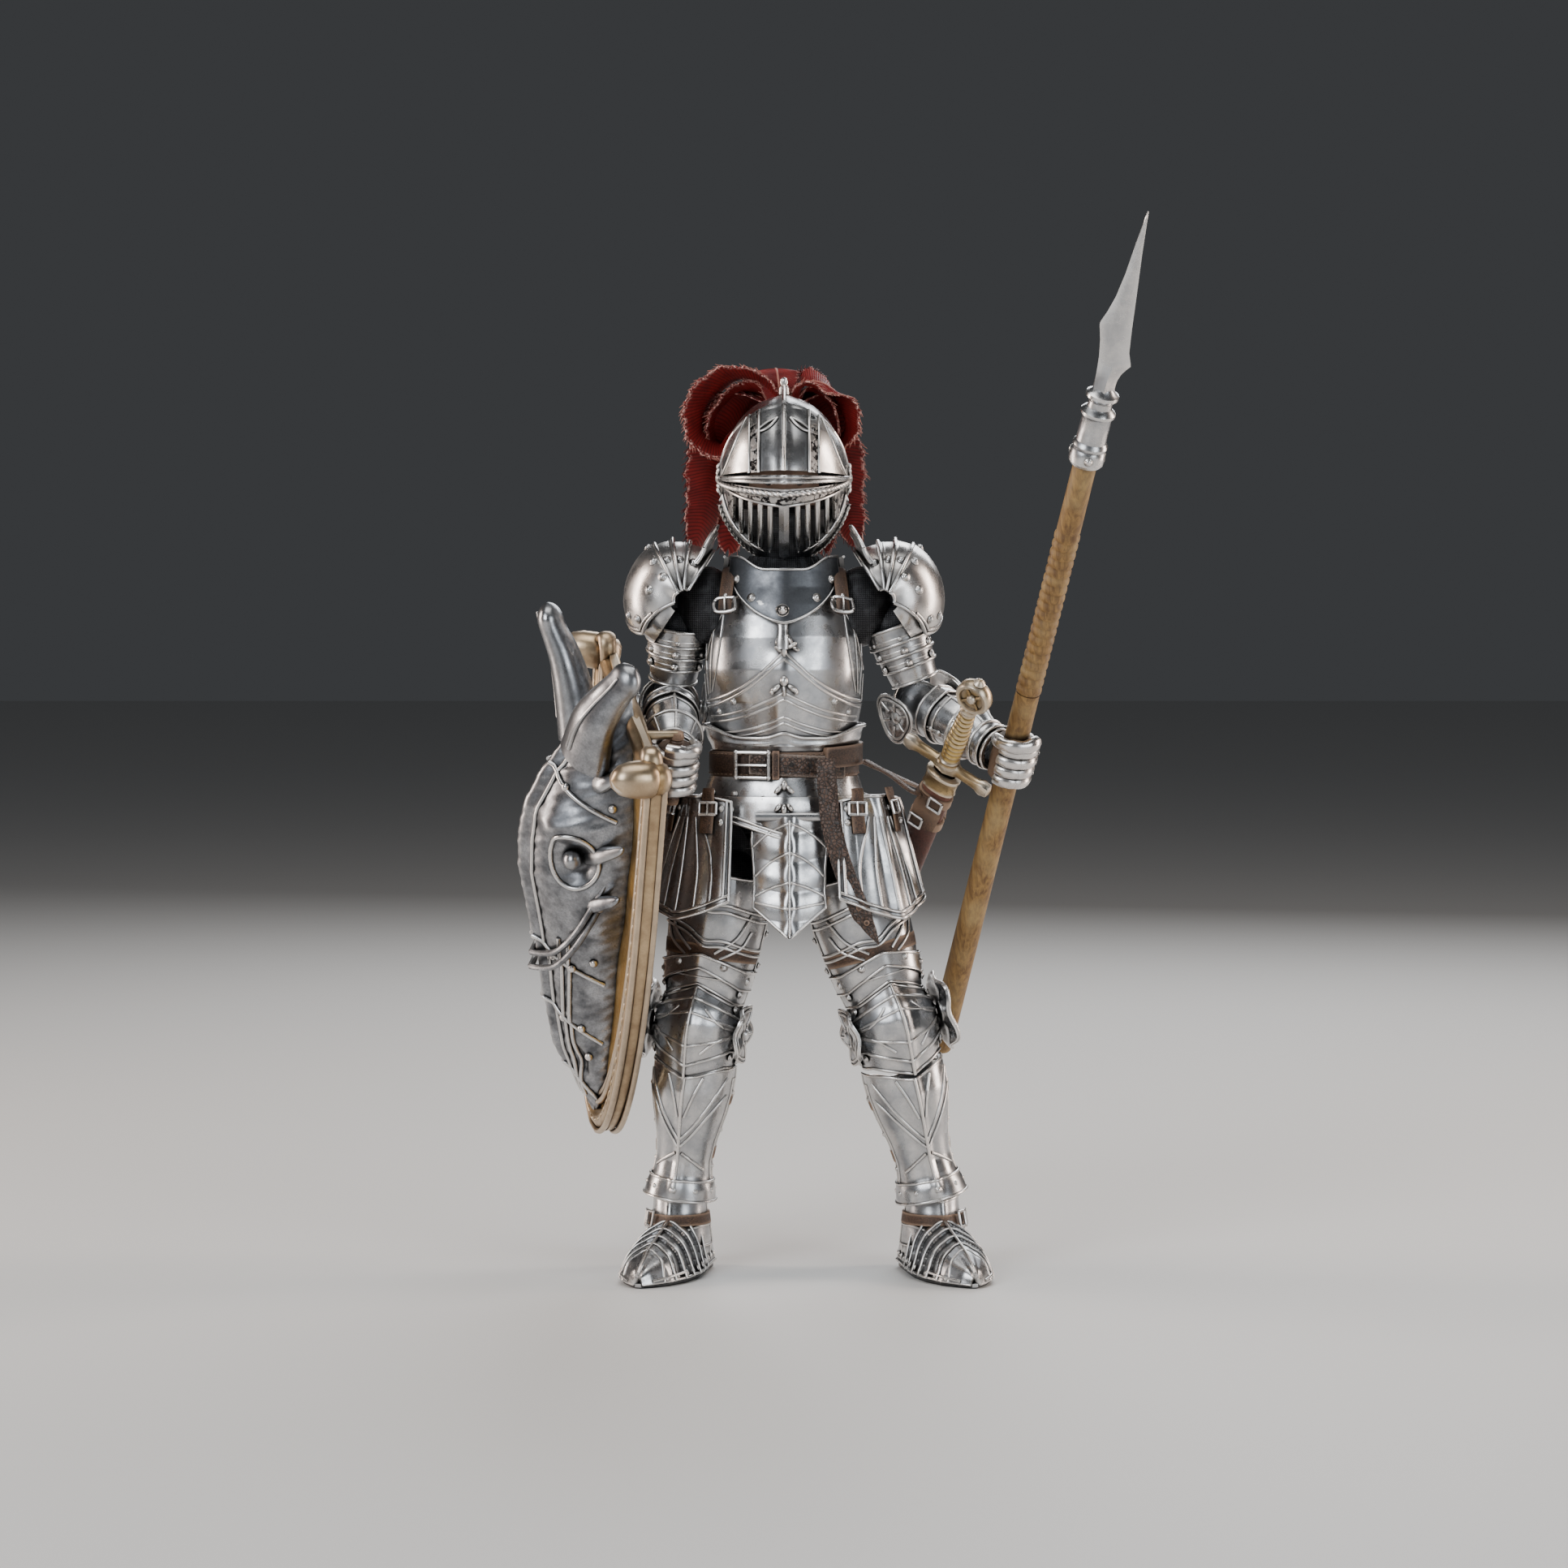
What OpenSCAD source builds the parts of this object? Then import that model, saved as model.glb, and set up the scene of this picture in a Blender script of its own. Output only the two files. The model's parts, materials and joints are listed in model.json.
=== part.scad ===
// Posable knight action figure in plate armour with helm, plume, sword, shield and spear.
// Millimetres, +Z up, soles on Z = 0, the face towards -Y, the figure's left hand on the +X side.

/* [Stance] */
// Height of the hip joints above the soles
hip_z = 80; // [78:0.5:84]
// Distance of each hip joint from the middle
hip_x = 10; // [9.5:0.5:12]
// Right knee centre
right_knee = [-15.6, -1, 45.7]; // [-30:0.1:60]
// Left knee centre
left_knee = [20.1, -1, 46.1]; // [-30:0.1:60]
// Right ankle pitch axis
right_ankle = [-19.4, 1, 13.5]; // [-30:0.1:60]
// Left ankle pitch axis
left_ankle = [27.6, 1, 13.5]; // [-30:0.1:60]
// Angle by which each foot turns out
foot_turn = 17.5; // [0:0.5:30]
// Height of the shoulder joints
shoulder_z = 125; // [124:0.5:127]
// Distance of each shoulder joint from the middle
shoulder_x = 18.6; // [18:0.1:20]
// Right elbow centre
right_elbow = [-21.2, 5.5, 105.5]; // [-60:0.1:120]
// Left elbow centre
left_elbow = [25.8, 1, 105.5]; // [-60:0.1:120]
// Middle of the right fist
right_fist = [-19.8, -18.5, 94.5]; // [-60:0.1:120]

/* [Limbs] */
// Radius of the thigh at its widest
thigh_r = 8.9; // [7.5:0.1:9.2]
// Radius of the greave at the calf
calf_r = 7.6; // [6.5:0.1:8]
// Radius of the upper arm
arm_r = 5; // [4.2:0.1:5.4]
// Radius of the forearm guard
forearm_r = 4.3; // [3.8:0.1:4.6]
// Length of a foot from heel to toe
foot_length = 32; // [26:0.5:36]
// Width of a foot across the ball
foot_w = 12.4; // [10:0.2:14]

// Angle by which each knee turns out
knee_turn = 12; // [0:1:25]

/* [Joints] */
// Radius of the hip and shoulder discs
disc_r = 3.2; // [2.8:0.1:3.3]
// Thickness of the hip and shoulder discs
disc_t = 2.8; // [2.4:0.1:3]
// Radius of the hinge discs at knee, elbow and ankle
small_disc_r = 2.4; // [2.1:0.1:2.5]
// Thickness of the hinge discs at knee, elbow and ankle
small_disc_t = 2.4; // [2:0.1:2.6]
// Radius of the hip and shoulder pegs
peg_r = 1.35; // [1:0.05:1.35]
// Radius of the hinge pins
pin_r = 0.9; // [0.7:0.05:1]
// Gap all round between a pin or peg and its hole
fit_gap = 0.05; // [0.02:0.01:0.1]
// Gap on each side of a disc in its fork
side_gap = 0.15; // [0.1:0.05:0.3]

/* [Torso] */
// Half width of the breastplate at the chest
chest_rx = 14.4; // [13:0.1:14.8]
// Half depth of the breastplate at the chest
chest_ry = 11; // [9.5:0.1:12]
// Half width of the armour at the waist
waist_rx = 12.9; // [12:0.1:13.5]
// Half depth of the armour at the waist
waist_ry = 9.4; // [8.5:0.1:10]
// Wall of the breastplate and backplate
plate_wall = 1; // [0.8:0.1:1.4]
// Height of the lower edge of the breastplate
waist_z = 97.8; // [97:0.1:99]
// Height of the top of the breastplate
chest_top_z = 126; // [124:0.5:128]
// Radius of the waist post
waist_post_r = 3; // [2.5:0.1:3.6]

/* [Helmet] */
// Height of the visor axis
visor_z = 147; // [146:0.5:149]
// Greatest radius of the visor about its axis
visor_r = 15.4; // [14.8:0.1:16]
// Half width of the helmet
helmet_hx = 12; // [11.4:0.1:12.6]
// Wall of each helmet shell
shell_t = 0.8; // [0.6:0.05:0.9]
// Gap between helmet shells that slide past each other
shell_gap = 0.25; // [0.2:0.05:0.4]
// Radius of the visor pivot pin
visor_pin_r = 1.5; // [1.2:0.1:1.8]

/* [Hip armour] */
// Width of the belt
belt_w = 4.8; // [4:0.1:5]
// Thickness of the belt
belt_t = 1; // [0.8:0.1:1.2]
// Height of the lower edge of the belt
belt_z = 92.2; // [91.5:0.1:92.6]
// Thickness of the tassets and the groin plate
tasset_t = 1; // [0.8:0.1:1.2]

/* [Spear] */
// Radius of the spear shaft
shaft_r = 2.1; // [1.8:0.05:2.3]
// Spear length from butt to tip
spear_length = 173.5; // [150:1:185]
// Point on the spear axis at the middle of the left fist
spear_grip = [41.3, -15, 96]; // [-60:0.1:120]
// Direction of the spear, butt to tip
spear_dir = [0.191, -0.4443, 0.8753]; // [-1:0.0001:1]
// Distance from the butt to the middle of the fist
butt_to_fist = 64; // [55:1:64]
// Length of the blade and its ferrule
spearhead_length = 48; // [40:0.5:52]

/* [Sword] */
// Middle of the scabbard's mouth
scabbard_mouth = [29.2, -15, 93.7]; // [-60:0.1:120]
// Direction of the sword, point to pommel
sword_dir = [0.222, -0.72, 0.66]; // [-1:0.001:1]
// Length of the sword blade
blade_length = 56; // [45:1:58]
// Width of the sword blade
blade_w = 3.6; // [3:0.1:4]
// Thickness of the sword blade
blade_t = 0.9; // [0.7:0.1:1.1]
// Span of the sword guard
guard_span = 17.6; // [15:0.2:20]

/* [Shield] */
// Width of the shield
shield_w = 58; // [52:0.5:60]
// Height of the shield
shield_h = 88; // [80:0.5:92]
// Thickness of the shield board
board_t = 2.2; // [1.8:0.1:2.4]
// Middle of the shield's top edge on its front face
shield_top = [-28.6, -15, 106.3]; // [-60:0.1:120]
// Turn of the shield towards the figure's right side
shield_turn = -78; // [-84:1:-72]
// Lean of the shield within its own plane
shield_lean = 23; // [15:1:26]
// Height by which the beast relief stands out
relief_h = 17; // [12:0.5:18]

/* [Mounts] */
// Radius of the peg hole in each sole
sole_hole_r = 1.5; // [1.2:0.1:1.8]
// Depth of the peg hole in each sole
sole_hole_depth = 4; // [3:0.5:4.5]

/* [Hidden] */
$fn = 48;
HULL_FN = 20;                  // facets of the shapes inside a hull
STEEL = "lightsteelblue";
DARK_STEEL = "slategray";
LEATHER = "saddlebrown";
BRONZE = "darkgoldenrod";
JOINT = "dimgray";
SIDES = [-1, 1];               // the figure's right is -1, its left is +1
slot = disc_t / 2 + side_gap;  // half width of the hip and shoulder forks
small_slot = small_disc_t / 2 + side_gap;
cheek_t = 1.5;                 // thickness of the cheeks of a small fork
couter_r = 5.4;
poleyn_r = 7.9;
knee_pin_z = 3;                // distance of each knee pin from the knee centre
limb_stop = 4.6;               // limb bodies stop this far from a hinge pin
wrist_back = 6.6;              // the wrist lies this far behind the middle of the fist
fist_r = 4;
fist_h = 9;
grip_r = 1.3;
neck_z = 135.5;                // height of the nodding axis
neck_r = 2.5;
belt_rx = 12.6;                // inside of the belt
belt_ry = 9.4;
tasset_x = 8;                  // middle of the cone that a tasset is cut from
tasset_z = 89.6;
tasset_top_r = 12.4;
tasset_low_r = 17;
tasset_drop = 21.6;
tasset_span = 58;              // degrees round the thigh
tasset_turn = 40;              // degrees outwards from the front
tail_tilt = 9;                 // degrees by which the belt tail stands off the tasset
ankle_drop = 4.6;              // the ankle's tilt axis lies this far below its pitch axis

function unit(v) = v / norm(v);
function hip(s) = [s * hip_x, 0, hip_z];
function shoulder(s) = [s * shoulder_x, 0, shoulder_z];
function knee(s) = s < 0 ? right_knee : left_knee;
function ankle(s) = s < 0 ? right_ankle : left_ankle;
function elbow(s) = s < 0 ? right_elbow : left_elbow;
function fist(s) = s < 0 ? right_fist : spear_grip;
function wrist(s) = fist(s) - wrist_back * unit(fist(s) - elbow(s));
function elbow_axis(s) = unit(cross(elbow(s) - shoulder(s), fist(s) - elbow(s))) * -1;
function level_x(turn) = [cos(turn), sin(turn), 0];
function oval(rx, ry, n = 32) = [for (i = [0:n - 1]) [rx * cos(360 * i / n), ry * sin(360 * i / n)]];
// Half section of a dome of revolution
function dome(r, hx, n = 12) = [for (i = [0:n]) let (a = -90 + 180 * i / n) [r * cos(a), hx * sin(a)]];

// Places children at p with their Z along up and their X as near x as that allows
module basis(p, x, up) {
    w = unit(up);
    v = unit(cross(w, x));
    u = cross(v, w);
    multmatrix([[u.x, v.x, w.x, p.x], [u.y, v.y, w.y, p.y], [u.z, v.z, w.z, p.z], [0, 0, 0, 1]]) children();
}
module along_x(r, w) rotate([0, 90, 0]) cylinder(r = r, h = w, center = true);
module along_y(r, w) rotate([90, 0, 0]) cylinder(r = r, h = w, center = true);
module block(x, y, z) translate([x[0], y[0], z[0]]) cube([x[1] - x[0], y[1] - y[0], z[1] - z[0]]);
module oval_disc(d) translate([0, 0, d.z - 0.01]) linear_extrude(0.02) polygon(oval(d.x, d.y));
module taper(a, b) hull() { oval_disc(a); oval_disc(b); }
module turned(points) rotate_extrude() polygon(points);
module in_shield() translate(shield_top) rotate([0, shield_lean, shield_turn]) children();
module in_spear() basis(spear_grip, [1, 0, 0], spear_dir) children();
module in_sword() basis(scabbard_mouth, [1, 0, -1], sword_dir) children();
module in_knee(s) basis(knee(s), level_x(s * knee_turn), hip(s) - ankle(s)) children();
module in_foot(s) translate([ankle(s).x, ankle(s).y, 0]) rotate([0, 0, s * foot_turn]) children();

// A disc on the Y axis with a peg that points inwards along X
module disc_and_peg(s, peg_from) {
    difference() {
        union() {
            along_y(disc_r, disc_t);
            translate([s < 0 ? 0 : -peg_from, 0, 0]) rotate([0, 90, 0]) cylinder(r = peg_r, h = peg_from);
        }
        along_y(pin_r + fit_gap, disc_t + 1);
    }
}
// The ball-shaped fork that straddles that disc, with its pin
module ball_fork(r, neck) {
    difference() {
        union() {
            sphere(r = r);
            children();
        }
        block([-r - 1, r + 1], [-slot, slot], [-disc_r - 0.4, r + 1]);
    }
    along_y(pin_r, r * 1.5);
}
// A flat tongue with a bored round end, running up from the pin
module tongue(reach) difference() {
    union() {
        along_x(small_disc_r, small_disc_t);
        block([-small_disc_t / 2, small_disc_t / 2], [-small_disc_r, small_disc_r], [0, reach]);
    }
    along_x(pin_r + fit_gap, small_disc_t + 1);
}
// Two cheeks with a pin between them, running down from the pin
module small_fork(reach) {
    for (k = SIDES) translate([k * (small_slot + cheek_t / 2), 0, 0]) {
        along_x(small_disc_r, cheek_t);
        block([-cheek_t / 2, cheek_t / 2], [-small_disc_r, small_disc_r], [-reach, 0]);
    }
    along_x(pin_r, 2 * small_slot + 1);
}

// Hips and belt

module pelvis_block() color(JOINT) difference() {
    union() {
        translate([0, 0, hip_z + 6.6])
            linear_extrude(belt_z + belt_w - hip_z - 6.6) polygon(oval(belt_rx, belt_ry));
        translate([0, 0, hip_z - 2.6]) linear_extrude(10) polygon(oval(3.6, 5));
        cylinder_up(waist_post_r, belt_z, waist_z + 5);
    }
    for (s = SIDES) translate([s * 2.2, 0, hip_z]) along_x(peg_r + fit_gap, 3.2);
}
module cylinder_up(r, from, to) translate([0, 0, from]) cylinder(r = r, h = to - from);
module belt() color(LEATHER) translate([0, 0, belt_z]) difference() {
    linear_extrude(belt_w) polygon(oval(belt_rx + belt_t + 0.6, belt_ry + belt_t + 0.6));
    translate([0, 0, -1]) linear_extrude(belt_w + 2) polygon(oval(belt_rx, belt_ry));
}
module on_belt(a) rotate([0, 0, a]) translate([0, -belt_ry - belt_t - 0.5, belt_z + belt_w / 2]) children();
module belt_buckle() color(STEEL) translate([-6.7, 0.8, 0]) on_belt(-18) difference() {
    block([-2.7, 2.7], [-1.6, -0.6], [-3, 3]);
    block([-1.7, 1.7], [-3, 1], [-2, 2]);
}
module in_belt_tail() translate([6.8, -belt_ry - 4.4, belt_z + 1.4]) rotate([0, -18, 0]) children();
module belt_tail() color(LEATHER) in_belt_tail() {
    rotate([90, 0, 90]) translate([0, 0, -2]) linear_extrude(4) {
        circle(r = 0.8);
        rotate(-tail_tilt) translate([-0.5, -34]) square([1, 34]);
    }
}
module fauld_form(grow) {
    taper([belt_rx + grow, belt_ry + grow, belt_z + 0.01],
          [belt_rx + 1.6 + grow, belt_ry + 1.6 + grow, 88]);
    taper([belt_rx + 1.6 + grow, belt_ry + 1.6 + grow, 88], [belt_rx + 2.2 + grow, belt_ry + 2 + grow, 84]);
}
module fauld() color(STEEL) {
    difference() {
        fauld_form(0.8);
        fauld_form(0);
        cylinder_up(30, 60, 84.2);
        cylinder_up(30, belt_z - 0.1, 120);
    }
    difference() {
        translate([0, 0, hip_z + 8]) linear_extrude(1.4) polygon(oval(belt_rx + 1.9, belt_ry + 1.9));
        cylinder_up(60, hip_z, hip_z + 8);
        translate([0, 0, hip_z]) linear_extrude(20) polygon(oval(belt_rx, belt_ry));
    }
}
module in_groin() translate([1, -belt_ry - 4.4, 85.6]) children();
module groin_plate() color(STEEL) in_groin() {
    rotate([8, 0, 0]) rotate([90, 0, 0]) translate([0, 0, -tasset_t / 2]) linear_extrude(tasset_t)
        polygon([[-3.2, 0], [3.2, 0], [4, -8], [6.2, -16.5], [0, -22], [-6.2, -16.5], [-4, -8]]);
    along_x(0.8, 6.4);
}
// Places children at a tasset's hinge, with X outwards and Y along the hinge
module in_tasset(s) translate([s * tasset_x, 0, tasset_z]) rotate([0, 0, -90 + s * tasset_turn]) children();
// One tasset: part of a cone about the thigh, with a pointed lower edge and a hinge barrel
module tasset(s) color(STEEL) in_tasset(s) {
    difference() {
        rotate([0, 0, -tasset_span / 2]) rotate_extrude(angle = tasset_span)
            polygon([[tasset_top_r, 0], [tasset_top_r + tasset_t, 0],
                     [tasset_low_r + tasset_t, -tasset_drop], [tasset_low_r, -tasset_drop]]);
        for (k = SIDES) translate([tasset_low_r, 0, -tasset_drop - 1]) rotate([k * 20, 0, 0])
            block([-8, 8], k < 0 ? [-20, 0] : [0, 20], [-12, 0]);
    }
    translate([tasset_top_r + tasset_t, 0, 0]) along_y(0.8, 5);
}
module right_tasset() tasset(-1);
module left_tasset() tasset(1);

// Torso

module torso_form(shrink) {
    taper([waist_rx - shrink, waist_ry - shrink, waist_z], [chest_rx - shrink, chest_ry - shrink, 116]);
    taper([chest_rx - shrink, chest_ry - shrink, 116], [10 - shrink, 8 - shrink, chest_top_z]);
}
module shoulder_bosses(gap) for (s = SIDES)
    translate([s * 10, 0, shoulder_z]) along_x(3 + gap, 5.4 + 4 * gap);
module torso_core() color(DARK_STEEL) difference() {
    union() {
        torso_form(plate_wall);
        cylinder_up(6, chest_top_z - 1, 130.6);
        shoulder_bosses(0);
    }
    cylinder_up(waist_post_r + fit_gap, waist_z - 1, waist_z + 5.4);
    cylinder_up(neck_r + fit_gap, chest_top_z - 3, chest_top_z + 9);
    for (s = SIDES) translate([s * 9.8, 0, shoulder_z]) along_x(peg_r + fit_gap, 8);
}
module body_shell(y) color(STEEL) difference() {
    torso_form(0);
    torso_form(plate_wall);
    block([-30, 30], y, [90, 140]);
    shoulder_bosses(0.001);
    cylinder_up(6, chest_top_z - 3, 140);
    cylinder_up(40, chest_top_z - 0.4, 140);
}
module breastplate() body_shell([0, 30]);
module backplate() body_shell([-30, 0]);
module gorget() color(DARK_STEEL) difference() {
    union() {
        taper([12, 9.4, 123.4], [9, 8, 127.6]);
        taper([9, 8, 127.6], [7.4, 7.4, 130.6]);
    }
    torso_form(0);
    cylinder_up(6, 100, 140);
    cylinder_up(40, 100, 123.6);
    translate([0, 0, shoulder_z]) along_x(3.2, 60);
}
module chest_boss() color(STEEL) difference() {
    translate([0, -chest_ry, 119]) rotate([14, 0, 0]) block([-1.7, 1.7], [-1.4, 4], [-4, 3.4]);
    torso_form(0);
}
module neck_post() color(JOINT) difference() {
    union() {
        cylinder_up(neck_r, chest_top_z - 2.6, neck_z);
        translate([0, 0, neck_z]) along_x(small_disc_r + 0.6, small_disc_t);
    }
    translate([0, 0, neck_z]) along_x(pin_r + fit_gap, 10);
    for (k = SIDES) translate([k * (small_disc_t / 2 + 5), 0, neck_z]) cube([10, 20, 8], center = true);
}

// Head and helmet. Elevations about the visor axis: 0 is forwards, 90 is up

skull_r = visor_r - 2 * shell_t - 2 * shell_gap;
skull_hx = helmet_hx - 2 * shell_t - 2 * shell_gap;
module shell(layer, from, to) translate([0, 0, visor_z]) rotate([0, 90, 0]) rotate([0, 0, -90 - to])
    rotate_extrude(angle = to - from) difference() {
        polygon(dome(visor_r - layer * (shell_t + shell_gap), helmet_hx - layer * (shell_t + shell_gap)));
        polygon(dome(visor_r - layer * (shell_t + shell_gap) - shell_t,
                     helmet_hx - layer * (shell_t + shell_gap) - shell_t));
        translate([-1, -40]) square([1 + visor_pin_r + (layer < 2 ? fit_gap : 0), 80]);
    }
module head() color("burlywood") {
    difference() {
        hull() {
            translate([0, 0.6, visor_z + 1.5]) sphere(r = 8.2, $fn = HULL_FN);
            translate([0, -2, visor_z - 3]) sphere(r = 6.6, $fn = HULL_FN);
            translate([0, -3.6, neck_z + 3.6]) sphere(r = 3.8, $fn = HULL_FN);
            translate([0, 0, neck_z + 1]) cylinder(r = 4.6, h = 2, $fn = HULL_FN);
        }
        block([-small_slot, small_slot], [-12, 12], [neck_z - 9, neck_z + small_disc_r + 1.2]);
    }
    translate([0, 0, neck_z]) {
        for (k = SIDES) translate([k * (small_slot + cheek_t / 2), 0, 0]) {
            along_x(small_disc_r, cheek_t);
            block([-cheek_t / 2, cheek_t / 2], [-small_disc_r, small_disc_r], [0, 2]);
        }
        along_x(pin_r, 2 * small_slot + 1);
    }
}
module helmet_skull() color(STEEL) difference() {
    union() {
        shell(2, 60, 232);
        for (s = SIDES) translate([s * (skull_hx - 0.5 - shell_t), 0, visor_z]) along_x(3.4, 1);
        difference() {
            cylinder_up(2.6, visor_z + 8, visor_z + skull_r - shell_t / 2);
            translate([0, 0.6, visor_z + 1.5]) sphere(r = 8.25);
        }
    }
    for (s = SIDES) translate([s * skull_hx, 0, visor_z]) along_x(visor_pin_r, 6);
    translate([0, skull_r, visor_z + 1]) along_y(1.2, 6);
}
module visor_pins() color(STEEL) for (s = SIDES) translate([0, 0, visor_z]) rotate([0, s * 90, 0]) {
    cylinder_up(visor_pin_r, skull_hx - 1.8, helmet_hx + 0.4);
    cylinder_up(2.6, helmet_hx + 0.25, helmet_hx + 1);
}
module visor() color(STEEL) shell(0, -12, 56);
module face_grille() color(STEEL) shell(1, -70, -6);
module plume() color("firebrick") difference() {
    union() {
        hull() {
            translate([-12.6, 12, 157.4]) sphere(r = 4.4, $fn = HULL_FN);
            translate([0, 11.4, 162.6]) sphere(r = 4.4, $fn = HULL_FN);
            translate([9.4, 12, 158.6]) sphere(r = 4.4, $fn = HULL_FN);
            translate([0, 17, 150]) sphere(r = 4, $fn = HULL_FN);
        }
        hull() {
            for (x = [-9, 9]) translate([x, 15, 154]) sphere(r = 4, $fn = HULL_FN);
            translate([-14.6, 15.6, 143]) sphere(r = 4.2, $fn = HULL_FN);
            translate([11.6, 15.6, 141]) sphere(r = 4.2, $fn = HULL_FN);
        }
        translate([0, skull_r + 1, visor_z + 1]) along_y(1.2, 4);
    }
    difference() {
        translate([0, 0, visor_z]) along_x(skull_r, 60);
        translate([0, skull_r + 1, visor_z + 1]) along_y(1.2, 4);
    }
    block([-40, 40], [-40, 8.8], [100, 200]);
}

// Arms

module shoulder_joint(s) color(JOINT) translate(shoulder(s)) disc_and_peg(s, shoulder_x - 6.6);
module right_shoulder_joint() mirror([1, 0, 0]) shoulder_joint(1);
module left_shoulder_joint() shoulder_joint(1);
module pauldron(s) color(STEEL) translate(shoulder(s)) mirror([s < 0 ? 1 : 0, 0, 0]) difference() {
    sphere(r = 10.6);
    sphere(r = 9.7);
    block([-20, -5.4], [-20, 20], [-20, 20]);
    block([-20, 20], [-20, 20], [-20, -5.5]);
    block([-20, 20], [-20, -7.4], [-20, 20]);
    block([-20, 20], [7.4, 20], [-20, 20]);
    block([-20, 4], [-20, 20], [-20, 0]);
    for (k = SIDES) block([-20, 20], k < 0 ? [-20, -5.8] : [5.8, 20], [-20, 1]);
}
module right_pauldron() pauldron(-1);
module left_pauldron() pauldron(1);
module upper_arm(s) color(STEEL) {
    reach = norm(shoulder(s) - elbow(s));
    translate(shoulder(s)) ball_fork(4.9)
        translate(-shoulder(s)) basis(shoulder(s), elbow_axis(s), shoulder(s) - elbow(s))
            turned([[0, -3.6], [4.4, -3.6], [arm_r, -7], [arm_r, -11],
                    [4.2, limb_stop - reach], [0, limb_stop - reach]]);
    basis(elbow(s), elbow_axis(s), shoulder(s) - elbow(s)) tongue(limb_stop + 0.4);
}
module right_upper_arm() upper_arm(-1);
module left_upper_arm() upper_arm(1);
module forearm(s) color(STEEL) basis(elbow(s), elbow_axis(s), elbow(s) - fist(s)) {
    reach = norm(wrist(s) - elbow(s));
    difference() {
        turned([[0, -3], [3.4, -3], [forearm_r, -7], [forearm_r - 0.2, -11],
                [3.5, 1.2 - reach], [0, 1.2 - reach]]);
        block([-small_slot, small_slot], [-9, 9], [-small_disc_r - 0.5, 5]);
        translate([0, 0, -reach - 0.1]) cylinder(r = peg_r + fit_gap, h = 5.5);
    }
    small_fork(3.4);
}
module right_forearm() forearm(-1);
module left_forearm() forearm(1);
// The elbow cop: a cup behind the elbow that rides on the forearm
module couter(s) color(STEEL) basis(elbow(s), elbow_axis(s), elbow(s) - fist(s)) difference() {
    union() {
        difference() {
            sphere(r = couter_r);
            sphere(r = couter_r - 0.8);
        }
        for (k = SIDES) translate([k * (small_slot + cheek_t + couter_r) / 2, 0, 0])
            along_x(0.8, couter_r - small_slot - cheek_t - 0.3);
    }
    block([-20, 20], [-20, -0.8], [-20, 20]);
    block([-20, 20], [-20, 20], [-20, -2.9]);
    block([-20, 20], [-20, 20], [3.4, 20]);
}
module right_couter() couter(-1);
module left_couter() couter(1);
module fist_form(bore) difference() {
    hull() {
        for (k = SIDES) translate([k * 0.8, 1, 0])
                cylinder(r = fist_r, h = fist_h, center = true, $fn = HULL_FN);
        translate([0, -1.4, 0]) cylinder(r = fist_r - 0.6, h = fist_h - 1, center = true, $fn = HULL_FN);
    }
    cylinder(r = bore, h = 30, center = true);
}
module wrist_peg(s) basis(elbow(s), elbow_axis(s), elbow(s) - fist(s)) {
    reach = norm(wrist(s) - elbow(s));
    translate([0, 0, -reach - 2.6]) cylinder(r = peg_r, h = 7);
    translate([0, 0, -reach - 3]) cylinder(r = 2.6, h = 3.8);
}
module right_gauntlet() color(STEEL) difference() {
    union() {
        translate(right_fist) rotate([0, shield_lean, shield_turn]) fist_form(0.1);
        wrist_peg(-1);
    }
    translate(right_fist) rotate([0, shield_lean, shield_turn])
        cylinder(r = grip_r + fit_gap, h = 30, center = true);
}
module left_gauntlet() color(STEEL) difference() {
    union() {
        in_spear() rotate([0, 0, -35]) translate([0.9, 0, 0]) fist_form(0.1);
        wrist_peg(1);
    }
    in_spear() cylinder(r = shaft_r + fit_gap, h = 60, center = true);
}

// Legs

module hip_joint(s) color(JOINT) translate(hip(s)) disc_and_peg(s, hip_x - 1);
module right_hip_joint() mirror([1, 0, 0]) hip_joint(1);
module left_hip_joint() hip_joint(1);
module thigh(s) color(STEEL) {
    reach = norm(hip(s) - knee(s));
    translate(hip(s)) ball_fork(5.2) translate(-hip(s)) basis(hip(s), [1, 0, 0], hip(s) - knee(s))
        turned([[0, -3.8], [4.6, -3.8], [7.4, -6], [thigh_r, -10], [thigh_r, -15], [6.8, -22],
                [6, knee_pin_z + limb_stop + 1.4 - reach], [0, knee_pin_z + limb_stop + 1.4 - reach]]);
    in_knee(s) translate([0, 0, knee_pin_z]) mirror([0, 0, 1]) small_fork(limb_stop + 2);
}
module right_thigh() thigh(-1);
module left_thigh() thigh(1);
module knee_block(s) color(JOINT) in_knee(s) difference() {
    union() {
        for (k = SIDES) translate([0, 0, k * knee_pin_z]) along_x(small_disc_r, small_disc_t);
        intersection() {
            block([-small_disc_t / 2, small_disc_t / 2], [-9, small_disc_r], [-knee_pin_z, knee_pin_z]);
            sphere(r = poleyn_r - 0.8);
        }
    }
    for (k = SIDES) translate([0, 0, k * knee_pin_z]) along_x(pin_r + fit_gap, small_disc_t + 1);
}
module poleyn(s) color(STEEL) in_knee(s) difference() {
    sphere(r = poleyn_r);
    sphere(r = poleyn_r - 0.8);
    block([-20, 20], [-1, 20], [-20, 20]);
    block([-20, 20], [-20, 20], [-20, -6]);
    block([-20, 20], [-20, 20], [6, 20]);
}
module right_knee_block() knee_block(-1);
module left_knee_block() knee_block(1);
module right_poleyn() poleyn(-1);
module left_poleyn() poleyn(1);
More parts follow.
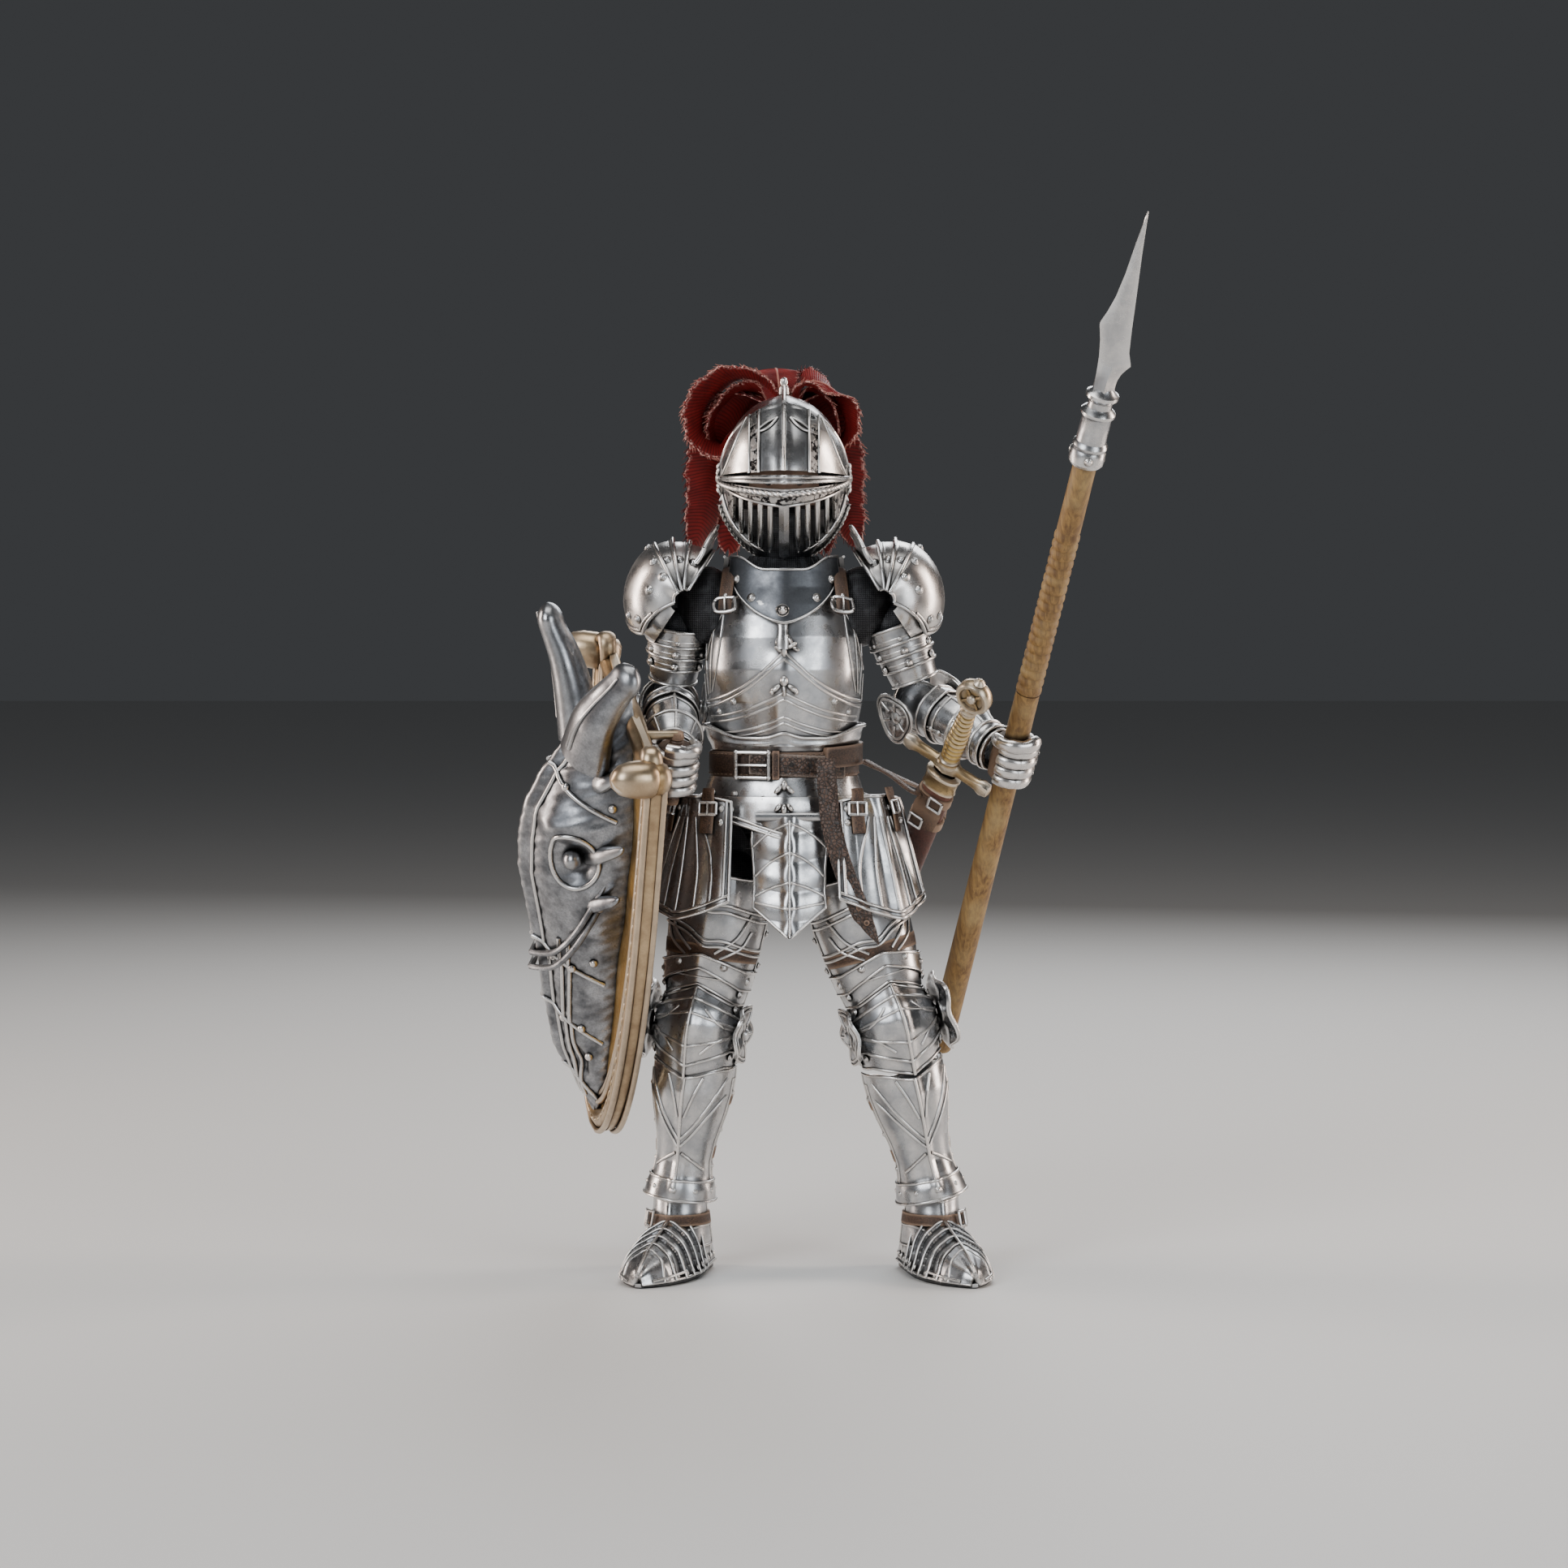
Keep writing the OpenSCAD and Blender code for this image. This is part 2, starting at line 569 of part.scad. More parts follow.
module greave(s) color(STEEL) {
    reach = norm(knee(s) - ankle(s));
    top = -knee_pin_z - limb_stop - 1.4;
    difference() {
        basis(knee(s), [1, 0, 0], knee(s) - ankle(s))
            turned([[0, top], [6.2, top], [calf_r, top - 5], [calf_r, top - 8], [5.6, -23], [4.2, 8 - reach],
                    [5.7, 3.2 - reach], [5, 3.2 - reach], [3.6, 7.4 - reach], [0, 7.4 - reach]]);
    }
    in_knee(s) translate([0, 0, -knee_pin_z]) small_fork(limb_stop + 2);
    in_foot(s) translate([0, 0, ankle(s).z]) mirror([0, 0, 1]) small_fork(9);
}
module right_greave() greave(-1);
module left_greave() greave(1);
module ankle_joint(s) color(JOINT) in_foot(s) difference() {
    union() {
        translate([0, 0, ankle(s).z]) along_x(small_disc_r - 0.3, small_disc_t);
        block([-small_disc_t / 2, small_disc_t / 2], [-small_disc_t / 2, small_disc_t / 2],
              [ankle(s).z - ankle_drop, ankle(s).z]);
        translate([0, 0, ankle(s).z - ankle_drop]) along_y(small_disc_r - 0.3, small_disc_t);
    }
    translate([0, 0, ankle(s).z]) along_x(pin_r + fit_gap, 9);
    translate([0, 0, ankle(s).z - ankle_drop]) along_y(pin_r + fit_gap, 9);
}
module right_ankle_joint() ankle_joint(-1);
module left_ankle_joint() ankle_joint(1);
module sabaton(s) color(STEEL) in_foot(s) {
    heel_y = 8.6;
    low_z = ankle(s).z - ankle_drop;
    difference() {
        union() {
            hull() {
                translate([0, heel_y - 4.6, 0]) cylinder(r = 4.6, h = 7, $fn = HULL_FN);
                translate([0, heel_y - foot_length + 10, 0])
                    cylinder(r = foot_w / 2, h = 2.6, $fn = HULL_FN);
                translate([0, heel_y - foot_length + 1.2, 0]) cylinder(r = 1.2, h = 1.6, $fn = HULL_FN);
                translate([0, -6, 0]) cylinder(r = 4.2, h = 7, $fn = HULL_FN);
            }
            translate([0, 0, 2]) cylinder(r = 4.8, h = low_z);
        }
        block([-3.6, 3.6], [-small_slot, small_slot], [low_z - small_disc_r - 0.2, 40]);
        translate([0, 0, low_z + small_disc_r - 0.4]) cylinder(r = 4, h = 30);
        translate([0, heel_y - foot_length * 0.55, -1]) cylinder(r = sole_hole_r, h = sole_hole_depth + 1);
    }
    translate([0, 0, low_z]) along_y(pin_r, 2 * small_slot + 1);
}
module right_sabaton() sabaton(-1);
module left_sabaton() sabaton(1);

// Spear, sword and scabbard

module spear_shaft() color(BRONZE) in_spear() translate([0, 0, -butt_to_fist]) {
    cylinder(r = shaft_r, h = 105);
    translate([0, 0, 105])
        cylinder(r1 = shaft_r, r2 = shaft_r + 0.3, h = spear_length - spearhead_length - 105);
}
module at_spearhead() in_spear() translate([0, 0, spear_length - butt_to_fist - spearhead_length]) children();
module spear_head() color(STEEL) at_spearhead() {
    turned([[0, 0], [3, 0], [3, 4], [2.6, 5], [2.6, 9], [2.9, 10], [2.2, 13], [1.4, 18], [0, 18]]);
    translate([0, 0.5, 0]) rotate([90, 0, 0]) linear_extrude(1)
        polygon([[-1.4, 14], [1.4, 14], [3.4, 19], [3.2, 22], [1.8, 27], [0.8, spearhead_length],
                 [-0.6, 36], [-3, 29], [-3, 26]]);
}
module sword_blade() color(STEEL) in_sword()
    translate([0, blade_t / 2, 0]) rotate([90, 0, 0]) linear_extrude(blade_t)
        polygon([[-blade_w / 2, 0.5], [blade_w / 2, 0.5], [blade_w / 2, 4 - blade_length], [0, -blade_length],
                 [-blade_w / 2, 4 - blade_length]]);
module sword_hilt() color(BRONZE) in_sword() difference() {
    union() {
        translate([0, 0, 1.9]) rotate([0, 90, 0]) cylinder(r = 1.4, h = guard_span, center = true);
        turned([[0, 1.9], [1.7, 1.9], [2, 8], [1.6, 19], [0, 19]]);
        translate([0, 0, 21.4]) along_y(3, 2.4);
    }
    block([-blade_w / 2, blade_w / 2], [-blade_t / 2, blade_t / 2], [-9, 0.5]);
}
module scabbard() color(LEATHER) in_sword() difference() {
    union() {
        hull() {
            translate([-2.6, -1.4, -12]) cube([5.2, 2.8, 12]);
            translate([-1.4, -1, -blade_length - 3]) cube([2.8, 2, 1]);
        }
        translate([-3, -1.7, -3]) cube([6, 3.4, 3]);
    }
    block([-blade_w / 2 - 0.1, blade_w / 2 + 0.1], [-blade_t / 2 - 0.1, blade_t / 2 + 0.1],
          [-blade_length - 0.5, 1]);
}
module frog_strap() color(LEATHER) in_sword() difference() {
    translate([-4, -2.7, -11]) cube([8, 5.4, 5]);
    hull() {
        translate([-2.6, -1.4, -12]) cube([5.2, 2.8, 12]);
        translate([-1.4, -1, -blade_length - 3]) cube([2.8, 2, 1]);
    }
}

// Shield

module heater(grow) polygon(concat(
    [[-shield_w / 2 - grow, grow], [shield_w / 2 + grow, grow]],
    [for (a = [0:11.25:180]) [(shield_w / 2 + grow) * cos(a),
                              -0.3 * shield_h - (0.7 * shield_h + grow) * sin(a)]]));
module heater_plate(grow, y, t) translate([0, y + t, 0]) rotate([90, 0, 0]) linear_extrude(t) heater(grow);
module shield_board() color(BRONZE) in_shield() heater_plate(-1.2, 0, board_t);
module shield_rim() color(BRONZE) in_shield() difference() {
    heater_plate(0, -1, board_t + 1.6);
    heater_plate(-3.6, -2, 2);
    heater_plate(-1.2, 0, board_t);
    heater_plate(-2.2, board_t, 2);
}
module shield_relief() color(DARK_STEEL) in_shield() difference() {
    union() {
        hull() {
            translate([0, -2, -20]) sphere(r = 10, $fn = HULL_FN);
            translate([0, -relief_h + 7, -26]) sphere(r = 7, $fn = HULL_FN);
            translate([0, -4, -60]) sphere(r = 6, $fn = HULL_FN);
        }
        hull() {
            translate([0, -4, -60]) sphere(r = 6, $fn = HULL_FN);
            translate([0, -2, 2 - shield_h]) sphere(r = 3, $fn = HULL_FN);
        }
        for (k = SIDES) hull() {
            translate([k * 8, -6, -14]) sphere(r = 3.6, $fn = HULL_FN);
            translate([k * 13, -10, 6]) sphere(r = 1, $fn = HULL_FN);
        }
    }
    block([-40, 40], [0, 40], [-120, 40]);
    difference() {
        heater_plate(0, -1, 3);
        heater_plate(-3.6, -2, 5);
    }
}
// The grip bar stands off the board on two posts
module shield_grip() color(LEATHER) difference() {
    union() {
        translate(right_fist) rotate([0, shield_lean, shield_turn]) {
            cylinder(r = grip_r, h = fist_h + 2.6, center = true);
            for (k = SIDES) translate([0, 0, k * (fist_h / 2 + 0.75)])
                block([-1.2, 1.2], [-8, 1], [-0.55, 0.55]);
        }
    }
    in_shield() block([-60, 60], [-60, board_t], [-120, 60]);
}

pelvis_block();
belt();
belt_buckle();
belt_tail();
fauld();
groin_plate();
right_tasset();
left_tasset();
torso_core();
breastplate();
backplate();
gorget();
chest_boss();
neck_post();
head();
helmet_skull();
plume();
visor_pins();
visor();
face_grille();
right_shoulder_joint();
right_pauldron();
right_upper_arm();
right_forearm();
right_couter();
right_gauntlet();
left_shoulder_joint();
left_pauldron();
left_upper_arm();
left_forearm();
left_couter();
left_gauntlet();
right_hip_joint();
right_thigh();
right_knee_block();
right_poleyn();
right_greave();
right_ankle_joint();
right_sabaton();
left_hip_joint();
left_thigh();
left_knee_block();
left_poleyn();
left_greave();
left_ankle_joint();
left_sabaton();
spear_shaft();
spear_head();
sword_blade();
sword_hilt();
scabbard();
frog_strap();
shield_board();
shield_rim();
shield_relief();
shield_grip();
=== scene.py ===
import bpy
import json
import math
import numpy as np
from mathutils import Matrix, Vector


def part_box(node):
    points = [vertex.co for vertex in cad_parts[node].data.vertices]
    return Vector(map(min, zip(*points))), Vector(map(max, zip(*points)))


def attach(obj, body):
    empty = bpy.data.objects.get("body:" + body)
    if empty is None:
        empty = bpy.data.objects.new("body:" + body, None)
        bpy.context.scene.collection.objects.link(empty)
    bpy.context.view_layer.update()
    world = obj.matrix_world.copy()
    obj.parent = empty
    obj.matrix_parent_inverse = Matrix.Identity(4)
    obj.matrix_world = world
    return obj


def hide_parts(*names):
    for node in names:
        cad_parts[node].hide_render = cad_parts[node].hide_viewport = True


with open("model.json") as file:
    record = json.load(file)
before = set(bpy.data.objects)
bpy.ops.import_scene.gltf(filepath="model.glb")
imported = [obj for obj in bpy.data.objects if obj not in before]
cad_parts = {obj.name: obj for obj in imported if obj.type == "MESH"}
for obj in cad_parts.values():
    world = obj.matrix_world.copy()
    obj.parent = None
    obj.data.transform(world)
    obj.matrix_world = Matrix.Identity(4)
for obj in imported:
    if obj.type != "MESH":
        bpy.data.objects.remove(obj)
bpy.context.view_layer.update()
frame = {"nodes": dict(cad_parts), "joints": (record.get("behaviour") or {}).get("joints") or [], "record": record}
joints = {j["name"]: np.array(j["pos_m"]) * 1000 for j in frame["joints"] if "pos_m" in j}
scene = bpy.context.scene
print("frame loaded:", len(frame["nodes"]), "nodes")


# shapes, all worked out in millimetres

def unit(v):
    v = np.asarray(v, float)
    return v / max(np.linalg.norm(v), 1e-12)


def smooth(t):
    t = np.clip(t, 0, 1)
    return t * t * (3 - 2 * t)


def cosOf(degrees):
    return np.cos(np.radians(degrees))


def sinOf(degrees):
    return np.sin(np.radians(degrees))


def bump(t, width):
    return np.exp(-(t / width) ** 2)


def span(a, b, n):
    return np.linspace(a, b, n)


def around(n):  # a full turn in degrees with the last point left off
    return span(-180, 180, n)[:-1]


def placed(at, x=(1, 0, 0), up=(0, 0, 1)):
    w = unit(up)
    v = unit(np.cross(w, x))
    return np.column_stack([np.cross(v, w), v, w]), np.array(at, float)


def turned(at, x=0, y=0, z=0):
    m = Matrix.Rotation(math.radians(z), 3, "Z") @ Matrix.Rotation(math.radians(y), 3, "Y")
    return np.array(m @ Matrix.Rotation(math.radians(x), 3, "X")), np.array(at, float)


def moved(points, place):
    return points if place is None else np.asarray(points, float) @ place[0].T + place[1]


def aimed(way, place):  # directions turned with a place, never shifted
    return moved(way, (place[0], np.zeros(3)))


def facingOut(points, place, way=(0, -1, 0)):
    return aimed(np.tile(way, (len(points), 1)), place)


def joined(a, b):  # place b inside place a
    return a[0] @ b[0], a[0] @ b[1] + a[1]


def gridNormals(p, loop):
    if loop:
        q = np.concatenate([p[-1:], p, p[:1]])
        du = (q[2:] - q[:-2])
    else:
        du = np.gradient(p, axis=0)
    n = np.cross(du, np.gradient(p, axis=1))
    size = np.linalg.norm(n, axis=2, keepdims=True)
    return n / np.where(size < 1e-12, 1, size)


def quads(rows, cols, loop):
    i, j = np.meshgrid(np.arange(rows if loop else rows - 1), np.arange(cols - 1), indexing="ij")
    k = (i + 1) % rows
    return np.stack([i * cols + j, k * cols + j, k * cols + j + 1, i * cols + j + 1], -1).reshape(-1, 4)


def sheet(surf, us, vs, wall=0.6, relief=None, core=(0, 0, 0), loop=False, place=None, marks=None):
    u, v = np.meshgrid(us, vs, indexing="ij")
    p = surf(u, v)
    n = gridNormals(p, loop)
    outward = np.sum(n * (p - np.array(core, float))) > 0
    n = n if outward else -n
    outer = p + n * relief(u, v)[..., None] if relief else p
    inner = p - n * wall
    rows, cols = u.shape
    count = rows * cols
    out = quads(rows, cols, loop)
    back = out[:, ::-1] + count
    rim = []
    edge = [(i, i + 1) for i in range(rows - 1)] + ([(rows - 1, 0)] if loop else [])
    for a, b in edge:
        rim.append((b * cols, a * cols, a * cols + count, b * cols + count))
        c = cols - 1
        rim.append((a * cols + c, b * cols + c, b * cols + c + count, a * cols + c + count))
    if not loop:
        for j in range(cols - 1):
            rim.append((j, j + 1, j + 1 + count, j + count))
            r = (rows - 1) * cols
            rim.append((r + j + 1, r + j, r + j + count, r + j + 1 + count))
    faces = np.concatenate([out, back, np.array(rim)])
    if not outward:
        faces = faces[:, ::-1]
    points = np.concatenate([outer.reshape(-1, 3), inner.reshape(-1, 3)])
    found = {label: np.tile(rule(u, v).ravel(), 2) for label, rule in (marks or {}).items()}
    return moved(points, place), faces.tolist(), found


def loft(rings, place=None):
    rings = np.asarray(rings, float)
    rows, cols, _ = rings.shape
    closed = np.transpose(rings, (1, 0, 2))
    faces = quads(cols, rows, True).tolist()
    points = closed.reshape(-1, 3)
    for row, turn in ((0, 1), (rows - 1, -1)):
        centre = len(points)
        points = np.concatenate([points, rings[row].mean(0)[None]])
        ids = [c * rows + row for c in range(cols)]
        for a, b in zip(ids, ids[1:] + ids[:1]):
            faces.append([a, b, centre][::turn])
    return fixed(moved(points, place), faces)


def fixed(points, faces):  # faces turned to point outwards
    total = 0.0
    for f in faces:
        a, b, c = points[f[0]], points[f[1]], points[f[2]]
        total += np.dot(a, np.cross(b, c))
        if len(f) == 4:
            total += np.dot(a, np.cross(c, points[f[3]]))
    return points, ([f[::-1] for f in faces] if total < 0 else faces)


def circle(radius, sides=24, power=1.0, wide=1.0, deep=1.0):
    a = np.linspace(0, 2 * np.pi, sides, endpoint=False)
    c, s = np.cos(a), np.sin(a)
    x = np.sign(c) * np.abs(c) ** power * radius * wide
    y = np.sign(s) * np.abs(s) ** power * radius * deep
    return np.stack([x, y, np.zeros(sides)], -1)


def lathe(profile, place=None, sides=40):
    return loft([circle(r, sides) + [0, 0, z] for r, z in profile], place)


def blob(at, radii, power=1.0, place=None, turns=20, rows=14, lean=None):
    e = np.linspace(-np.pi / 2 + 0.02, np.pi / 2 - 0.02, rows)
    out = []
    for t in e:
        c = abs(math.cos(t)) ** power
        z = math.copysign(abs(math.sin(t)) ** power, t)
        ring = circle(c, turns, power) * [radii[0], radii[1], 1] + [0, 0, z * radii[2]]
        out.append(ring)
    points, faces = loft(out)
    points = moved(points, lean) + np.array(at, float)
    return fixed(moved(points, place), faces)


def tube(path, radius, sides=10, flat=1.0, aim=None, place=None):
    path = np.asarray(path, float)
    radius = np.broadcast_to(radius, (len(path),))
    along = np.gradient(path, axis=0)
    aim = np.broadcast_to(aim if aim is not None else (0.3, 0.5, 0.81), path.shape)
    rings = []
    for p, d, r, look in zip(path, along, radius, aim):
        d = unit(d)
        n = unit(look - d * np.dot(look, d))
        b = np.cross(d, n)
        a = np.linspace(0, 2 * np.pi, sides, endpoint=False)[:, None]
        rings.append(p + (n * np.cos(a) * flat + b * np.sin(a)) * r)
    return loft(rings, place)


def buckleWire(hold, wide, tall, wire):
    corners = np.array([(wide, tall, 0), (wide, -tall, 0), (-wide, -tall, 0), (-wide, tall, 0), (wide, tall, 0)])
    return [tube(moved([a, (a + b) / 2, b], hold), wire, 8) for a, b in zip(corners, corners[1:])]


def smoothPath(points, steps=60):
    p = np.asarray(points, float)
    ends = np.concatenate([[2 * p[0] - p[1]], p, [2 * p[-1] - p[-2]]])
    out = []
    each = max(2, int(math.ceil(steps / (len(p) - 1))))
    for i in range(len(p) - 1):
        a, b, c, d = ends[i:i + 4]
        for t in np.linspace(0, 1, each, endpoint=False):
            out.append(0.5 * (2 * b + (c - a) * t + (2 * a - 5 * b + 4 * c - d) * t * t
                              + (3 * b - a - 3 * c + d) * t ** 3))
    out.append(p[-1])
    return np.array(out)


def onSurface(surf, uv, lift=0.0, core=(0, 0, 0), place=None):
    uv = np.asarray(uv, float)
    u, v = uv[:, 0], uv[:, 1]
    e = 1e-3
    p = surf(u, v)
    n = np.cross(surf(u + e, v) - surf(u - e, v), surf(u, v + e) - surf(u, v - e))
    n = n / np.maximum(np.linalg.norm(n, axis=1, keepdims=True), 1e-15)
    facing = np.sum(n * (p - np.array(core, float)), axis=1, keepdims=True)
    n = np.where(facing < 0, -n, n)
    p = p + n * lift
    if place is not None:
        p, n = moved(p, place), n @ place[0].T
    return p, n


# objects

def makeMesh(name, points, faces, sharp=38):
    mesh = bpy.data.meshes.new(name)
    mesh.from_pydata((np.asarray(points) * 0.001).tolist(), [], faces)
    mesh.shade_smooth()
    mesh.set_sharp_from_angle(angle=math.radians(sharp))
    return mesh


def make(name, body, material, parts, slot="steel", replaces=(), sharp=38):
    points, faces, start, found = [], [], 0, {}
    for part in parts:
        p, f = part[0], part[1]
        points.append(np.asarray(p, float))
        faces += [[i + start for i in face] for face in f]
        for label, values in (part[2] if len(part) > 2 else {}).items():
            found.setdefault(label, []).append((start, values))
        start += len(p)
    mesh = makeMesh(name, np.concatenate(points), faces, sharp)
    for label, chunks in found.items():
        whole = np.zeros(start, np.float32)
        for at, values in chunks:
            whole[at:at + len(values)] = values
        mesh.attributes.new(label, "FLOAT", "POINT").data.foreach_set("value", whole)
    mesh.materials.append(material)
    return settle(name, mesh, body, slot, replaces)


def settle(name, mesh, body, slot, replaces=()):
    piece = bpy.data.objects.new(name, mesh)
    scene.collection.objects.link(piece)
    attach(piece, body)
    if replaces:
        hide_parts(*replaces)
    return piece


# Geometry Nodes: rivets, rolled edges, ropes, stitches, rings and barbs

def adderFor(tree):
    def add(kind, links=None, out=0, **props):
        node = tree.nodes.new(kind)
        for key, value in props.items():
            setattr(node, key, value)
        for key, value in (links or {}).items():
            socket = node.inputs[key]
            if isinstance(value, bpy.types.NodeSocket):
                tree.links.new(value, socket)
            else:
                socket.default_value = value
        return node.outputs[out]
    return add


def nameInputs(tree, inputs):
    for label, kind, value in inputs:
        socket = tree.interface.new_socket(label, in_out="INPUT", socket_type="NodeSocket" + kind)
        if value is not None:
            socket.default_value = value


def newTree(name, inputs):
    tree = bpy.data.node_groups.new(name, "GeometryNodeTree")
    tree.interface.new_socket("Geometry", in_out="INPUT", socket_type="NodeSocketGeometry")
    nameInputs(tree, inputs)
    tree.interface.new_socket("Geometry", in_out="OUTPUT", socket_type="NodeSocketGeometry")
    source, add = tree.nodes.new("NodeGroupInput").outputs, adderFor(tree)

    def finish(shape):
        real = add("GeometryNodeRealizeInstances", {0: shape})
        soft = add("GeometryNodeSetShadeSmooth", {0: real})
        done = add("GeometryNodeSetMaterial", {0: soft, "Material": source["Material"]})
        tree.links.new(done, tree.nodes.new("NodeGroupOutput").inputs[0])
        return tree
    return source, add, finish


def times(add, a, b):
    return add("ShaderNodeMath", {0: a, 1: b}, operation="MULTIPLY")


def vectorOf(add, x, y, z):
    return add("ShaderNodeCombineXYZ", {0: x, 1: y, 2: z})


def namedField(add, name, kind="FLOAT_VECTOR"):
    return add("GeometryNodeInputNamedAttribute", {"Name": name}, data_type=kind)


def turnToAim(add):
    return add("FunctionNodeAlignRotationToVector", {"Vector": namedField(add, "aim")}, axis="Z")


def rivetTree():
    source, add, finish = newTree("rivets", [
        ("Radius", "Float", 0.0006), ("Dome", "Float", 0.0004), ("Washer", "Float", 1.35),
        ("Material", "Material", None)])
    dome = add("GeometryNodeMeshUVSphere", {"Segments": 14, "Rings": 8, "Radius": 1.0})
    dome = add("GeometryNodeTransform", {0: dome,
        "Scale": vectorOf(add, source["Radius"], source["Radius"], source["Dome"])})
    wide = times(add, source["Radius"], source["Washer"])
    thin = times(add, source["Dome"], 0.35)
    washer = add("GeometryNodeMeshCylinder", {"Vertices": 14, "Radius": wide, "Depth": thin})
    both = add("GeometryNodeJoinGeometry", {0: dome})
    tree = both.node.id_data
    tree.links.new(washer, both.node.inputs[0])
    turn = turnToAim(add)
    return finish(add("GeometryNodeInstanceOnPoints", {"Points": source[0], "Instance": both, "Rotation": turn,
                                                       "Scale": namedField(add, "size", "FLOAT")}))


def mouldingTree():
    source, add, finish = newTree("mouldings", [
        ("Width", "Float", 0.0006), ("Height", "Float", 0.0006), ("Strands", "Float", 0.0), ("Groove", "Float", 0.0),
        ("Twist", "Float", 0.0), ("Sides", "Int", 8), ("Material", "Material", None)])
    line = add("GeometryNodeMeshToCurve", {0: source[0]})
    line = add("GeometryNodeSetCurveNormal", {0: line, "Normal": namedField(add, "aim")}, mode="FREE")
    run = add("GeometryNodeSplineParameter", out=1)
    tilt = times(add, run, source["Twist"])
    line = add("GeometryNodeSetCurveTilt", {0: line, "Tilt": tilt})
    ring = add("GeometryNodeCurvePrimitiveCircle", {"Resolution": source["Sides"], "Radius": 1.0})
    around = times(add, add("GeometryNodeSplineParameter"), source["Strands"])
    wave = add("ShaderNodeMath", {0: times(add, around, 2 * math.pi)}, operation="COSINE")
    grow = add("ShaderNodeMath", {0: wave, 1: source["Groove"], 2: 1.0}, operation="MULTIPLY_ADD")
    spot = add("ShaderNodeVectorMath", {0: add("GeometryNodeInputPosition"), "Scale": grow}, operation="SCALE")
    ring = add("GeometryNodeSetPosition", {0: ring, "Position": spot})
    ring = add("GeometryNodeTransform", {0: ring, "Scale": vectorOf(add, source["Height"], source["Width"], 1.0)})
    return finish(add("GeometryNodeCurveToMesh", {"Curve": line, "Profile Curve": ring, "Fill Caps": True}))


def stitchTree():
    source, add, finish = newTree("stitches", [
        ("Spacing", "Float", 0.0012), ("Length", "Float", 0.0004), ("Width", "Float", 0.00012),
        ("Height", "Float", 0.0001),
        ("Material", "Material", None)])
    line = add("GeometryNodeMeshToCurve", {0: source[0]})
    line = add("GeometryNodeResampleCurve", {0: line, "Length": source["Spacing"]}, mode="LENGTH")
    bead = add("GeometryNodeMeshUVSphere", {"Segments": 8, "Rings": 6, "Radius": 1.0})
    bead = add("GeometryNodeTransform", {0: bead,
        "Scale": vectorOf(add, source["Length"], source["Width"], source["Height"])})
    turn = turnToAim(add)
    turn = add("FunctionNodeAlignRotationToVector", {"Rotation": turn, "Vector": add("GeometryNodeInputTangent")},
               axis="X", pivot_axis="Z")
    return finish(add("GeometryNodeInstanceOnPoints", {"Points": line, "Instance": bead, "Rotation": turn}))


def ringTree():
    source, add, finish = newTree("rings", [
        ("Wire", "Float", 0.1), ("Flat", "Float", 1.0), ("Material", "Material", None)])
    hoop = add("GeometryNodeCurvePrimitiveCircle", {"Resolution": 28, "Radius": 1.0})
    wire = add("GeometryNodeCurvePrimitiveCircle", {"Resolution": 8, "Radius": source["Wire"]})
    hoop = add("GeometryNodeCurveToMesh", {"Curve": hoop, "Profile Curve": wire})
    hoop = add("GeometryNodeTransform", {0: hoop, "Scale": vectorOf(add, 1.0, 1.0, source["Flat"])})
    turn = turnToAim(add)
    return finish(add("GeometryNodeInstanceOnPoints", {"Points": source[0], "Instance": hoop, "Rotation": turn,
                                                       "Scale": namedField(add, "size", "FLOAT")}))


def barbTree():
    source, add, finish = newTree("barbs", [
        ("Spacing", "Float", 0.0005), ("Length", "Float", 0.0009), ("Width", "Float", 0.00014),
        ("Spread", "Float", 0.35),
        ("Seed", "Int", 3), ("Material", "Material", None)])
    line = add("GeometryNodeMeshToCurve", {0: source[0]})
    line = add("GeometryNodeResampleCurve", {0: line, "Length": source["Spacing"]}, mode="LENGTH")
    barb = add("GeometryNodeMeshCone", {"Vertices": 5, "Side Segments": 2, "Radius Top": 0.25, "Radius Bottom": 1.0,
        "Depth": 1.0})
    barb = add("GeometryNodeTransform", {0: barb,
        "Scale": vectorOf(add, source["Width"], source["Width"], source["Length"])})
    wild = add("FunctionNodeRandomValue", {"Min": (-1.0, -1.0, -1.0), "Max": (1.0, 1.0, 1.0), "Seed": source["Seed"]},
               data_type="FLOAT_VECTOR")
    wild = add("ShaderNodeVectorMath", {0: wild, "Scale": source["Spread"]}, operation="SCALE")
    aim = add("ShaderNodeVectorMath", {0: namedField(add, "aim"), 1: wild}, operation="ADD")
    turn = add("FunctionNodeAlignRotationToVector", {"Vector": aim}, axis="Z")
    size = add("FunctionNodeRandomValue", {2: 0.55, 3: 1.25, "Seed": source["Seed"]}, out=1, data_type="FLOAT")
    return finish(add("GeometryNodeInstanceOnPoints",
        {"Points": line, "Instance": barb, "Rotation": turn, "Scale": size}))


trees = {}


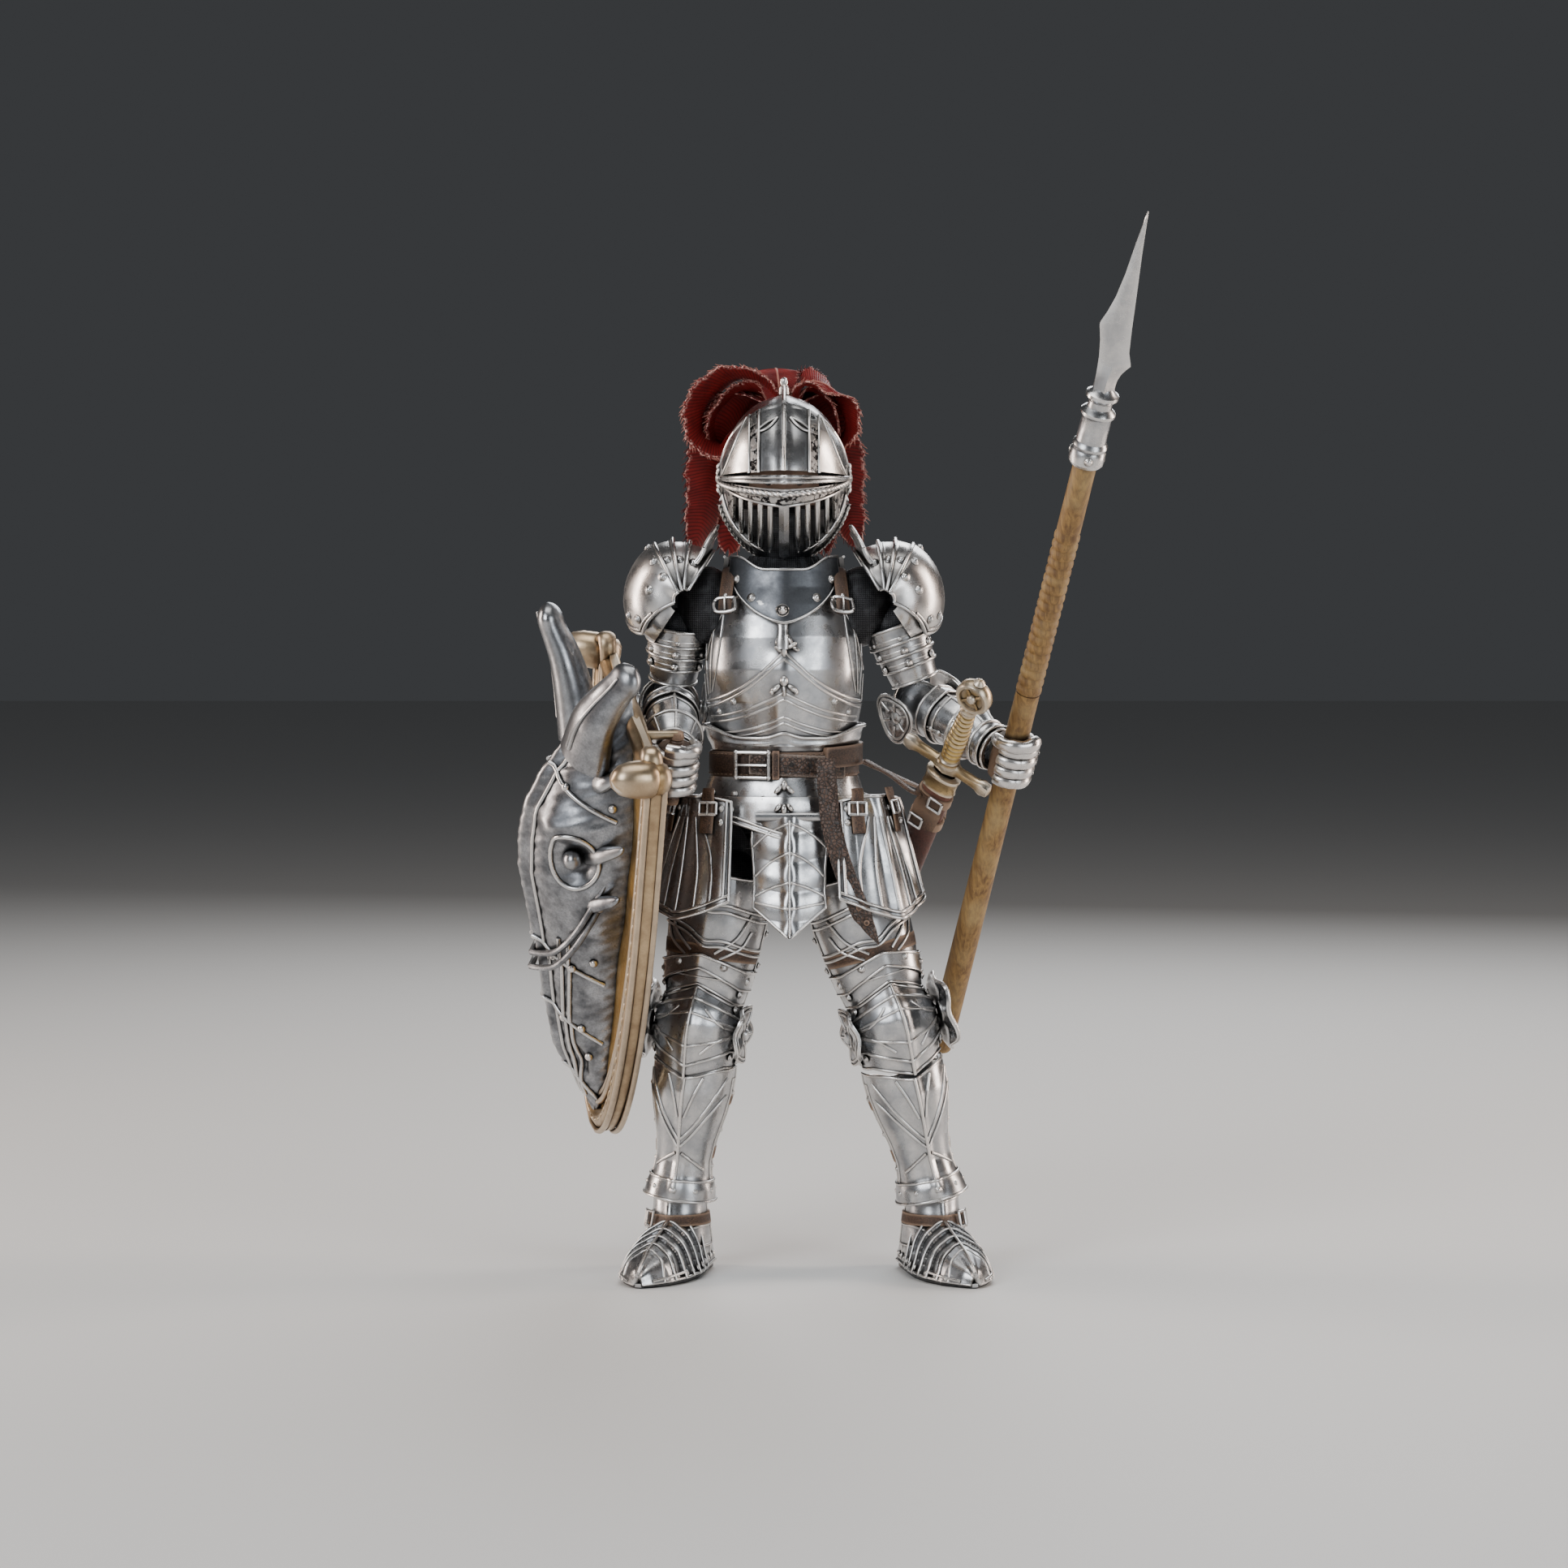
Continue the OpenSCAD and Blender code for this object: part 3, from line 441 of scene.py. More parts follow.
def grow(kind, name, body, material, chains, values, slot="steel", replaces=()):
    if kind not in trees:
        maker = {"rivets": rivetTree, "mouldings": mouldingTree, "stitches": stitchTree, "rings": ringTree,
            "barbs": barbTree}
        maker[kind]()
        trees[kind] = bpy.data.node_groups[kind]
    tree = trees[kind]
    points, edges, aims, sizes = [], [], [], []
    for chain in chains:
        p, n = np.asarray(chain[0], float), np.asarray(chain[1], float)
        if kind not in ("rivets", "rings"):
            edges += [(len(points) + i, len(points) + i + 1) for i in range(len(p) - 1)]
        points += list(p)
        aims += list(np.broadcast_to(n, p.shape))
        sizes += list(np.broadcast_to(chain[2] if len(chain) > 2 else 1.0, (len(p),)))
    mesh = bpy.data.meshes.new(name + "Source")
    mesh.from_pydata((np.array(points) * 0.001).tolist(), edges, [])
    mesh.attributes.new("aim", "FLOAT_VECTOR", "POINT").data.foreach_set("vector", np.array(aims, np.float32).ravel())
    mesh.attributes.new("size", "FLOAT", "POINT").data.foreach_set("value", np.array(sizes, np.float32))
    source = bpy.data.objects.new(name + "Source", mesh)
    scene.collection.objects.link(source)
    nodes = source.modifiers.new(kind, "NODES")
    nodes.node_group = tree
    sockets = {s.name: s.identifier for s in tree.interface.items_tree if s.in_out == "INPUT"}
    for label, value in dict(values, Material=material).items():
        nodes[sockets[label]] = value
    bpy.context.view_layer.update()
    shape = bpy.data.meshes.new_from_object(source.evaluated_get(bpy.context.evaluated_depsgraph_get()))
    shape.name = name
    source.modifiers.remove(nodes)
    bpy.data.objects.remove(source)
    bpy.data.meshes.remove(mesh)
    return settle(name, shape, body, slot, replaces)


def layBeads(name, body, chains, width, height, finish=None, slot="steel", sides=8):
    size = {"Width": width / 1000, "Height": height / 1000, "Sides": sides}
    return grow("mouldings", name, body, finish or paleSteel, chains, size, slot)


def layRope(name, body, chains, size, groove, twist):
    strands = {"Width": size / 1000, "Height": size / 1000, "Strands": 3.0, "Groove": groove, "Twist": twist,
        "Sides": 12}
    return grow("mouldings", name, body, paleSteel, chains, strands)


def layStuds(name, body, chains, radius, dome, finish=None, slot="steel", washer=1.35):
    size = {"Radius": radius / 1000, "Dome": dome / 1000, "Washer": washer}
    return grow("rivets", name, body, finish or paleSteel, chains, size, slot)


# materials

def newGroup(name, inputs, outputs):
    tree = bpy.data.node_groups.new(name, "ShaderNodeTree")
    nameInputs(tree, inputs)
    for label, kind in outputs:
        tree.interface.new_socket(label, in_out="OUTPUT", socket_type="NodeSocket" + kind)
    source = tree.nodes.new("NodeGroupInput").outputs
    target = tree.nodes.new("NodeGroupOutput").inputs
    return tree, source, target, adderFor(tree)


def blendOf(add, amount, a, b):
    return add("ShaderNodeMix", {0: amount, 6: a, 7: b}, out=2, data_type="RGBA")


def rangeOf(add, value, low, high, start=0.0, end=1.0):
    return add("ShaderNodeMapRange", {0: value, 1: low, 2: high, 3: start, 4: end})


def agedMetalGroup():
    tree, source, target, add = newGroup("agedMetal", [
        ("Place", "Vector", None), ("Bright", "Color", (0.62, 0.62, 0.63, 1)),
        ("Dull", "Color", (0.3, 0.31, 0.33, 1)),
        ("Wash", "Color", (0.02, 0.017, 0.015, 1)), ("Wash Depth", "Float", 1.0), ("Smooth", "Float", 0.22),
        ("Rough", "Float", 0.45), ("Pitting", "Float", 0.5)],
        [("Color", "Color"), ("Roughness", "Float"), ("Height", "Float")])
    cloud = add("ShaderNodeTexNoise", {"Vector": source["Place"], "Scale": 260.0, "Detail": 5.0, "Roughness": 0.6})
    speck = add("ShaderNodeTexNoise", {"Vector": source["Place"], "Scale": 2600.0, "Detail": 3.0, "Roughness": 0.7})
    patch = rangeOf(add, cloud, 0.36, 0.68)
    fleck = rangeOf(add, speck, 0.4, 0.72)
    tone = blendOf(add, patch, source["Bright"], source["Dull"])
    tone = blendOf(add, times(add, fleck, source["Pitting"]), tone, source["Dull"])
    near = add("ShaderNodeAmbientOcclusion", {"Distance": 0.0011}, out=1, samples=6)
    hollow = rangeOf(add, near, 0.9, 0.45)
    hollow = add("ShaderNodeMath", {0: hollow, 1: source["Wash Depth"]}, operation="MULTIPLY", use_clamp=True)
    raised = rangeOf(add, add("ShaderNodeNewGeometry", out=7), 0.515, 0.6)
    tone = blendOf(add, raised, tone, blendOf(add, 0.55, source["Bright"], (0.95, 0.93, 0.9, 1)))
    tone = blendOf(add, hollow, tone, source["Wash"])
    tree.links.new(tone, target["Color"])
    gloss = add("ShaderNodeMix", {0: patch, 2: source["Smooth"], 3: source["Rough"]}, data_type="FLOAT")
    gloss = add("ShaderNodeMath", {0: gloss, 1: times(add, hollow, 0.3)},
                operation="ADD", use_clamp=True)
    tree.links.new(gloss, target["Roughness"])
    tree.links.new(times(add, speck, source["Pitting"]), target["Height"])
    return tree


def newMaterial(name):
    material = bpy.data.materials.new(name)
    material.use_nodes = True
    tree = material.node_tree
    shader = tree.nodes["Principled BSDF"]
    add = adderFor(tree)
    place = add("ShaderNodeTexCoord", out=3)
    return material, tree, shader, add, place


def hollowMask(add, reach=0.0012, low=0.4):
    return rangeOf(add, add("ShaderNodeAmbientOcclusion", {"Distance": reach}, out=1, samples=6), 0.9, low)


def cloudRough(add, field, look, low, high):
    return rangeOf(add, field, low, high, look["smooth"], look["rough"])


def dress(tree, add, shader, tone, rough, height, strength, depth):
    tree.links.new(tone, shader.inputs["Base Color"])
    tree.links.new(rough, shader.inputs["Roughness"])
    bumps = add("ShaderNodeBump", {"Strength": strength, "Distance": depth, "Height": height})
    tree.links.new(bumps, shader.inputs["Normal"])


def metalFinish(name, look, engraved=None):
    material, tree, shader, add, place = newMaterial(name)
    group = tree.nodes.new("ShaderNodeGroup")
    group.node_tree = bpy.data.node_groups.get("agedMetal") or agedMetalGroup()
    tree.links.new(place, group.inputs["Place"])
    for label in ("Bright", "Dull", "Wash"):
        group.inputs[label].default_value = (*look[label], 1)
    for label in ("Smooth", "Rough", "Pitting"):
        group.inputs[label].default_value = look[label]
    color, rough, height = group.outputs["Color"], group.outputs["Roughness"], group.outputs["Height"]
    depth = 0.00004
    if engraved:
        scroll = add("ShaderNodeTexVoronoi", {"Vector": place, "Scale": engraved}, feature="SMOOTH_F1")
        warp = add("ShaderNodeTexNoise", {"Vector": place, "Scale": engraved * 1.7, "Detail": 2.0, "Distortion": 1.4})
        cut = rangeOf(add, times(add, scroll, warp), 0.2, 0.27)
        color = blendOf(add, cut, color, (0.012, 0.011, 0.012, 1))
        height = add("ShaderNodeMath", {0: height, 1: times(add, cut, -2.5)}, operation="ADD")
        depth = 0.00007
    dress(tree, add, shader, color, rough, height, 0.35, depth)
    shader.inputs["Metallic"].default_value = look.get("Metallic", 1.0)
    return material


def hideFinish(name, look):
    material, tree, shader, add, place = newMaterial(name)
    cells = add("ShaderNodeTexVoronoi", {"Vector": place, "Scale": look["pebble"]}, feature="DISTANCE_TO_EDGE")
    crease = add("ShaderNodeTexNoise", {"Vector": place, "Scale": 420.0, "Detail": 6.0, "Roughness": 0.65})
    skin = rangeOf(add, cells, 0.0, 0.22)
    tone = blendOf(add, rangeOf(add, crease, 0.35, 0.7), (*look["dark"], 1), (*look["light"], 1))
    tone = blendOf(add, skin, (*look["crack"], 1), tone)
    tone = blendOf(add, hollowMask(add), tone, (*look["crack"], 1))
    worn = rangeOf(add, add("ShaderNodeNewGeometry", out=7), 0.52, 0.62)
    tone = blendOf(add, worn, tone, (*look["worn"], 1))
    height = add("ShaderNodeMath", {0: skin, 1: times(add, crease, 0.8)}, operation="ADD")
    dress(tree, add, shader, tone, cloudRough(add, crease, look, 0.3, 0.75), height, look["bump"], 0.00009)
    shader.inputs["Specular IOR Level"].default_value = 0.45
    return material


def clothFinish(name, look):
    material, tree, shader, add, place = newMaterial(name)
    waves = [add("ShaderNodeTexWave", {"Vector": place, "Scale": look["weave"], "Distortion": 1.2, "Detail": 1.0},
        out=1,
                 bands_direction=axis) for axis in ("X", "Z")]
    weave = times(add, waves[0], waves[1])
    dust = add("ShaderNodeTexNoise", {"Vector": place, "Scale": 500.0, "Detail": 4.0})
    tone = blendOf(add, weave, (*look["dark"], 1), (*look["light"], 1))
    tone = blendOf(add, rangeOf(add, dust, 0.5, 0.75, 0.0, 0.4), tone, (*look["worn"], 1))
    dress(tree, add, shader, tone, cloudRough(add, dust, look, 0.3, 0.7), weave, 0.6, 0.00012)
    shader.inputs["Metallic"].default_value = look.get("Metallic", 0.0)
    return material


def woodFinish(name, look):
    material, tree, shader, add, place = newMaterial(name)
    turn = add("ShaderNodeMapping", {0: place, "Rotation": look["turn"], "Scale": (1.0, 1.0, 0.06)})
    grain = add("ShaderNodeTexNoise", {"Vector": turn, "Scale": 1500.0, "Detail": 6.0, "Roughness": 0.62,
        "Distortion": 0.6})
    streak = rangeOf(add, grain, 0.36, 0.66)
    patch = add("ShaderNodeTexNoise", {"Vector": place, "Scale": 150.0, "Detail": 3.0})
    tone = blendOf(add, streak, (*look["dark"], 1), (*look["light"], 1))
    tone = blendOf(add, rangeOf(add, patch, 0.45, 0.75, 0.0, 0.6), tone, (*look["worn"], 1))
    tone = blendOf(add, hollowMask(add), tone, (*look["crack"], 1))
    dress(tree, add, shader, tone, cloudRough(add, grain, look, 0.3, 0.7), grain, 0.5, 0.00008)
    return material


def featherFinish(name, look):
    material, tree, shader, add, place = newMaterial(name)
    barbs = add("ShaderNodeAttribute", out=2, attribute_name="barb")
    tip = add("ShaderNodeAttribute", out=2, attribute_name="tip")
    cloud = add("ShaderNodeTexNoise", {"Vector": place, "Scale": 300.0, "Detail": 4.0})
    fine = add("ShaderNodeTexNoise", {"Vector": place, "Scale": 2400.0, "Detail": 2.0})
    tone = blendOf(add, rangeOf(add, cloud, 0.3, 0.7), (*look["dark"], 1), (*look["light"], 1))
    tone = blendOf(add, rangeOf(add, barbs, 0.55, 0.0, 0.0, 0.75), tone, (*look["deep"], 1))
    tone = blendOf(add, add("ShaderNodeMath", {0: rangeOf(add, tip, 0.2, 1.0), 1: rangeOf(add, fine, 0.45, 0.6)},
                            operation="MULTIPLY"), tone, (*look["pale"], 1))
    dress(tree, add, shader, tone, rangeOf(add, fine, 0.3, 0.7, 0.45, 0.65), barbs, 0.4, 0.0001)
    shader.inputs["Specular IOR Level"].default_value = 0.35
    return material


steel = metalFinish("polishedSteel", {
    "Bright": (0.66, 0.655, 0.65), "Dull": (0.4, 0.41, 0.43), "Wash": (0.022, 0.018, 0.016),
    "Smooth": 0.2, "Rough": 0.36, "Pitting": 0.25})
paleSteel = metalFinish("brightSteel", {
    "Bright": (0.78, 0.745, 0.72), "Dull": (0.6, 0.59, 0.58), "Wash": (0.03, 0.025, 0.02),
    "Smooth": 0.22, "Rough": 0.36, "Pitting": 0.2})
darkSteel = metalFinish("blackenedSteel", {
    "Bright": (0.2, 0.21, 0.225), "Dull": (0.1, 0.105, 0.115), "Wash": (0.01, 0.01, 0.01),
    "Smooth": 0.3, "Rough": 0.5, "Pitting": 0.6})
etchedSteel = metalFinish("etchedSteel", {
    "Bright": (0.6, 0.58, 0.56), "Dull": (0.34, 0.34, 0.34), "Wash": (0.02, 0.018, 0.016),
    "Smooth": 0.25, "Rough": 0.4, "Pitting": 0.3}, engraved=1050.0)
gunmetal = metalFinish("gunmetal", {
    "Bright": (0.42, 0.43, 0.45), "Dull": (0.12, 0.125, 0.135), "Wash": (0.012, 0.012, 0.012),
    "Smooth": 0.26, "Rough": 0.44, "Pitting": 0.5})
gilt = metalFinish("oldGilt", {
    "Bright": (0.62, 0.43, 0.15), "Dull": (0.32, 0.2, 0.06), "Wash": (0.035, 0.02, 0.008),
    "Smooth": 0.28, "Rough": 0.48, "Pitting": 0.45})
bronze = metalFinish("bronze", {
    "Bright": (0.55, 0.4, 0.2), "Dull": (0.26, 0.17, 0.08), "Wash": (0.02, 0.014, 0.008),
    "Smooth": 0.25, "Rough": 0.45, "Pitting": 0.4})
beltHide = hideFinish("beltLeather", {
    "pebble": 2600.0, "dark": (0.05, 0.026, 0.016), "light": (0.12, 0.062, 0.038), "crack": (0.012, 0.007, 0.005),
    "worn": (0.3, 0.19, 0.13), "smooth": 0.38, "rough": 0.62, "bump": 0.35})
pebbleHide = hideFinish("pebbledLeather", {
    "pebble": 1500.0, "dark": (0.06, 0.034, 0.024), "light": (0.15, 0.09, 0.065), "crack": (0.008, 0.006, 0.005),
    "worn": (0.42, 0.33, 0.27), "smooth": 0.28, "rough": 0.5, "bump": 0.9})
strapHide = hideFinish("strapLeather", {
    "pebble": 3200.0, "dark": (0.085, 0.043, 0.024), "light": (0.19, 0.1, 0.058), "crack": (0.02, 0.011, 0.007),
    "worn": (0.4, 0.26, 0.17), "smooth": 0.4, "rough": 0.65, "bump": 0.3})
mailCloth = clothFinish("darkMail", {
    "weave": 900.0, "dark": (0.006, 0.006, 0.007), "light": (0.09, 0.092, 0.1), "worn": (0.16, 0.165, 0.175),
    "smooth": 0.35, "rough": 0.55, "Metallic": 0.6})
# dark quilted cloth; also laid as painted shade in the breath slots, the belt holes and inside the helmet
darkPadAndShade = clothFinish("quiltedCloth", {
    "weave": 1400.0, "dark": (0.012, 0.01, 0.01), "light": (0.05, 0.044, 0.04), "worn": (0.09, 0.08, 0.07),
    "smooth": 0.7, "rough": 0.9})
skinPaint = clothFinish("skinPaint", {
    "weave": 2500.0, "dark": (0.5, 0.32, 0.23), "light": (0.58, 0.38, 0.28), "worn": (0.62, 0.36, 0.28),
    "smooth": 0.45, "rough": 0.6})
plumeDye = featherFinish("plumeDye", {
    "dark": (0.13, 0.006, 0.006), "light": (0.27, 0.014, 0.012), "deep": (0.025, 0.0015, 0.0015),
    "pale": (0.75, 0.42, 0.36)})
quillDye = featherFinish("quillDye", {
    "dark": (0.55, 0.27, 0.2), "light": (0.75, 0.5, 0.4), "deep": (0.3, 0.08, 0.06), "pale": (0.85, 0.6, 0.5)})
print("materials built")


# camera, light and floor

studio = {"eye": (0.0, -0.8988, 0.1377), "look": (0.0, 0.0, 0.0906), "lens": 111.8,
          "room": (0.045, 0.047, 0.05), "floor": (0.72, 0.71, 0.69)}


def aimAt(thing, spot):
    thing.rotation_euler = (Vector(spot) - thing.location).to_track_quat("-Z", "Y").to_euler()


lens = bpy.data.cameras.new("camera")
lens.lens = studio["lens"]
lens.sensor_width = 36
lens.clip_start = 0.01
camera = bpy.data.objects.new("camera", lens)
camera.location = studio["eye"]
aimAt(camera, studio["look"])
scene.collection.objects.link(camera)
scene.camera = camera
lamps = [("key", (-0.42, -0.62, 0.42), (0.34, 0.42), 3.4, (0.93, 0.96, 1.0)),
         ("fill", (0.5, -0.6, 0.25), (0.3, 0.4), 1.7, (0.9, 0.95, 1.0)),
         ("top", (0.0, -0.12, 0.7), (0.5, 0.35), 1.8, (1.0, 0.99, 0.97)),
         ("warmLeft", (-0.6, 0.12, 0.2), (0.16, 0.5), 3.0, (1.0, 0.84, 0.74)),
         ("warmRight", (0.6, 0.12, 0.2), (0.16, 0.5), 3.0, (1.0, 0.84, 0.74)),
         ("back", (0.15, 0.6, 0.45), (0.5, 0.3), 2.6, (0.95, 0.97, 1.0))]
for label, spot, size, power, tint in lamps:
    data = bpy.data.lights.new(label, "AREA")
    data.shape = "RECTANGLE"
    data.size, data.size_y = size
    data.energy = power
    data.color = tint
    lamp = bpy.data.objects.new(label, data)
    lamp.location = spot
    aimAt(lamp, (0, 0, 0.09))
    scene.collection.objects.link(lamp)
world = bpy.data.worlds.new("studio")
world.use_nodes = True
world.node_tree.nodes["Background"].inputs[0].default_value = (*studio["room"], 1)
scene.world = world
floorMesh = bpy.data.meshes.new("floor")
floorMesh.from_pydata([(-3, -3, 0), (3, -3, 0), (3, 3, 0), (-3, 3, 0)], [], [(0, 1, 2, 3)])
floor = bpy.data.objects.new("floor", floorMesh)
scene.collection.objects.link(floor)
paint, _, shader, _, _ = newMaterial("floorPaint")
shader.inputs["Base Color"].default_value = (*studio["floor"], 1)
shader.inputs["Roughness"].default_value = 0.6
floorMesh.materials.append(paint)
print("camera, lights and floor set")


# close helmet: skull, visor, face grille, head, neck

helm = {"pivot": joints["visor_lift"], "radius": 15.35, "half": 11.9, "ridge": 0.55, "prow": 1.5,
        "bars": (-7.9, -6.15, -4.35, -2.5, 0.0, 2.5, 4.35, 6.15, 7.9), "comb": 1.7}


def helmSurf(grown=0.0, narrowed=0.0):
    r, half = helm["radius"] + grown, helm["half"] + narrowed

    def surf(u, e):
        x = half * np.sin(u * np.pi / 2)
        a = np.radians(e)
        reach = r * np.cos(u * np.pi / 2)
        reach = reach + helm["ridge"] * bump(x, 0.9) * smooth((200 - e) / 30)
        reach = reach + helm["prow"] * bump(e + 6, 26) * bump(x, 4.6)
        reach = reach + 0.8 * bump(e - 235, 26) * np.cos(u * np.pi / 2)
        return np.stack([x, -reach * np.cos(a), reach * np.sin(a)], -1) + helm["pivot"]
    return surf


def acrossAt(x, grown=0.0, narrowed=0.0):
    return np.arcsin(np.clip(np.asarray(x, float) / (helm["half"] + narrowed), -1, 1)) / (np.pi / 2)


skull = helmSurf(-0.3, -0.35)
core = helm["pivot"]
parts = [sheet(skull, span(-0.985, 0.985, 73), span(54, 238, 70), 0.7, core=core)]
hood = helmSurf(0.35, 0.1)
for low, high in ((196, 214), (212, 232), (229, 246)):  # lames down the nape
    parts.append(sheet(hood, span(-0.8, 0.8, 49), span(low, high, 9), 0.5, core=core,
                       relief=lambda u, e, low=low, high=high: 0.12 + 0.5 * smooth((e - low) / (high - low))))
e = span(56, 196, 60)
comb = skull(np.zeros(60), e)
aims = comb - core
aims /= np.linalg.norm(aims, axis=1, keepdims=True)
rise = helm["comb"] * np.sin(np.radians((e - 50) / 150 * 180)) ** 0.5
parts.append(tube(comb + aims * rise[:, None] * 0.35, np.full(60, 0.42), 10, 3.4, aims))
make("helmet_skull_plates", "head", steel, parts, replaces=["helmet_skull"])
knob = placed(skull(np.zeros(1), np.array([84.0]))[0] + [0, 0, 0.2], up=(0, -0.1, 1))
make("comb_knob", "head", paleSteel, [lathe([(1.0, -0.3), (0.95, 0.8), (0.62, 1.3), (0.78, 1.9), (0.6, 2.5),
    (0.05, 2.75)], knob, 24)])
edge = [onSurface(hood, [(u, 245) for u in span(-0.8, 0.8, 60)], 0.55, core),
        onSurface(skull, [(u, 150) for u in span(-0.5, 0.5, 40)], 0.05, core),
        onSurface(skull, [(u, 156) for u in span(-0.5, 0.5, 40)], 0.05, core)]
layRope("skull_roped_edges", "head", edge, 0.42, 0.22, 1900.0)
dots = [onSurface(hood, [(u, e) for e in (203, 221, 238) for u in (-0.74, -0.55, 0.55, 0.74)], 0.5, core)]
layStuds("skull_rivets", "head", dots, 0.42, 0.3)
print("helmet skull made")

# visor: strips with open slits between them, panels and bands laid on
visor = helmSurf(0.0, 0.0)
strips = [sheet(visor, span(-0.95, 0.95, 77), span(4.4, 61, 34), 0.55, core=core,
                relief=lambda u, e: 0.25 * bump(e - 60, 1.6)),
          sheet(visor, span(-0.9, 0.9, 65), span(-10.4, -7.4, 6), 0.6, core=core)]
for side in (-1, 1):  # cheek pieces that hold the strips together
    low, high = sorted((side * 0.835, side * 0.965))
    strips.append(sheet(visor, span(low, high, 8), span(-10.4, 20, 18), 0.75, core=core))
roll = [onSurface(visor, [(u, e) for u in span(-0.9, 0.9, 90)], 0.0, core) for e in (-3.0, 0.2)]
strips += [tube(p, 0.38, 10, 0.9, n) for p, n in roll]
strips.append(sheet(visor, span(-0.9, 0.9, 65), span(-3.6, 0.6, 5), 0.6, core=core))
make("visor_plates", "visor", steel, strips, replaces=["visor"])
band = []
for side in (-1, 1):
    inner, outer = acrossAt(side * 4.55), acrossAt(side * 6.1)
    band.append(sheet(visor, span(*sorted((float(inner), float(outer))), 7), span(3.6, 59, 40), 0.3, core=core,
                      relief=lambda u, e: 0.28 + 0 * u))
make("visor_etched_bands", "visor", etchedSteel, band)
panel = []
for side in (-1, 1):
    def cheek(u, v, side=side):  # a three-cornered polished panel beside each band
        top = 56 - 50 * u ** 1.1
        x = side * (6.45 + 4.55 * u)
        return visor(acrossAt(x), 4.6 + (np.maximum(top, 6.5) - 4.6) * v)
    panel.append(sheet(cheek, span(0, 1, 26), span(0, 1, 22), 0.3, core=core, relief=lambda u, v: 0.34 + 0 * u))
make("visor_cheek_panels", "visor", paleSteel, panel)
lines = []
for side in (-1, 1):
    for x in (4.45, 6.2):
        lines.append(onSurface(visor, [(acrossAt(side * x), e) for e in span(3.5, 59, 40)], 0.3, core))
    diagonal = [(acrossAt(side * (6.6 + 4.4 * t)), 57.5 - 50.5 * t ** 1.1) for t in span(0, 1, 40)]
    lines.append(onSurface(visor, diagonal, 0.36, core))
    for lift, bow in ((1.4, 0.9), (-1.5, 2.6)):  # lips of the breath slots
        arc = [(acrossAt(side * (1.1 + 4.0 * t)), 44.5 - 8.5 * t + lift * math.sin(math.pi * t) * bow)
            for t in span(0, 1, 24)]
        lines.append(onSurface(visor, arc, 0.22, core))
lines.append(onSurface(visor, [(0, e) for e in span(4, 63, 50)], 0.12, core))
layBeads("visor_raised_lines", "visor", lines, 0.26, 0.22)
# painted shade: dark patches laid on the closed visor stand in for the shade inside the breath slots, which are not
# cut open
slot = []
for side in (-1, 1):
    def breath(u, v, side=side):
        x = side * (1.25 + 3.75 * u)
        half = 1.9 * np.sin(np.pi * np.clip(u, 0.02, 0.98)) ** 0.6
        return visor(acrossAt(x), 43.9 - 8.3 * u + half * (v - 0.5) * 1.7)
    slot.append(sheet(breath, span(0, 1, 18), span(0, 1, 6), 0.2, core=core, relief=lambda u, v: 0.04 + 0 * u))
make("visor_breath_slots", "visor", darkPadAndShade, slot)
half = [(0.0, -10.5), (0.3, -10.6), (0.6, -10.9), (0.84, -10.9), (0.915, -8.6), (0.95, -2), (0.955, 10),
    (0.955, 30), (0.945, 52)]
path = smoothPath([(-u, e, 0) for u, e in half[:0:-1]] + [(u, e, 0) for u, e in half], 300)
rope = [onSurface(visor, path[:, :2], 0.12, core)]
layRope("visor_roped_edge", "visor", rope, 0.5, 0.2, 1700.0)
for side, label in ((-1, "right"), (1, "left")):  # pivot rosettes
    seat = placed(core + [side * (helm["half"] - 0.75), 0, 0], (0, 1, 0), (side, 0, 0))
    flower = [lathe([(2.9, -0.6), (2.95, 0.45), (2.2, 0.6), (1.2, 0.62), (1.1, 1.05), (0.5, 1.45), (0.03, 1.5)],
        seat, 32)]
    for k in range(10):
        a = k * math.pi / 5
        flower.append(blob((2.2 * math.cos(a), 2.2 * math.sin(a), 0.75), (0.72, 0.5, 0.55), 1, seat, 10, 7,
                           turned((0, 0, 0), z=math.degrees(a))))
    make(label + "_visor_rosette", "visor", paleSteel, flower)

# face grille
grille = helmSurf(-0.75, -0.55)
frames = [sheet(grille, span(-0.9, 0.9, 65), span(-82, -70, 9), 0.55, core=core),
          sheet(grille, span(-0.93, 0.93, 65), span(-19, -9.0, 8), 0.55, core=core)]
for side in (-1, 1):
    low, high = sorted((side * float(acrossAt(9.3, narrowed=-0.55)), side * 0.93))
    frames.append(sheet(grille, span(low, high, 7), span(-82, -9, 36), 0.55, core=core))
make("grille_frame", "face_grille", steel, frames, replaces=["face_grille"])
bars = [onSurface(grille, [(acrossAt(x, narrowed=-0.55), e) for e in span(-71.5, -17.5, 36)], -0.1, core)
    for x in helm["bars"]]
layBeads("grille_bars", "face_grille", [b for b, x in zip(bars, helm["bars"]) if x], 0.54, 0.45, steel, sides=6)
centre = [tube(bars[4][0], 1.05, 6, 0.75, bars[4][1])]
make("grille_centre_bar", "face_grille", steel, centre, sharp=25)
trim = [sheet(grille, span(-0.86, 0.86, 65), span(-77.5, -71.5, 6), 0.25, core=core, relief=lambda u, e: 0.2 + 0 * u),
        sheet(grille, span(-0.88, 0.88, 65), span(-18, -12.6, 6), 0.25, core=core, relief=lambda u, e: 0.2 + 0 * u)]
for side in (-1, 1):
    ends = sorted((side * float(acrossAt(9.2, narrowed=-0.55)), side * float(acrossAt(10.1, narrowed=-0.55))))
    trim.append(sheet(grille, span(*ends, 5), span(-72, -18, 30), 0.25, core=core, relief=lambda u, e: 0.2 + 0 * u))
make("grille_etched_border", "face_grille", etchedSteel, trim)
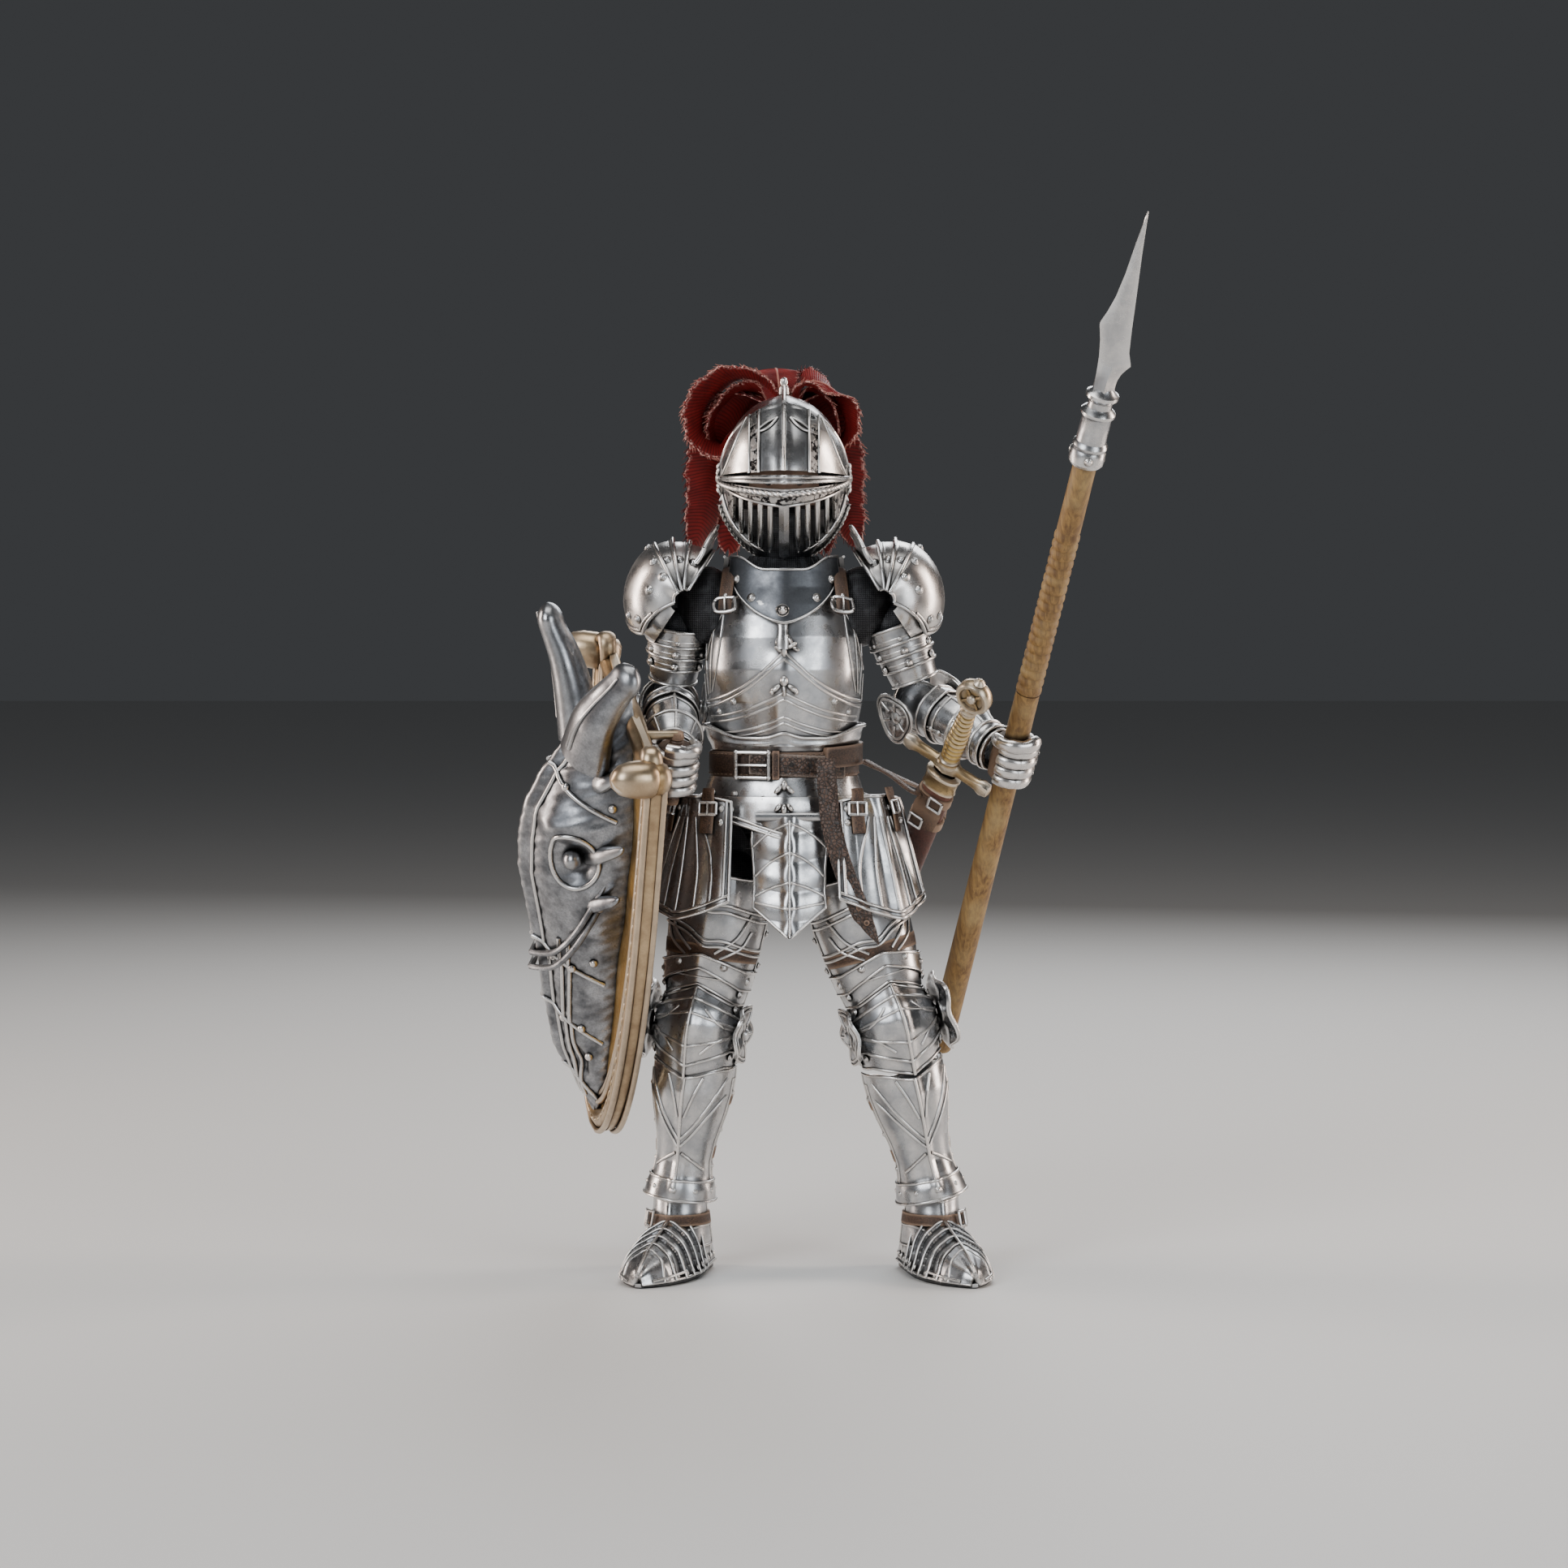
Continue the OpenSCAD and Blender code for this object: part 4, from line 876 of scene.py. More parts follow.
lip = [onSurface(grille, [(u, -82) for u in span(-0.9, 0.9, 70)], 0.1, core),
       onSurface(grille, [(u, -71) for u in span(-0.86, 0.86, 70)], 0.22, core),
       onSurface(grille, [(u, -18.6) for u in span(-0.86, 0.86, 70)], 0.22, core)]
lip += [onSurface(grille, [(side * 0.93, e) for e in span(-82, -10, 40)], 0.1, core) for side in (-1, 1)]
layBeads("grille_rolled_edges", "face_grille", lip, 0.3, 0.3)
dots = [onSurface(grille, [(u, -74.5) for u in span(-0.8, 0.8, 15)], 0.4, core),
        onSurface(grille, [(acrossAt(x, narrowed=-0.55), -68.5) for x in helm["bars"] if x], 0.3, core)]
layStuds("grille_rivets", "face_grille", dots, 0.26, 0.2)
print("visor and grille made")


# plume: curled feathers with barbs along both edges

plume = {"root": np.array([0.0, 8.0, 159.5]), "barbs": 62, "barbHigh": 0.16}


def featherRule(rachis, side, wide, cup, slant=1.2):
    line = smoothPath(rachis, 200)
    sides = smoothPath(side, 200)
    step = np.linspace(0, 1, len(line))
    away = np.gradient(line, axis=0)

    def surf(s, t):
        s = np.clip(s, 0, 1)
        at = np.stack([np.interp(s, step, line[:, k]) for k in range(3)], -1)
        run = np.stack([np.interp(s, step, away[:, k]) for k in range(3)], -1)
        run /= np.linalg.norm(run, axis=-1, keepdims=True)
        s2 = np.linspace(0, 1, len(sides))
        out = np.stack([np.interp(s, s2, sides[:, k]) for k in range(3)], -1)
        out = out - run * np.sum(out * run, -1, keepdims=True)
        out /= np.linalg.norm(out, axis=-1, keepdims=True)
        lift = np.cross(run, out)
        w = wide * np.clip(np.sin(np.pi * np.clip(0.12 + 0.8 * s, 0, 1)), 0.05,
            1) ** 0.55 * np.clip((1.004 - s) / 0.11, 0.02, 1) ** 0.5
        ragged = 1 + 0.05 * np.sin(s * 57 + 3 * t) + 0.04 * np.sin(s * 131)
        t2 = t * ragged
        return at + out * (w * t2)[..., None] + lift * (cup * w * (t2 ** 2 - 0.3))[...,
            None] + run * (slant * np.abs(t2) ** 1.3)[..., None]
    return surf


def barbWave(s, t):
    return 0.5 + 0.5 * np.sin(2 * np.pi * (plume["barbs"] * s + 0.25 * np.sin(9 * s)))


feathers = {
    "left_curl": ([(-1.0, 8, 161.5), (-5.0, 7.5, 165.6), (-10.5, 8, 165.8), (-15.2, 9.5, 161.5),
    (-15.6, 10.5, 155.8), (-12.0, 10.5, 152.6), (-9.2, 10, 155.4)],
                  [(0.1, -1, 0.25), (0, -1, 0.15), (-0.25, -1, 0.25), (-0.45, -1, 0.05), (-0.35, -1, -0.35),
                  (0.2, -1, -0.4), (0.4, -1, 0.2)], 5.4, 0.16),
    "left_inner": ([(-1.5, 9, 160.5), (-4.8, 11.5, 163.2), (-9.0, 13, 163.0), (-12.6, 14, 158.6),
    (-12.6, 14.5, 153.5), (-9.6, 14, 151.5)],
                   [(0.1, -1, 0.2), (0.1, -1, 0.1), (0, -1, 0.1), (-0.2, -1, 0.0), (-0.2, -1, -0.2),
                   (0.1, -1, -0.2)], 5.0, 0.12),
    "centre_crest": ([(-0.8, 6.5, 160.5), (-1.0, 6.6, 164.4), (-1.4, 9.5, 167.0), (-1.8, 14.5, 166.6),
    (-2.0, 19, 162.5), (-2.0, 21, 156)],
                     [(-1, 0, 0.15), (-1, 0, 0.1), (-1, 0, 0), (-1, 0, 0), (-1, 0, 0), (-1, 0, 0)], 4.4, -0.14),
    "right_top": ([(1.4, 6.8, 160.5), (3.6, 6.6, 164.6), (7.4, 8.2, 164.6), (11.0, 9.6, 161.4), (12.2, 10.8, 156.6),
    (10.6, 11, 153.2)],
                  [(-0.5, -0.5, -0.5), (-0.3, -0.8, -0.6), (0.0, -1, -0.3), (0.35, -1, 0.2), (0.35, -1, -0.1),
                  (0.1, -1, -0.5)], 4.6, -0.06),
    "right_inner": ([(1.0, 9, 160.5), (4.0, 11, 163.2), (7.6, 12.5, 161.6), (9.8, 13.5, 157.4), (9.4, 14, 153.4)],
                    [(0.1, -1, 0.2), (0.1, -1, 0.1), (0.1, -1, 0.1), (0.1, -1, 0), (0.0, -1, -0.2)], 4.2, 0.1)}
falls = {"fall_far_left": (-14.8, 13.6, -16.8, 134.6, 4.6), "fall_left": (-9.0, 18.0, -10.5, 134.0, 5.4),
         "fall_centre": (-1.0, 20.5, -1.5, 133.0, 5.6), "fall_right": (6.6, 18.0, 7.4, 134.0, 5.2),
         "fall_far_right": (11.6, 13.6, 13.4, 135.4, 4.2)}
for label, (x, y, x2, low, wide) in falls.items():
    path = [(0.1 * x, 9, 161), (0.42 * x, 0.5 * y + 7, 162.4), (0.78 * x, y, 157.5), (x * 0.96, y + 1.6, 150),
        (x, y + 1.4, 142.5), (x2, y - 0.6, low)]
    side = [(1, 0.0, 0.0) if abs(x) < 12 else (0.75, math.copysign(0.65, -x), 0)] * 6
    feathers[label] = (path, [(1, -0.045 * x, 0)] * 6, wide, -0.16)
vanes, quills, fringe = [], [], []
marks = {"barb": barbWave, "tip": lambda s, t: np.clip((np.abs(t) - 0.82) / 0.18, 0, 1)}
for label, (rachis, side, wide, cup) in feathers.items():
    rule = featherRule(rachis, side, wide, cup)
    vanes.append(sheet(rule, span(0, 1, 250), span(-1, 1, 15), 0.3, core=plume["root"] + [0, 4, -8], marks=marks,
                       relief=lambda s, t: plume["barbHigh"] * barbWave(s, t) * (1 - 0.6 * np.abs(t))))
    line, n = onSurface(rule, [(s, 0) for s in span(0.02, 0.97, 90)], 0.1, plume["root"] + [0, 4, -8])
    quills.append((line - n * 0.05, n, 1.0))
    for t in (-1, 1):
        rim = rule(span(0, 1, 120), np.full(120, float(t)))
        inward = rule(span(0, 1, 120), np.full(120, 0.9 * t))
        run = np.gradient(rim, axis=0)
        aim = rim - inward
        aim /= np.linalg.norm(aim, axis=1, keepdims=True)
        run /= np.linalg.norm(run, axis=1, keepdims=True)
        fringe.append((rim - aim * 0.25, aim + run * 0.8))
make("plume_vanes", "head", plumeDye, vanes, "plume_red", ["plume"], sharp=70)
layBeads("plume_quills", "head", quills, 0.22, 0.24, quillDye, slot="plume_red", sides=6)
grow("barbs", "plume_barb_fringe", "head", plumeDye, fringe[0::2],
     {"Spacing": 0.00042, "Length": 0.0013, "Width": 0.00013, "Spread": 0.3}, "plume_red")
grow("barbs", "plume_pale_tips", "head", quillDye, fringe[1::2],
     {"Spacing": 0.0005, "Length": 0.0012, "Width": 0.00012, "Spread": 0.35, "Seed": 8}, "plume_red")
socket = placed(plume["root"] + [0, 1.5, -0.5], up=(0, 0.5, 1))
make("plume_socket", "head", paleSteel, [lathe([(1.5, -3), (1.6, 0), (1.25, 1.2), (1.5, 1.6), (1.5, 2.2),
    (0.9, 2.4)], socket, 24)])
print("plume made:", len(feathers), "feathers")


# torso: breastplate, backplate, gorget, waist flange

def ringSurf(zs, rx, ry, ridge=0.0, ridgeTop=200.0, ridgeLow=-200.0, wide=7.0):
    def surf(a, z):
        t = np.radians(a)
        x = np.interp(z, zs, rx) * np.sin(t)
        y = -np.interp(z, zs, ry) * np.cos(t)
        keel = smooth((ridgeTop - z) / 4) * smooth((z - ridgeLow) / 4) * bump(a, wide) * ridge
        return np.stack([x, y - keel, z + 0 * x], -1)
    surf.zs, surf.rx = zs, rx
    return surf


def level(value):
    return value if callable(value) else (lambda a: value + 0 * a)


def patch(base, angles, low, high, lift=0.0, wall=0.5, place=None, nu=48, nv=14, relief=None, marks=None):
    bottom, top = level(low), level(high)

    def surf(a, v):
        return base(a, bottom(a) + (top(a) - bottom(a)) * v)

    def raised(a, v):
        more = relief(a, bottom(a) + (top(a) - bottom(a)) * v) if relief else 0
        return lift + more + 0 * a
    a = np.linspace(*angles, nu)
    mid = surf(a, 0.5 + 0 * a).mean(0)
    wide = abs(angles[1] - angles[0]) > 150
    core = [0, 0, mid[2]] if wide else [0.3 * mid[0], 0.3 * mid[1], mid[2]]
    return sheet(surf, a, span(0, 1, nv), wall, raised, core, place=place, marks=marks)


def rim(base, angles, height, lift=0.0, place=None, n=60):
    rule = level(height)
    a = np.linspace(*angles, n)
    return onSurface(base, np.stack([a, rule(a)], -1), lift, (0, 0, float(rule(a).mean())), place)


def upright(base, angle, low, high, lift=0.0, place=None, n=40):
    z = np.linspace(low, high, n)
    a = angle(z) if callable(angle) else np.full(n, float(angle))
    return onSurface(base, np.stack([a, z], -1), lift, (0, 0, 0.5 * (low + high)), place)


def angleAt(base, x, z):
    return np.degrees(np.arcsin(np.clip(np.asarray(x) / np.interp(z, base.zs, base.rx), -1, 1)))


def traced(base, points, lift=0.0, place=None, n=50):
    line = smoothPath([(x, 0, z) for x, z in points], n)
    a = angleAt(base, line[:, 0], line[:, 2])
    return onSurface(base, np.stack([a, line[:, 2]], -1), lift, (0, 0, line[:, 2].mean()), place)


def bothSides(points):
    return [(-x, z) for x, z in points], list(points)


cuirass = {"flutes": [[(0, 115.3), (2.4, 113.0), (6.7, 109.4), (10.5, 107.2), (13.7, 106.1)],
                      [(0, 113.9), (2.6, 111.9), (6.8, 108.4), (10.6, 106.2), (13.5, 105.1)],
                      [(0, 107.9), (3.0, 106.4), (6.5, 104.9), (10, 103.8), (13.0, 103.3)],
                      [(0, 106.7), (3.0, 105.2), (6.6, 103.7), (10, 102.7), (12.9, 102.3)],
                      [(0, 103.5), (3, 102.2), (6.5, 101.1), (9.5, 100.5), (12.2, 100.5)],
                      [(0, 102.4), (3, 101.1), (6, 100.2), (9.4, 99.7), (11.8, 99.9)]],
           "uprights": [[(13.9, 120.5), (14.2, 114), (13.8, 107.3)], [(12.5, 122.6), (13.3, 114), (13.5, 107.6)],
                        [(10.9, 123.2), (12.1, 114.5), (13.1, 107.9)]]}
chest = ringSurf([96, 99, 102, 106, 112, 118, 122, 126, 130], [12.9, 12.9, 13.3, 14.15, 14.5, 14.3, 13.2, 11.2, 9],
                 [9.6, 9.7, 10.3, 11.2, 12.0, 11.7, 10.6, 9.0, 8], 0.75, 116.5, 90, 9)
stepX, stepZ = zip(*cuirass["flutes"][0])


def armhole(a):
    return 125.4 - 13.5 * smooth((np.abs((a + 90) % 180 - 90) - 46) / 42) - 0.6 * bump(a, 20)


def plackart(a, z):
    x = np.abs(np.interp(z, chest.zs, chest.rx) * sinOf(a))
    return 0.38 * smooth((np.interp(x, stepX, stepZ) - z) / 0.55 + 0.5)


front = patch(chest, (-89, 89), 98, armhole, 0, 0.8, nu=150, nv=120, relief=plackart)
rear = patch(chest, (91, 269), 98, lambda a: 125.6 - 13.5 * smooth((np.abs(a - 180) - 46) / 42), 0, 0.8, nu=90, nv=40,
             relief=lambda a, z: 0.5 * bump(a - 180, 9) + 0.3 * smooth((112 - 0.09 * np.abs(a - 180) - z) / 0.6))
make("breastplate_shell", "torso", steel, [front], replaces=["breastplate"])
make("backplate_shell", "torso", steel, [rear], replaces=["backplate"])
lines = [traced(chest, half, 0.33) for flute in cuirass["flutes"] for half in bothSides(flute)]
lines += [traced(chest, half, 0.05) for up in cuirass["uprights"] for half in bothSides(up)]
lines += [rim(chest, (-89, 89), armhole, 0.05), rim(chest, (91, 269), lambda a: armhole(180 - a) + 0.3, 0.05)]
for drop in (0, 1.2, 5.0, 6.2, 9.0, 10.2):
    lines.append(rim(chest, (96, 264), lambda a,
        drop=drop: 112 - drop - 0.09 * np.abs(a - 180) + 0.6 * bump(a - 180, 8), 0.33))
for turn in (24, 34, 44):
    lines += [upright(chest, lambda z, k=k, turn=turn: 180 + k * (turn + 1.6 * (z - 112)), 112.6, 122 - 0.12 * turn,
        0.04) for k in (-1, 1)]
lines += [upright(chest, a, 98.2, 111, 0.1) for a in (-88, 88, 92, 268)]
layBeads("cuirass_flutes", "torso", lines, 0.27, 0.2)
flare = ringSurf([96, 97, 99, 102, 103], [13.2, 13.2, 13.8, 15.0, 15.4], [9.9, 9.9, 10.4, 11.6, 12.0], 0.3)


def wave(a):
    b = np.abs((a + 180) % 360 - 180)
    return 99.5 + 0.95 * bump(b, 9) + 2.1 * smooth((b - 32) / 42) - 0.7 * bump(b - 180, 30)


make("waist_flange", "torso", steel, [sheet(lambda a, v: flare(a, 97.1 + (wave(a) - 97.1) * v), around(160),
                                            span(0, 1, 12), 0.5, lambda a, v: 0.25 * bump(v - 0.5, 0.2), (0, 0, 98),
                                            True)])
belts = [(np.concatenate([p, p[:1]]), np.concatenate([n, n[:1]])) for p, n in
         [onSurface(flare, [(a, wave(a)) for a in around(140)], 0.1, (0, 0, 99))]]
layBeads("waist_flange_edge", "torso", belts, 0.3, 0.3)
collar = ringSurf([119, 121, 124, 127, 130, 132.6], [14.4, 14.0, 12.9, 11.9, 11.2, 10.9],
                  [12.3, 12.0, 11.1, 10.0, 9.2, 9.0], 0.25, 140, 119, 10)


def bib(a):
    return 120.6 + 8.2 * np.clip(np.abs(a) / 58, 0, 1) ** 1.5


def neckline(a):
    b = np.abs((a + 180) % 360 - 180)
    return 130.3 + 2.3 * smooth((b - 18) / 32) - 1.6 * smooth((b - 95) / 40)


make("gorget_front_plate", "torso", darkSteel, [patch(collar, (-62, 62), bib, neckline, 0.25, 0.6, nu=90, nv=34)],
     "dark_steel", ["gorget"])
make("gorget_back_plate", "torso", darkSteel,
     [patch(collar, (100, 260), lambda a: 121.5 + 5.5 * smooth((np.abs(a - 180) - 10) / 70), neckline, 0.25, 0.6,
     nu=70, nv=24)],
     "dark_steel")
lines = [rim(collar, (-62, 62), bib, 0.3), rim(collar, (-62, 62), neckline, 0.25),
    rim(collar, (100, 260), neckline, 0.25),
         rim(collar, (100, 260), lambda a: 121.5 + 5.5 * smooth((np.abs(a - 180) - 10) / 70), 0.3)]
layBeads("gorget_edges", "torso", lines, 0.26, 0.26, steel, slot="dark_steel")
spots = [(s * x, z) for s in (-1, 1) for x, z in ((8.6, 128.4), (5.9, 125.1))]
dots = [onSurface(collar, [(angleAt(collar, x, z), z) for x, z in spots], 0.25, (0, 0, 126))]
layStuds("gorget_rivets", "torso", dots, 0.62, 0.48, slot="dark_steel")
spots = [(s * x, z) for s in (-1, 1) for x, z in ((9.1, 106.2), (11.6, 104.2), (13.0, 120.0))]
dots = [onSurface(chest, [(angleAt(chest, x, z), z) for x, z in spots], 0.38, (0, 0, 110)),
        onSurface(chest, [(a, z) for a in (112, 248) for z in (100.4, 105, 118)], 0.3, (0, 0, 110))]
layStuds("cuirass_rivets", "torso", dots, 0.5, 0.38)

# shoulder straps with buckles
straps, frames, tongues = [], [], []
for side in (-1, 1):
    way = smoothPath([(side * 10.9, -9.6, 122.2), (side * 10.6, -8.3, 126), (side * 10.2, -4.5, 129.4),
        (side * 10.2, 0, 130.3),
                      (side * 10.4, 4.8, 129), (side * 10.8, 8.4, 125.5), (side * 11, 9.8, 122)], 40)
    out = way - np.array([side * 8, 0, 121])
    straps.append(tube(way, 1.25, 12, 0.34, out))
    seat = placed(way[3] + np.array([0, -0.5, 0.1]), (1, 0, 0), (side * 0.25, -0.85, 0.5))
    square = [(1.7, 1.25, 0), (1.7, -1.25, 0), (-1.7, -1.25, 0), (-1.7, 1.25, 0), (1.7, 1.25, 0)]
    frames.append(tube(moved(smoothPath(square, 40), seat), 0.3, 8))
    tongues.append(tube(moved([(0, -1.4, 0.3), (0, 0, 0.45), (0, 1.2, 0.3)], seat), 0.2, 6))
    for z in (6, 33):
        frames.append(lathe([(0.5, 0), (0.5, 0.25), (0.3, 0.45), (0.02, 0.5)], placed(way[z], up=out[z]), 14))
make("shoulder_straps", "torso", beltHide, straps, "leather")
make("shoulder_buckles", "torso", paleSteel, frames + tongues)

# strap end with its round stud, and two small leaf mounts
seat, _ = onSurface(chest, [(0, z) for z in span(115.6, 124.4, 24)], 0.75, (0, 0, 110))
boss = [tube(seat - [0.25, 0, 0], 1.05 + 0.12 * np.sin(span(0, 12, 24)), 14, 0.42, (0, -1, 0.1))]
stud = placed(chest(np.zeros(1), np.array([122.8]))[0] + [-0.25, -1.3, 0], up=(0, -1, 0.25))
boss.append(lathe([(1.35, -0.5), (1.35, 0.2), (1.05, 0.45), (0.95, 0.3), (0.85, 0.75), (0.5, 1.15), (0.03, 1.3)],
    stud, 24))
for x, z, w, h, turn in ((0, 119.2, 0.75, 1.0, 0), (-0.9, 117.6, 0.5, 1.2, 30), (0.9, 117.6, 0.5, 1.2, -30),
        (0, 115.6, 0.55, 1.4, 0),
                         (-1.0, 115.8, 0.45, 0.9, -50), (1.4, 116.5, 0.5, 1.1, 60), (2.1, 115.9, 0.4, 0.8, 120),
                         (0, 110.0, 0.75, 1.0, 0), (-1.5, 108.7, 0.5, 1.15, 55), (1.5, 108.7, 0.5, 1.15, -55),
                         (0, 108.3, 0.45, 1.2, 0),
                         (-2.2, 108.0, 0.42, 0.6, 20), (2.2, 108.0, 0.42, 0.6, -20)):
    spot = chest(np.zeros(1), np.array([z]))[0] + [x, -0.45 + 0.03 * x * x, 0]
    boss.append(blob((0, 0, 0), (w, 0.65, h), 1, (turned((0, 0, 0), y=turn)[0], spot), 12, 9))
make("chest_mounts", "torso", paleSteel, boss, replaces=["chest_boss"])
print("torso made")


# belt, fauld, groin plate, tassets

waistBand = ringSurf([80, 100], [13.3, 13.3], [10.1, 10.1])
belt = [sheet(waistBand, around(140), span(92.3, 96.9, 10), 0.7,
              lambda a, z: 0.55 - 0.3 * (np.abs(z - 94.6) / 2.3) ** 6, (0, 0, 94), True),
        patch(waistBand, (33, 100), lambda a: 93.6 + 0.01 * a, lambda a: 97.3 + 0.012 * a, 1.25, 0.55, nu=30, nv=8)]
make("belt_strap", "hips", beltHide, belt, "leather", ["belt"])
tongue = [patch(waistBand, (-27, 52), lambda a: 92.6 - 0.012 * a, lambda a: 96.6 - 0.012 * a, 1.05, 0.6, nu=60, nv=10,
                relief=lambda a, z: -0.3 * (np.abs(z + 0.012 * a - 94.6) / 2.1) ** 6)]
make("belt_pebbled_layer", "hips", pebbleHide, tongue, "leather")
# painted shade: dark discs laid on the belt stand in for the shade inside its holes, which are not cut
eyes = []
for x, z in ((1.3, 94.7), (4.5, 94.5), (7.3, 94.2), (10.0, 93.9), (-4.2, 94.6)):
    p, n = onSurface(waistBand, [(math.degrees(math.asin(x / 13.3)), z)], 1.08, (0, 0, z))
    eyes.append(lathe([(0.42, -0.5), (0.42, 0.04), (0.3, 0.07), (0.02, 0.03)], placed(p[0], up=n[0]), 14))
make("belt_holes", "hips", darkPadAndShade, eyes, "leather")
seat, n = onSurface(waistBand, [(-24, 94.6)], 1.35, (0, 0, 94.6))
hold = placed(seat[0], (1, 0, 0), n[0])
corners = [(3.15, 2.3, 0), (3.15, -2.3, 0), (-3.15, -2.3, 0), (-3.15, 2.3, 0)]
frames = []
for a, b in zip(corners, corners[1:] + corners[:1]):
    a, b = np.array(a), np.array(b)
    frames.append(tube(moved([a + (a - b) * 0.03, (a + b) / 2, b + (b - a) * 0.03], hold), 0.36, 8, 0.9))
    frames.append(blob(a, (0.5, 0.5, 0.42), 1, hold, 10, 8))
frames.append(tube(moved([(-3.0, 0, 0.1), (0, 0, 0.5), (2.9, 0, 0.35)], hold), 0.24, 8))
for z in (-0.7, 0, 0.7):
    frames.append(lathe([(0.34, -0.2), (0.34, 0.2)], joined(hold, placed((-3.15, z, 0.1), (1, 0, 0), (0, 1, 0))), 10))
make("belt_buckle_frame", "hips", paleSteel, frames, replaces=["belt_buckle"])
keeper = patch(waistBand, (-8.5, -3.5), 92.0, 97.2, 1.5, 0.4, nu=6, nv=10)
make("belt_keeper", "hips", beltHide, [keeper], "leather")
seams = [rim(waistBand, (-178, 178), z, 0.56, n=160) for z in (92.75, 96.45)]
grow("stitches", "belt_stitches", "hips", strapHide, seams,
    {"Spacing": 0.0011, "Length": 0.00036, "Width": 0.00011, "Height": 0.0001}, "leather")

tailWay = smoothPath([(7.3, -12.2, 95.6), (7.7, -13.7, 94.0), (7.9, -14.2, 90.5), (8.6, -15.2, 84),
    (10.6, -16.4, 76.5), (13.6, -17.2, 69), (17.2, -17.6, 62.4)], 60)
width = 1.85 * np.concatenate([np.ones(52), np.linspace(1, 0.72, len(tailWay) - 58),
    np.array([0.66, 0.58, 0.46, 0.34, 0.2, 0.06])])
tail = tube(tailWay, width, 18, 0.26, np.tile((0.12, -1, -0.15), (len(tailWay), 1)))
make("belt_tail_strap", "belt_tail", pebbleHide, [tail], "leather", ["belt_tail"])
studs = [(tailWay[k] + [0, -0.55, 0], (0.1, -1, -0.1)) for k in (50, 54)]
layStuds("belt_tail_studs", "belt_tail", [([p], [n]) for p, n in studs], 0.4, 0.2, beltHide, slot="leather")

skirt = ringSurf([78, 84, 88, 92.4], [16.0, 15.6, 14.9, 13.4], [13.2, 12.6, 11.9, 10.4], 0.7, 200, -200, 8)
mailSkirt = ringSurf([74, 78, 84, 90], [13.6, 13.4, 12.8, 11.4], [10.4, 10.2, 9.6, 8.8])
make("mail_skirt", "hips", mailCloth, [sheet(mailSkirt, span(68, 292, 120), span(75.5, 90, 24), 0.6,
                                          lambda a, z: 0.35 * np.cos(np.radians(a * 14)) * smooth((86 - z) / 8),
                                          (0, 0, 82))], "dark_steel")


def hem(depth, low):
    return lambda a: low - depth * np.clip(1 - np.abs((a + 180) % 360 - 180) / 36, 0, 1) ** 1.1


lames, lines, dots = [], [], []
for low, high, lift, depth in ((86.8, 92.2, 0.25, 2.2), (84.0, 88.6, 0.75, 2.9)):
    lames.append(sheet(lambda a, v, low=low, high=high,
        depth=depth: skirt(a, hem(depth, low)(a) + (high - hem(depth, low)(a)) * v),
                       around(150), span(0, 1, 12), 0.55, lambda a, v, lift=lift: lift + 0.2 * bump(v, 0.14),
                       (0, 0, 88), True))
    lines += [rim(skirt, (-178, 178), lambda a, low=low, depth=depth, up=up: hem(depth, low)(a) + up, lift + 0.12,
        n=160) for up in (0.1, 1.0)]
    dots.append(onSurface(skirt, [(a, low + 2.3 - (0.9 if abs(a) < 20 else 0))
        for a in (-62, -38, -15, 18, 40, 62, 120, 180, 240)], lift + 0.1, (0, 0, 88)))
make("fauld_lames", "hips", steel, lames, replaces=["fauld"])
layBeads("fauld_edges", "hips", lines, 0.28, 0.25)
layStuds("fauld_rivets", "hips", dots, 0.55, 0.42)
mount = []
for x, z, w, h, turn in ((0, 91.0, 0.6, 0.9, 0), (-1.1, 90.2, 0.45, 1.0, 45), (1.1, 90.2, 0.45, 1.0, -45),
        (0, 86.6, 0.6, 1.0, 0),
                         (-1.1, 87.0, 0.45, 0.9, 40), (1.1, 87.0, 0.45, 0.9, -40)):
    spot = skirt(np.array([0.0]), np.array([z]))[0] + [x, -0.9, 0]
    mount.append(blob((0, 0, 0), (w, 0.5, h), 1, (turned((0, 0, 0), y=turn)[0], spot), 12, 9))
make("fauld_leaf_mount", "hips", paleSteel, mount)

# pointed leaf plate over the groin, in its own frame: x across, y outwards (front is -y), z up from the hinge
leafSeat = turned((1.0, -14.0, 85.2), x=-8)
leaf = {"wide": [(0, 6.6), (-4, 6.9), (-9, 6.5), (-13, 6.4), (-16.3, 6.6), (-18.2, 4.4), (-22.2, 0.12)]}
leafZ = [z for z, _ in leaf["wide"]][::-1]
leafW = [w for _, w in leaf["wide"]][::-1]


def leafSurf(u, z):
    w = np.interp(z, leafZ, leafW)
    x = u * w
    fan = np.abs(x) / 6.5
    groove = 0.34 * np.abs(np.sin(np.pi * (z + 2.6 + 4.6 * fan ** 0.75 - 5.6 * fan) / 5.4))
    y = 0.045 * x * x - 0.95 * bump(x, 1.3) - groove * smooth(np.abs(x) / 1.2) + 0.2
    return np.stack([x, y, z], -1)


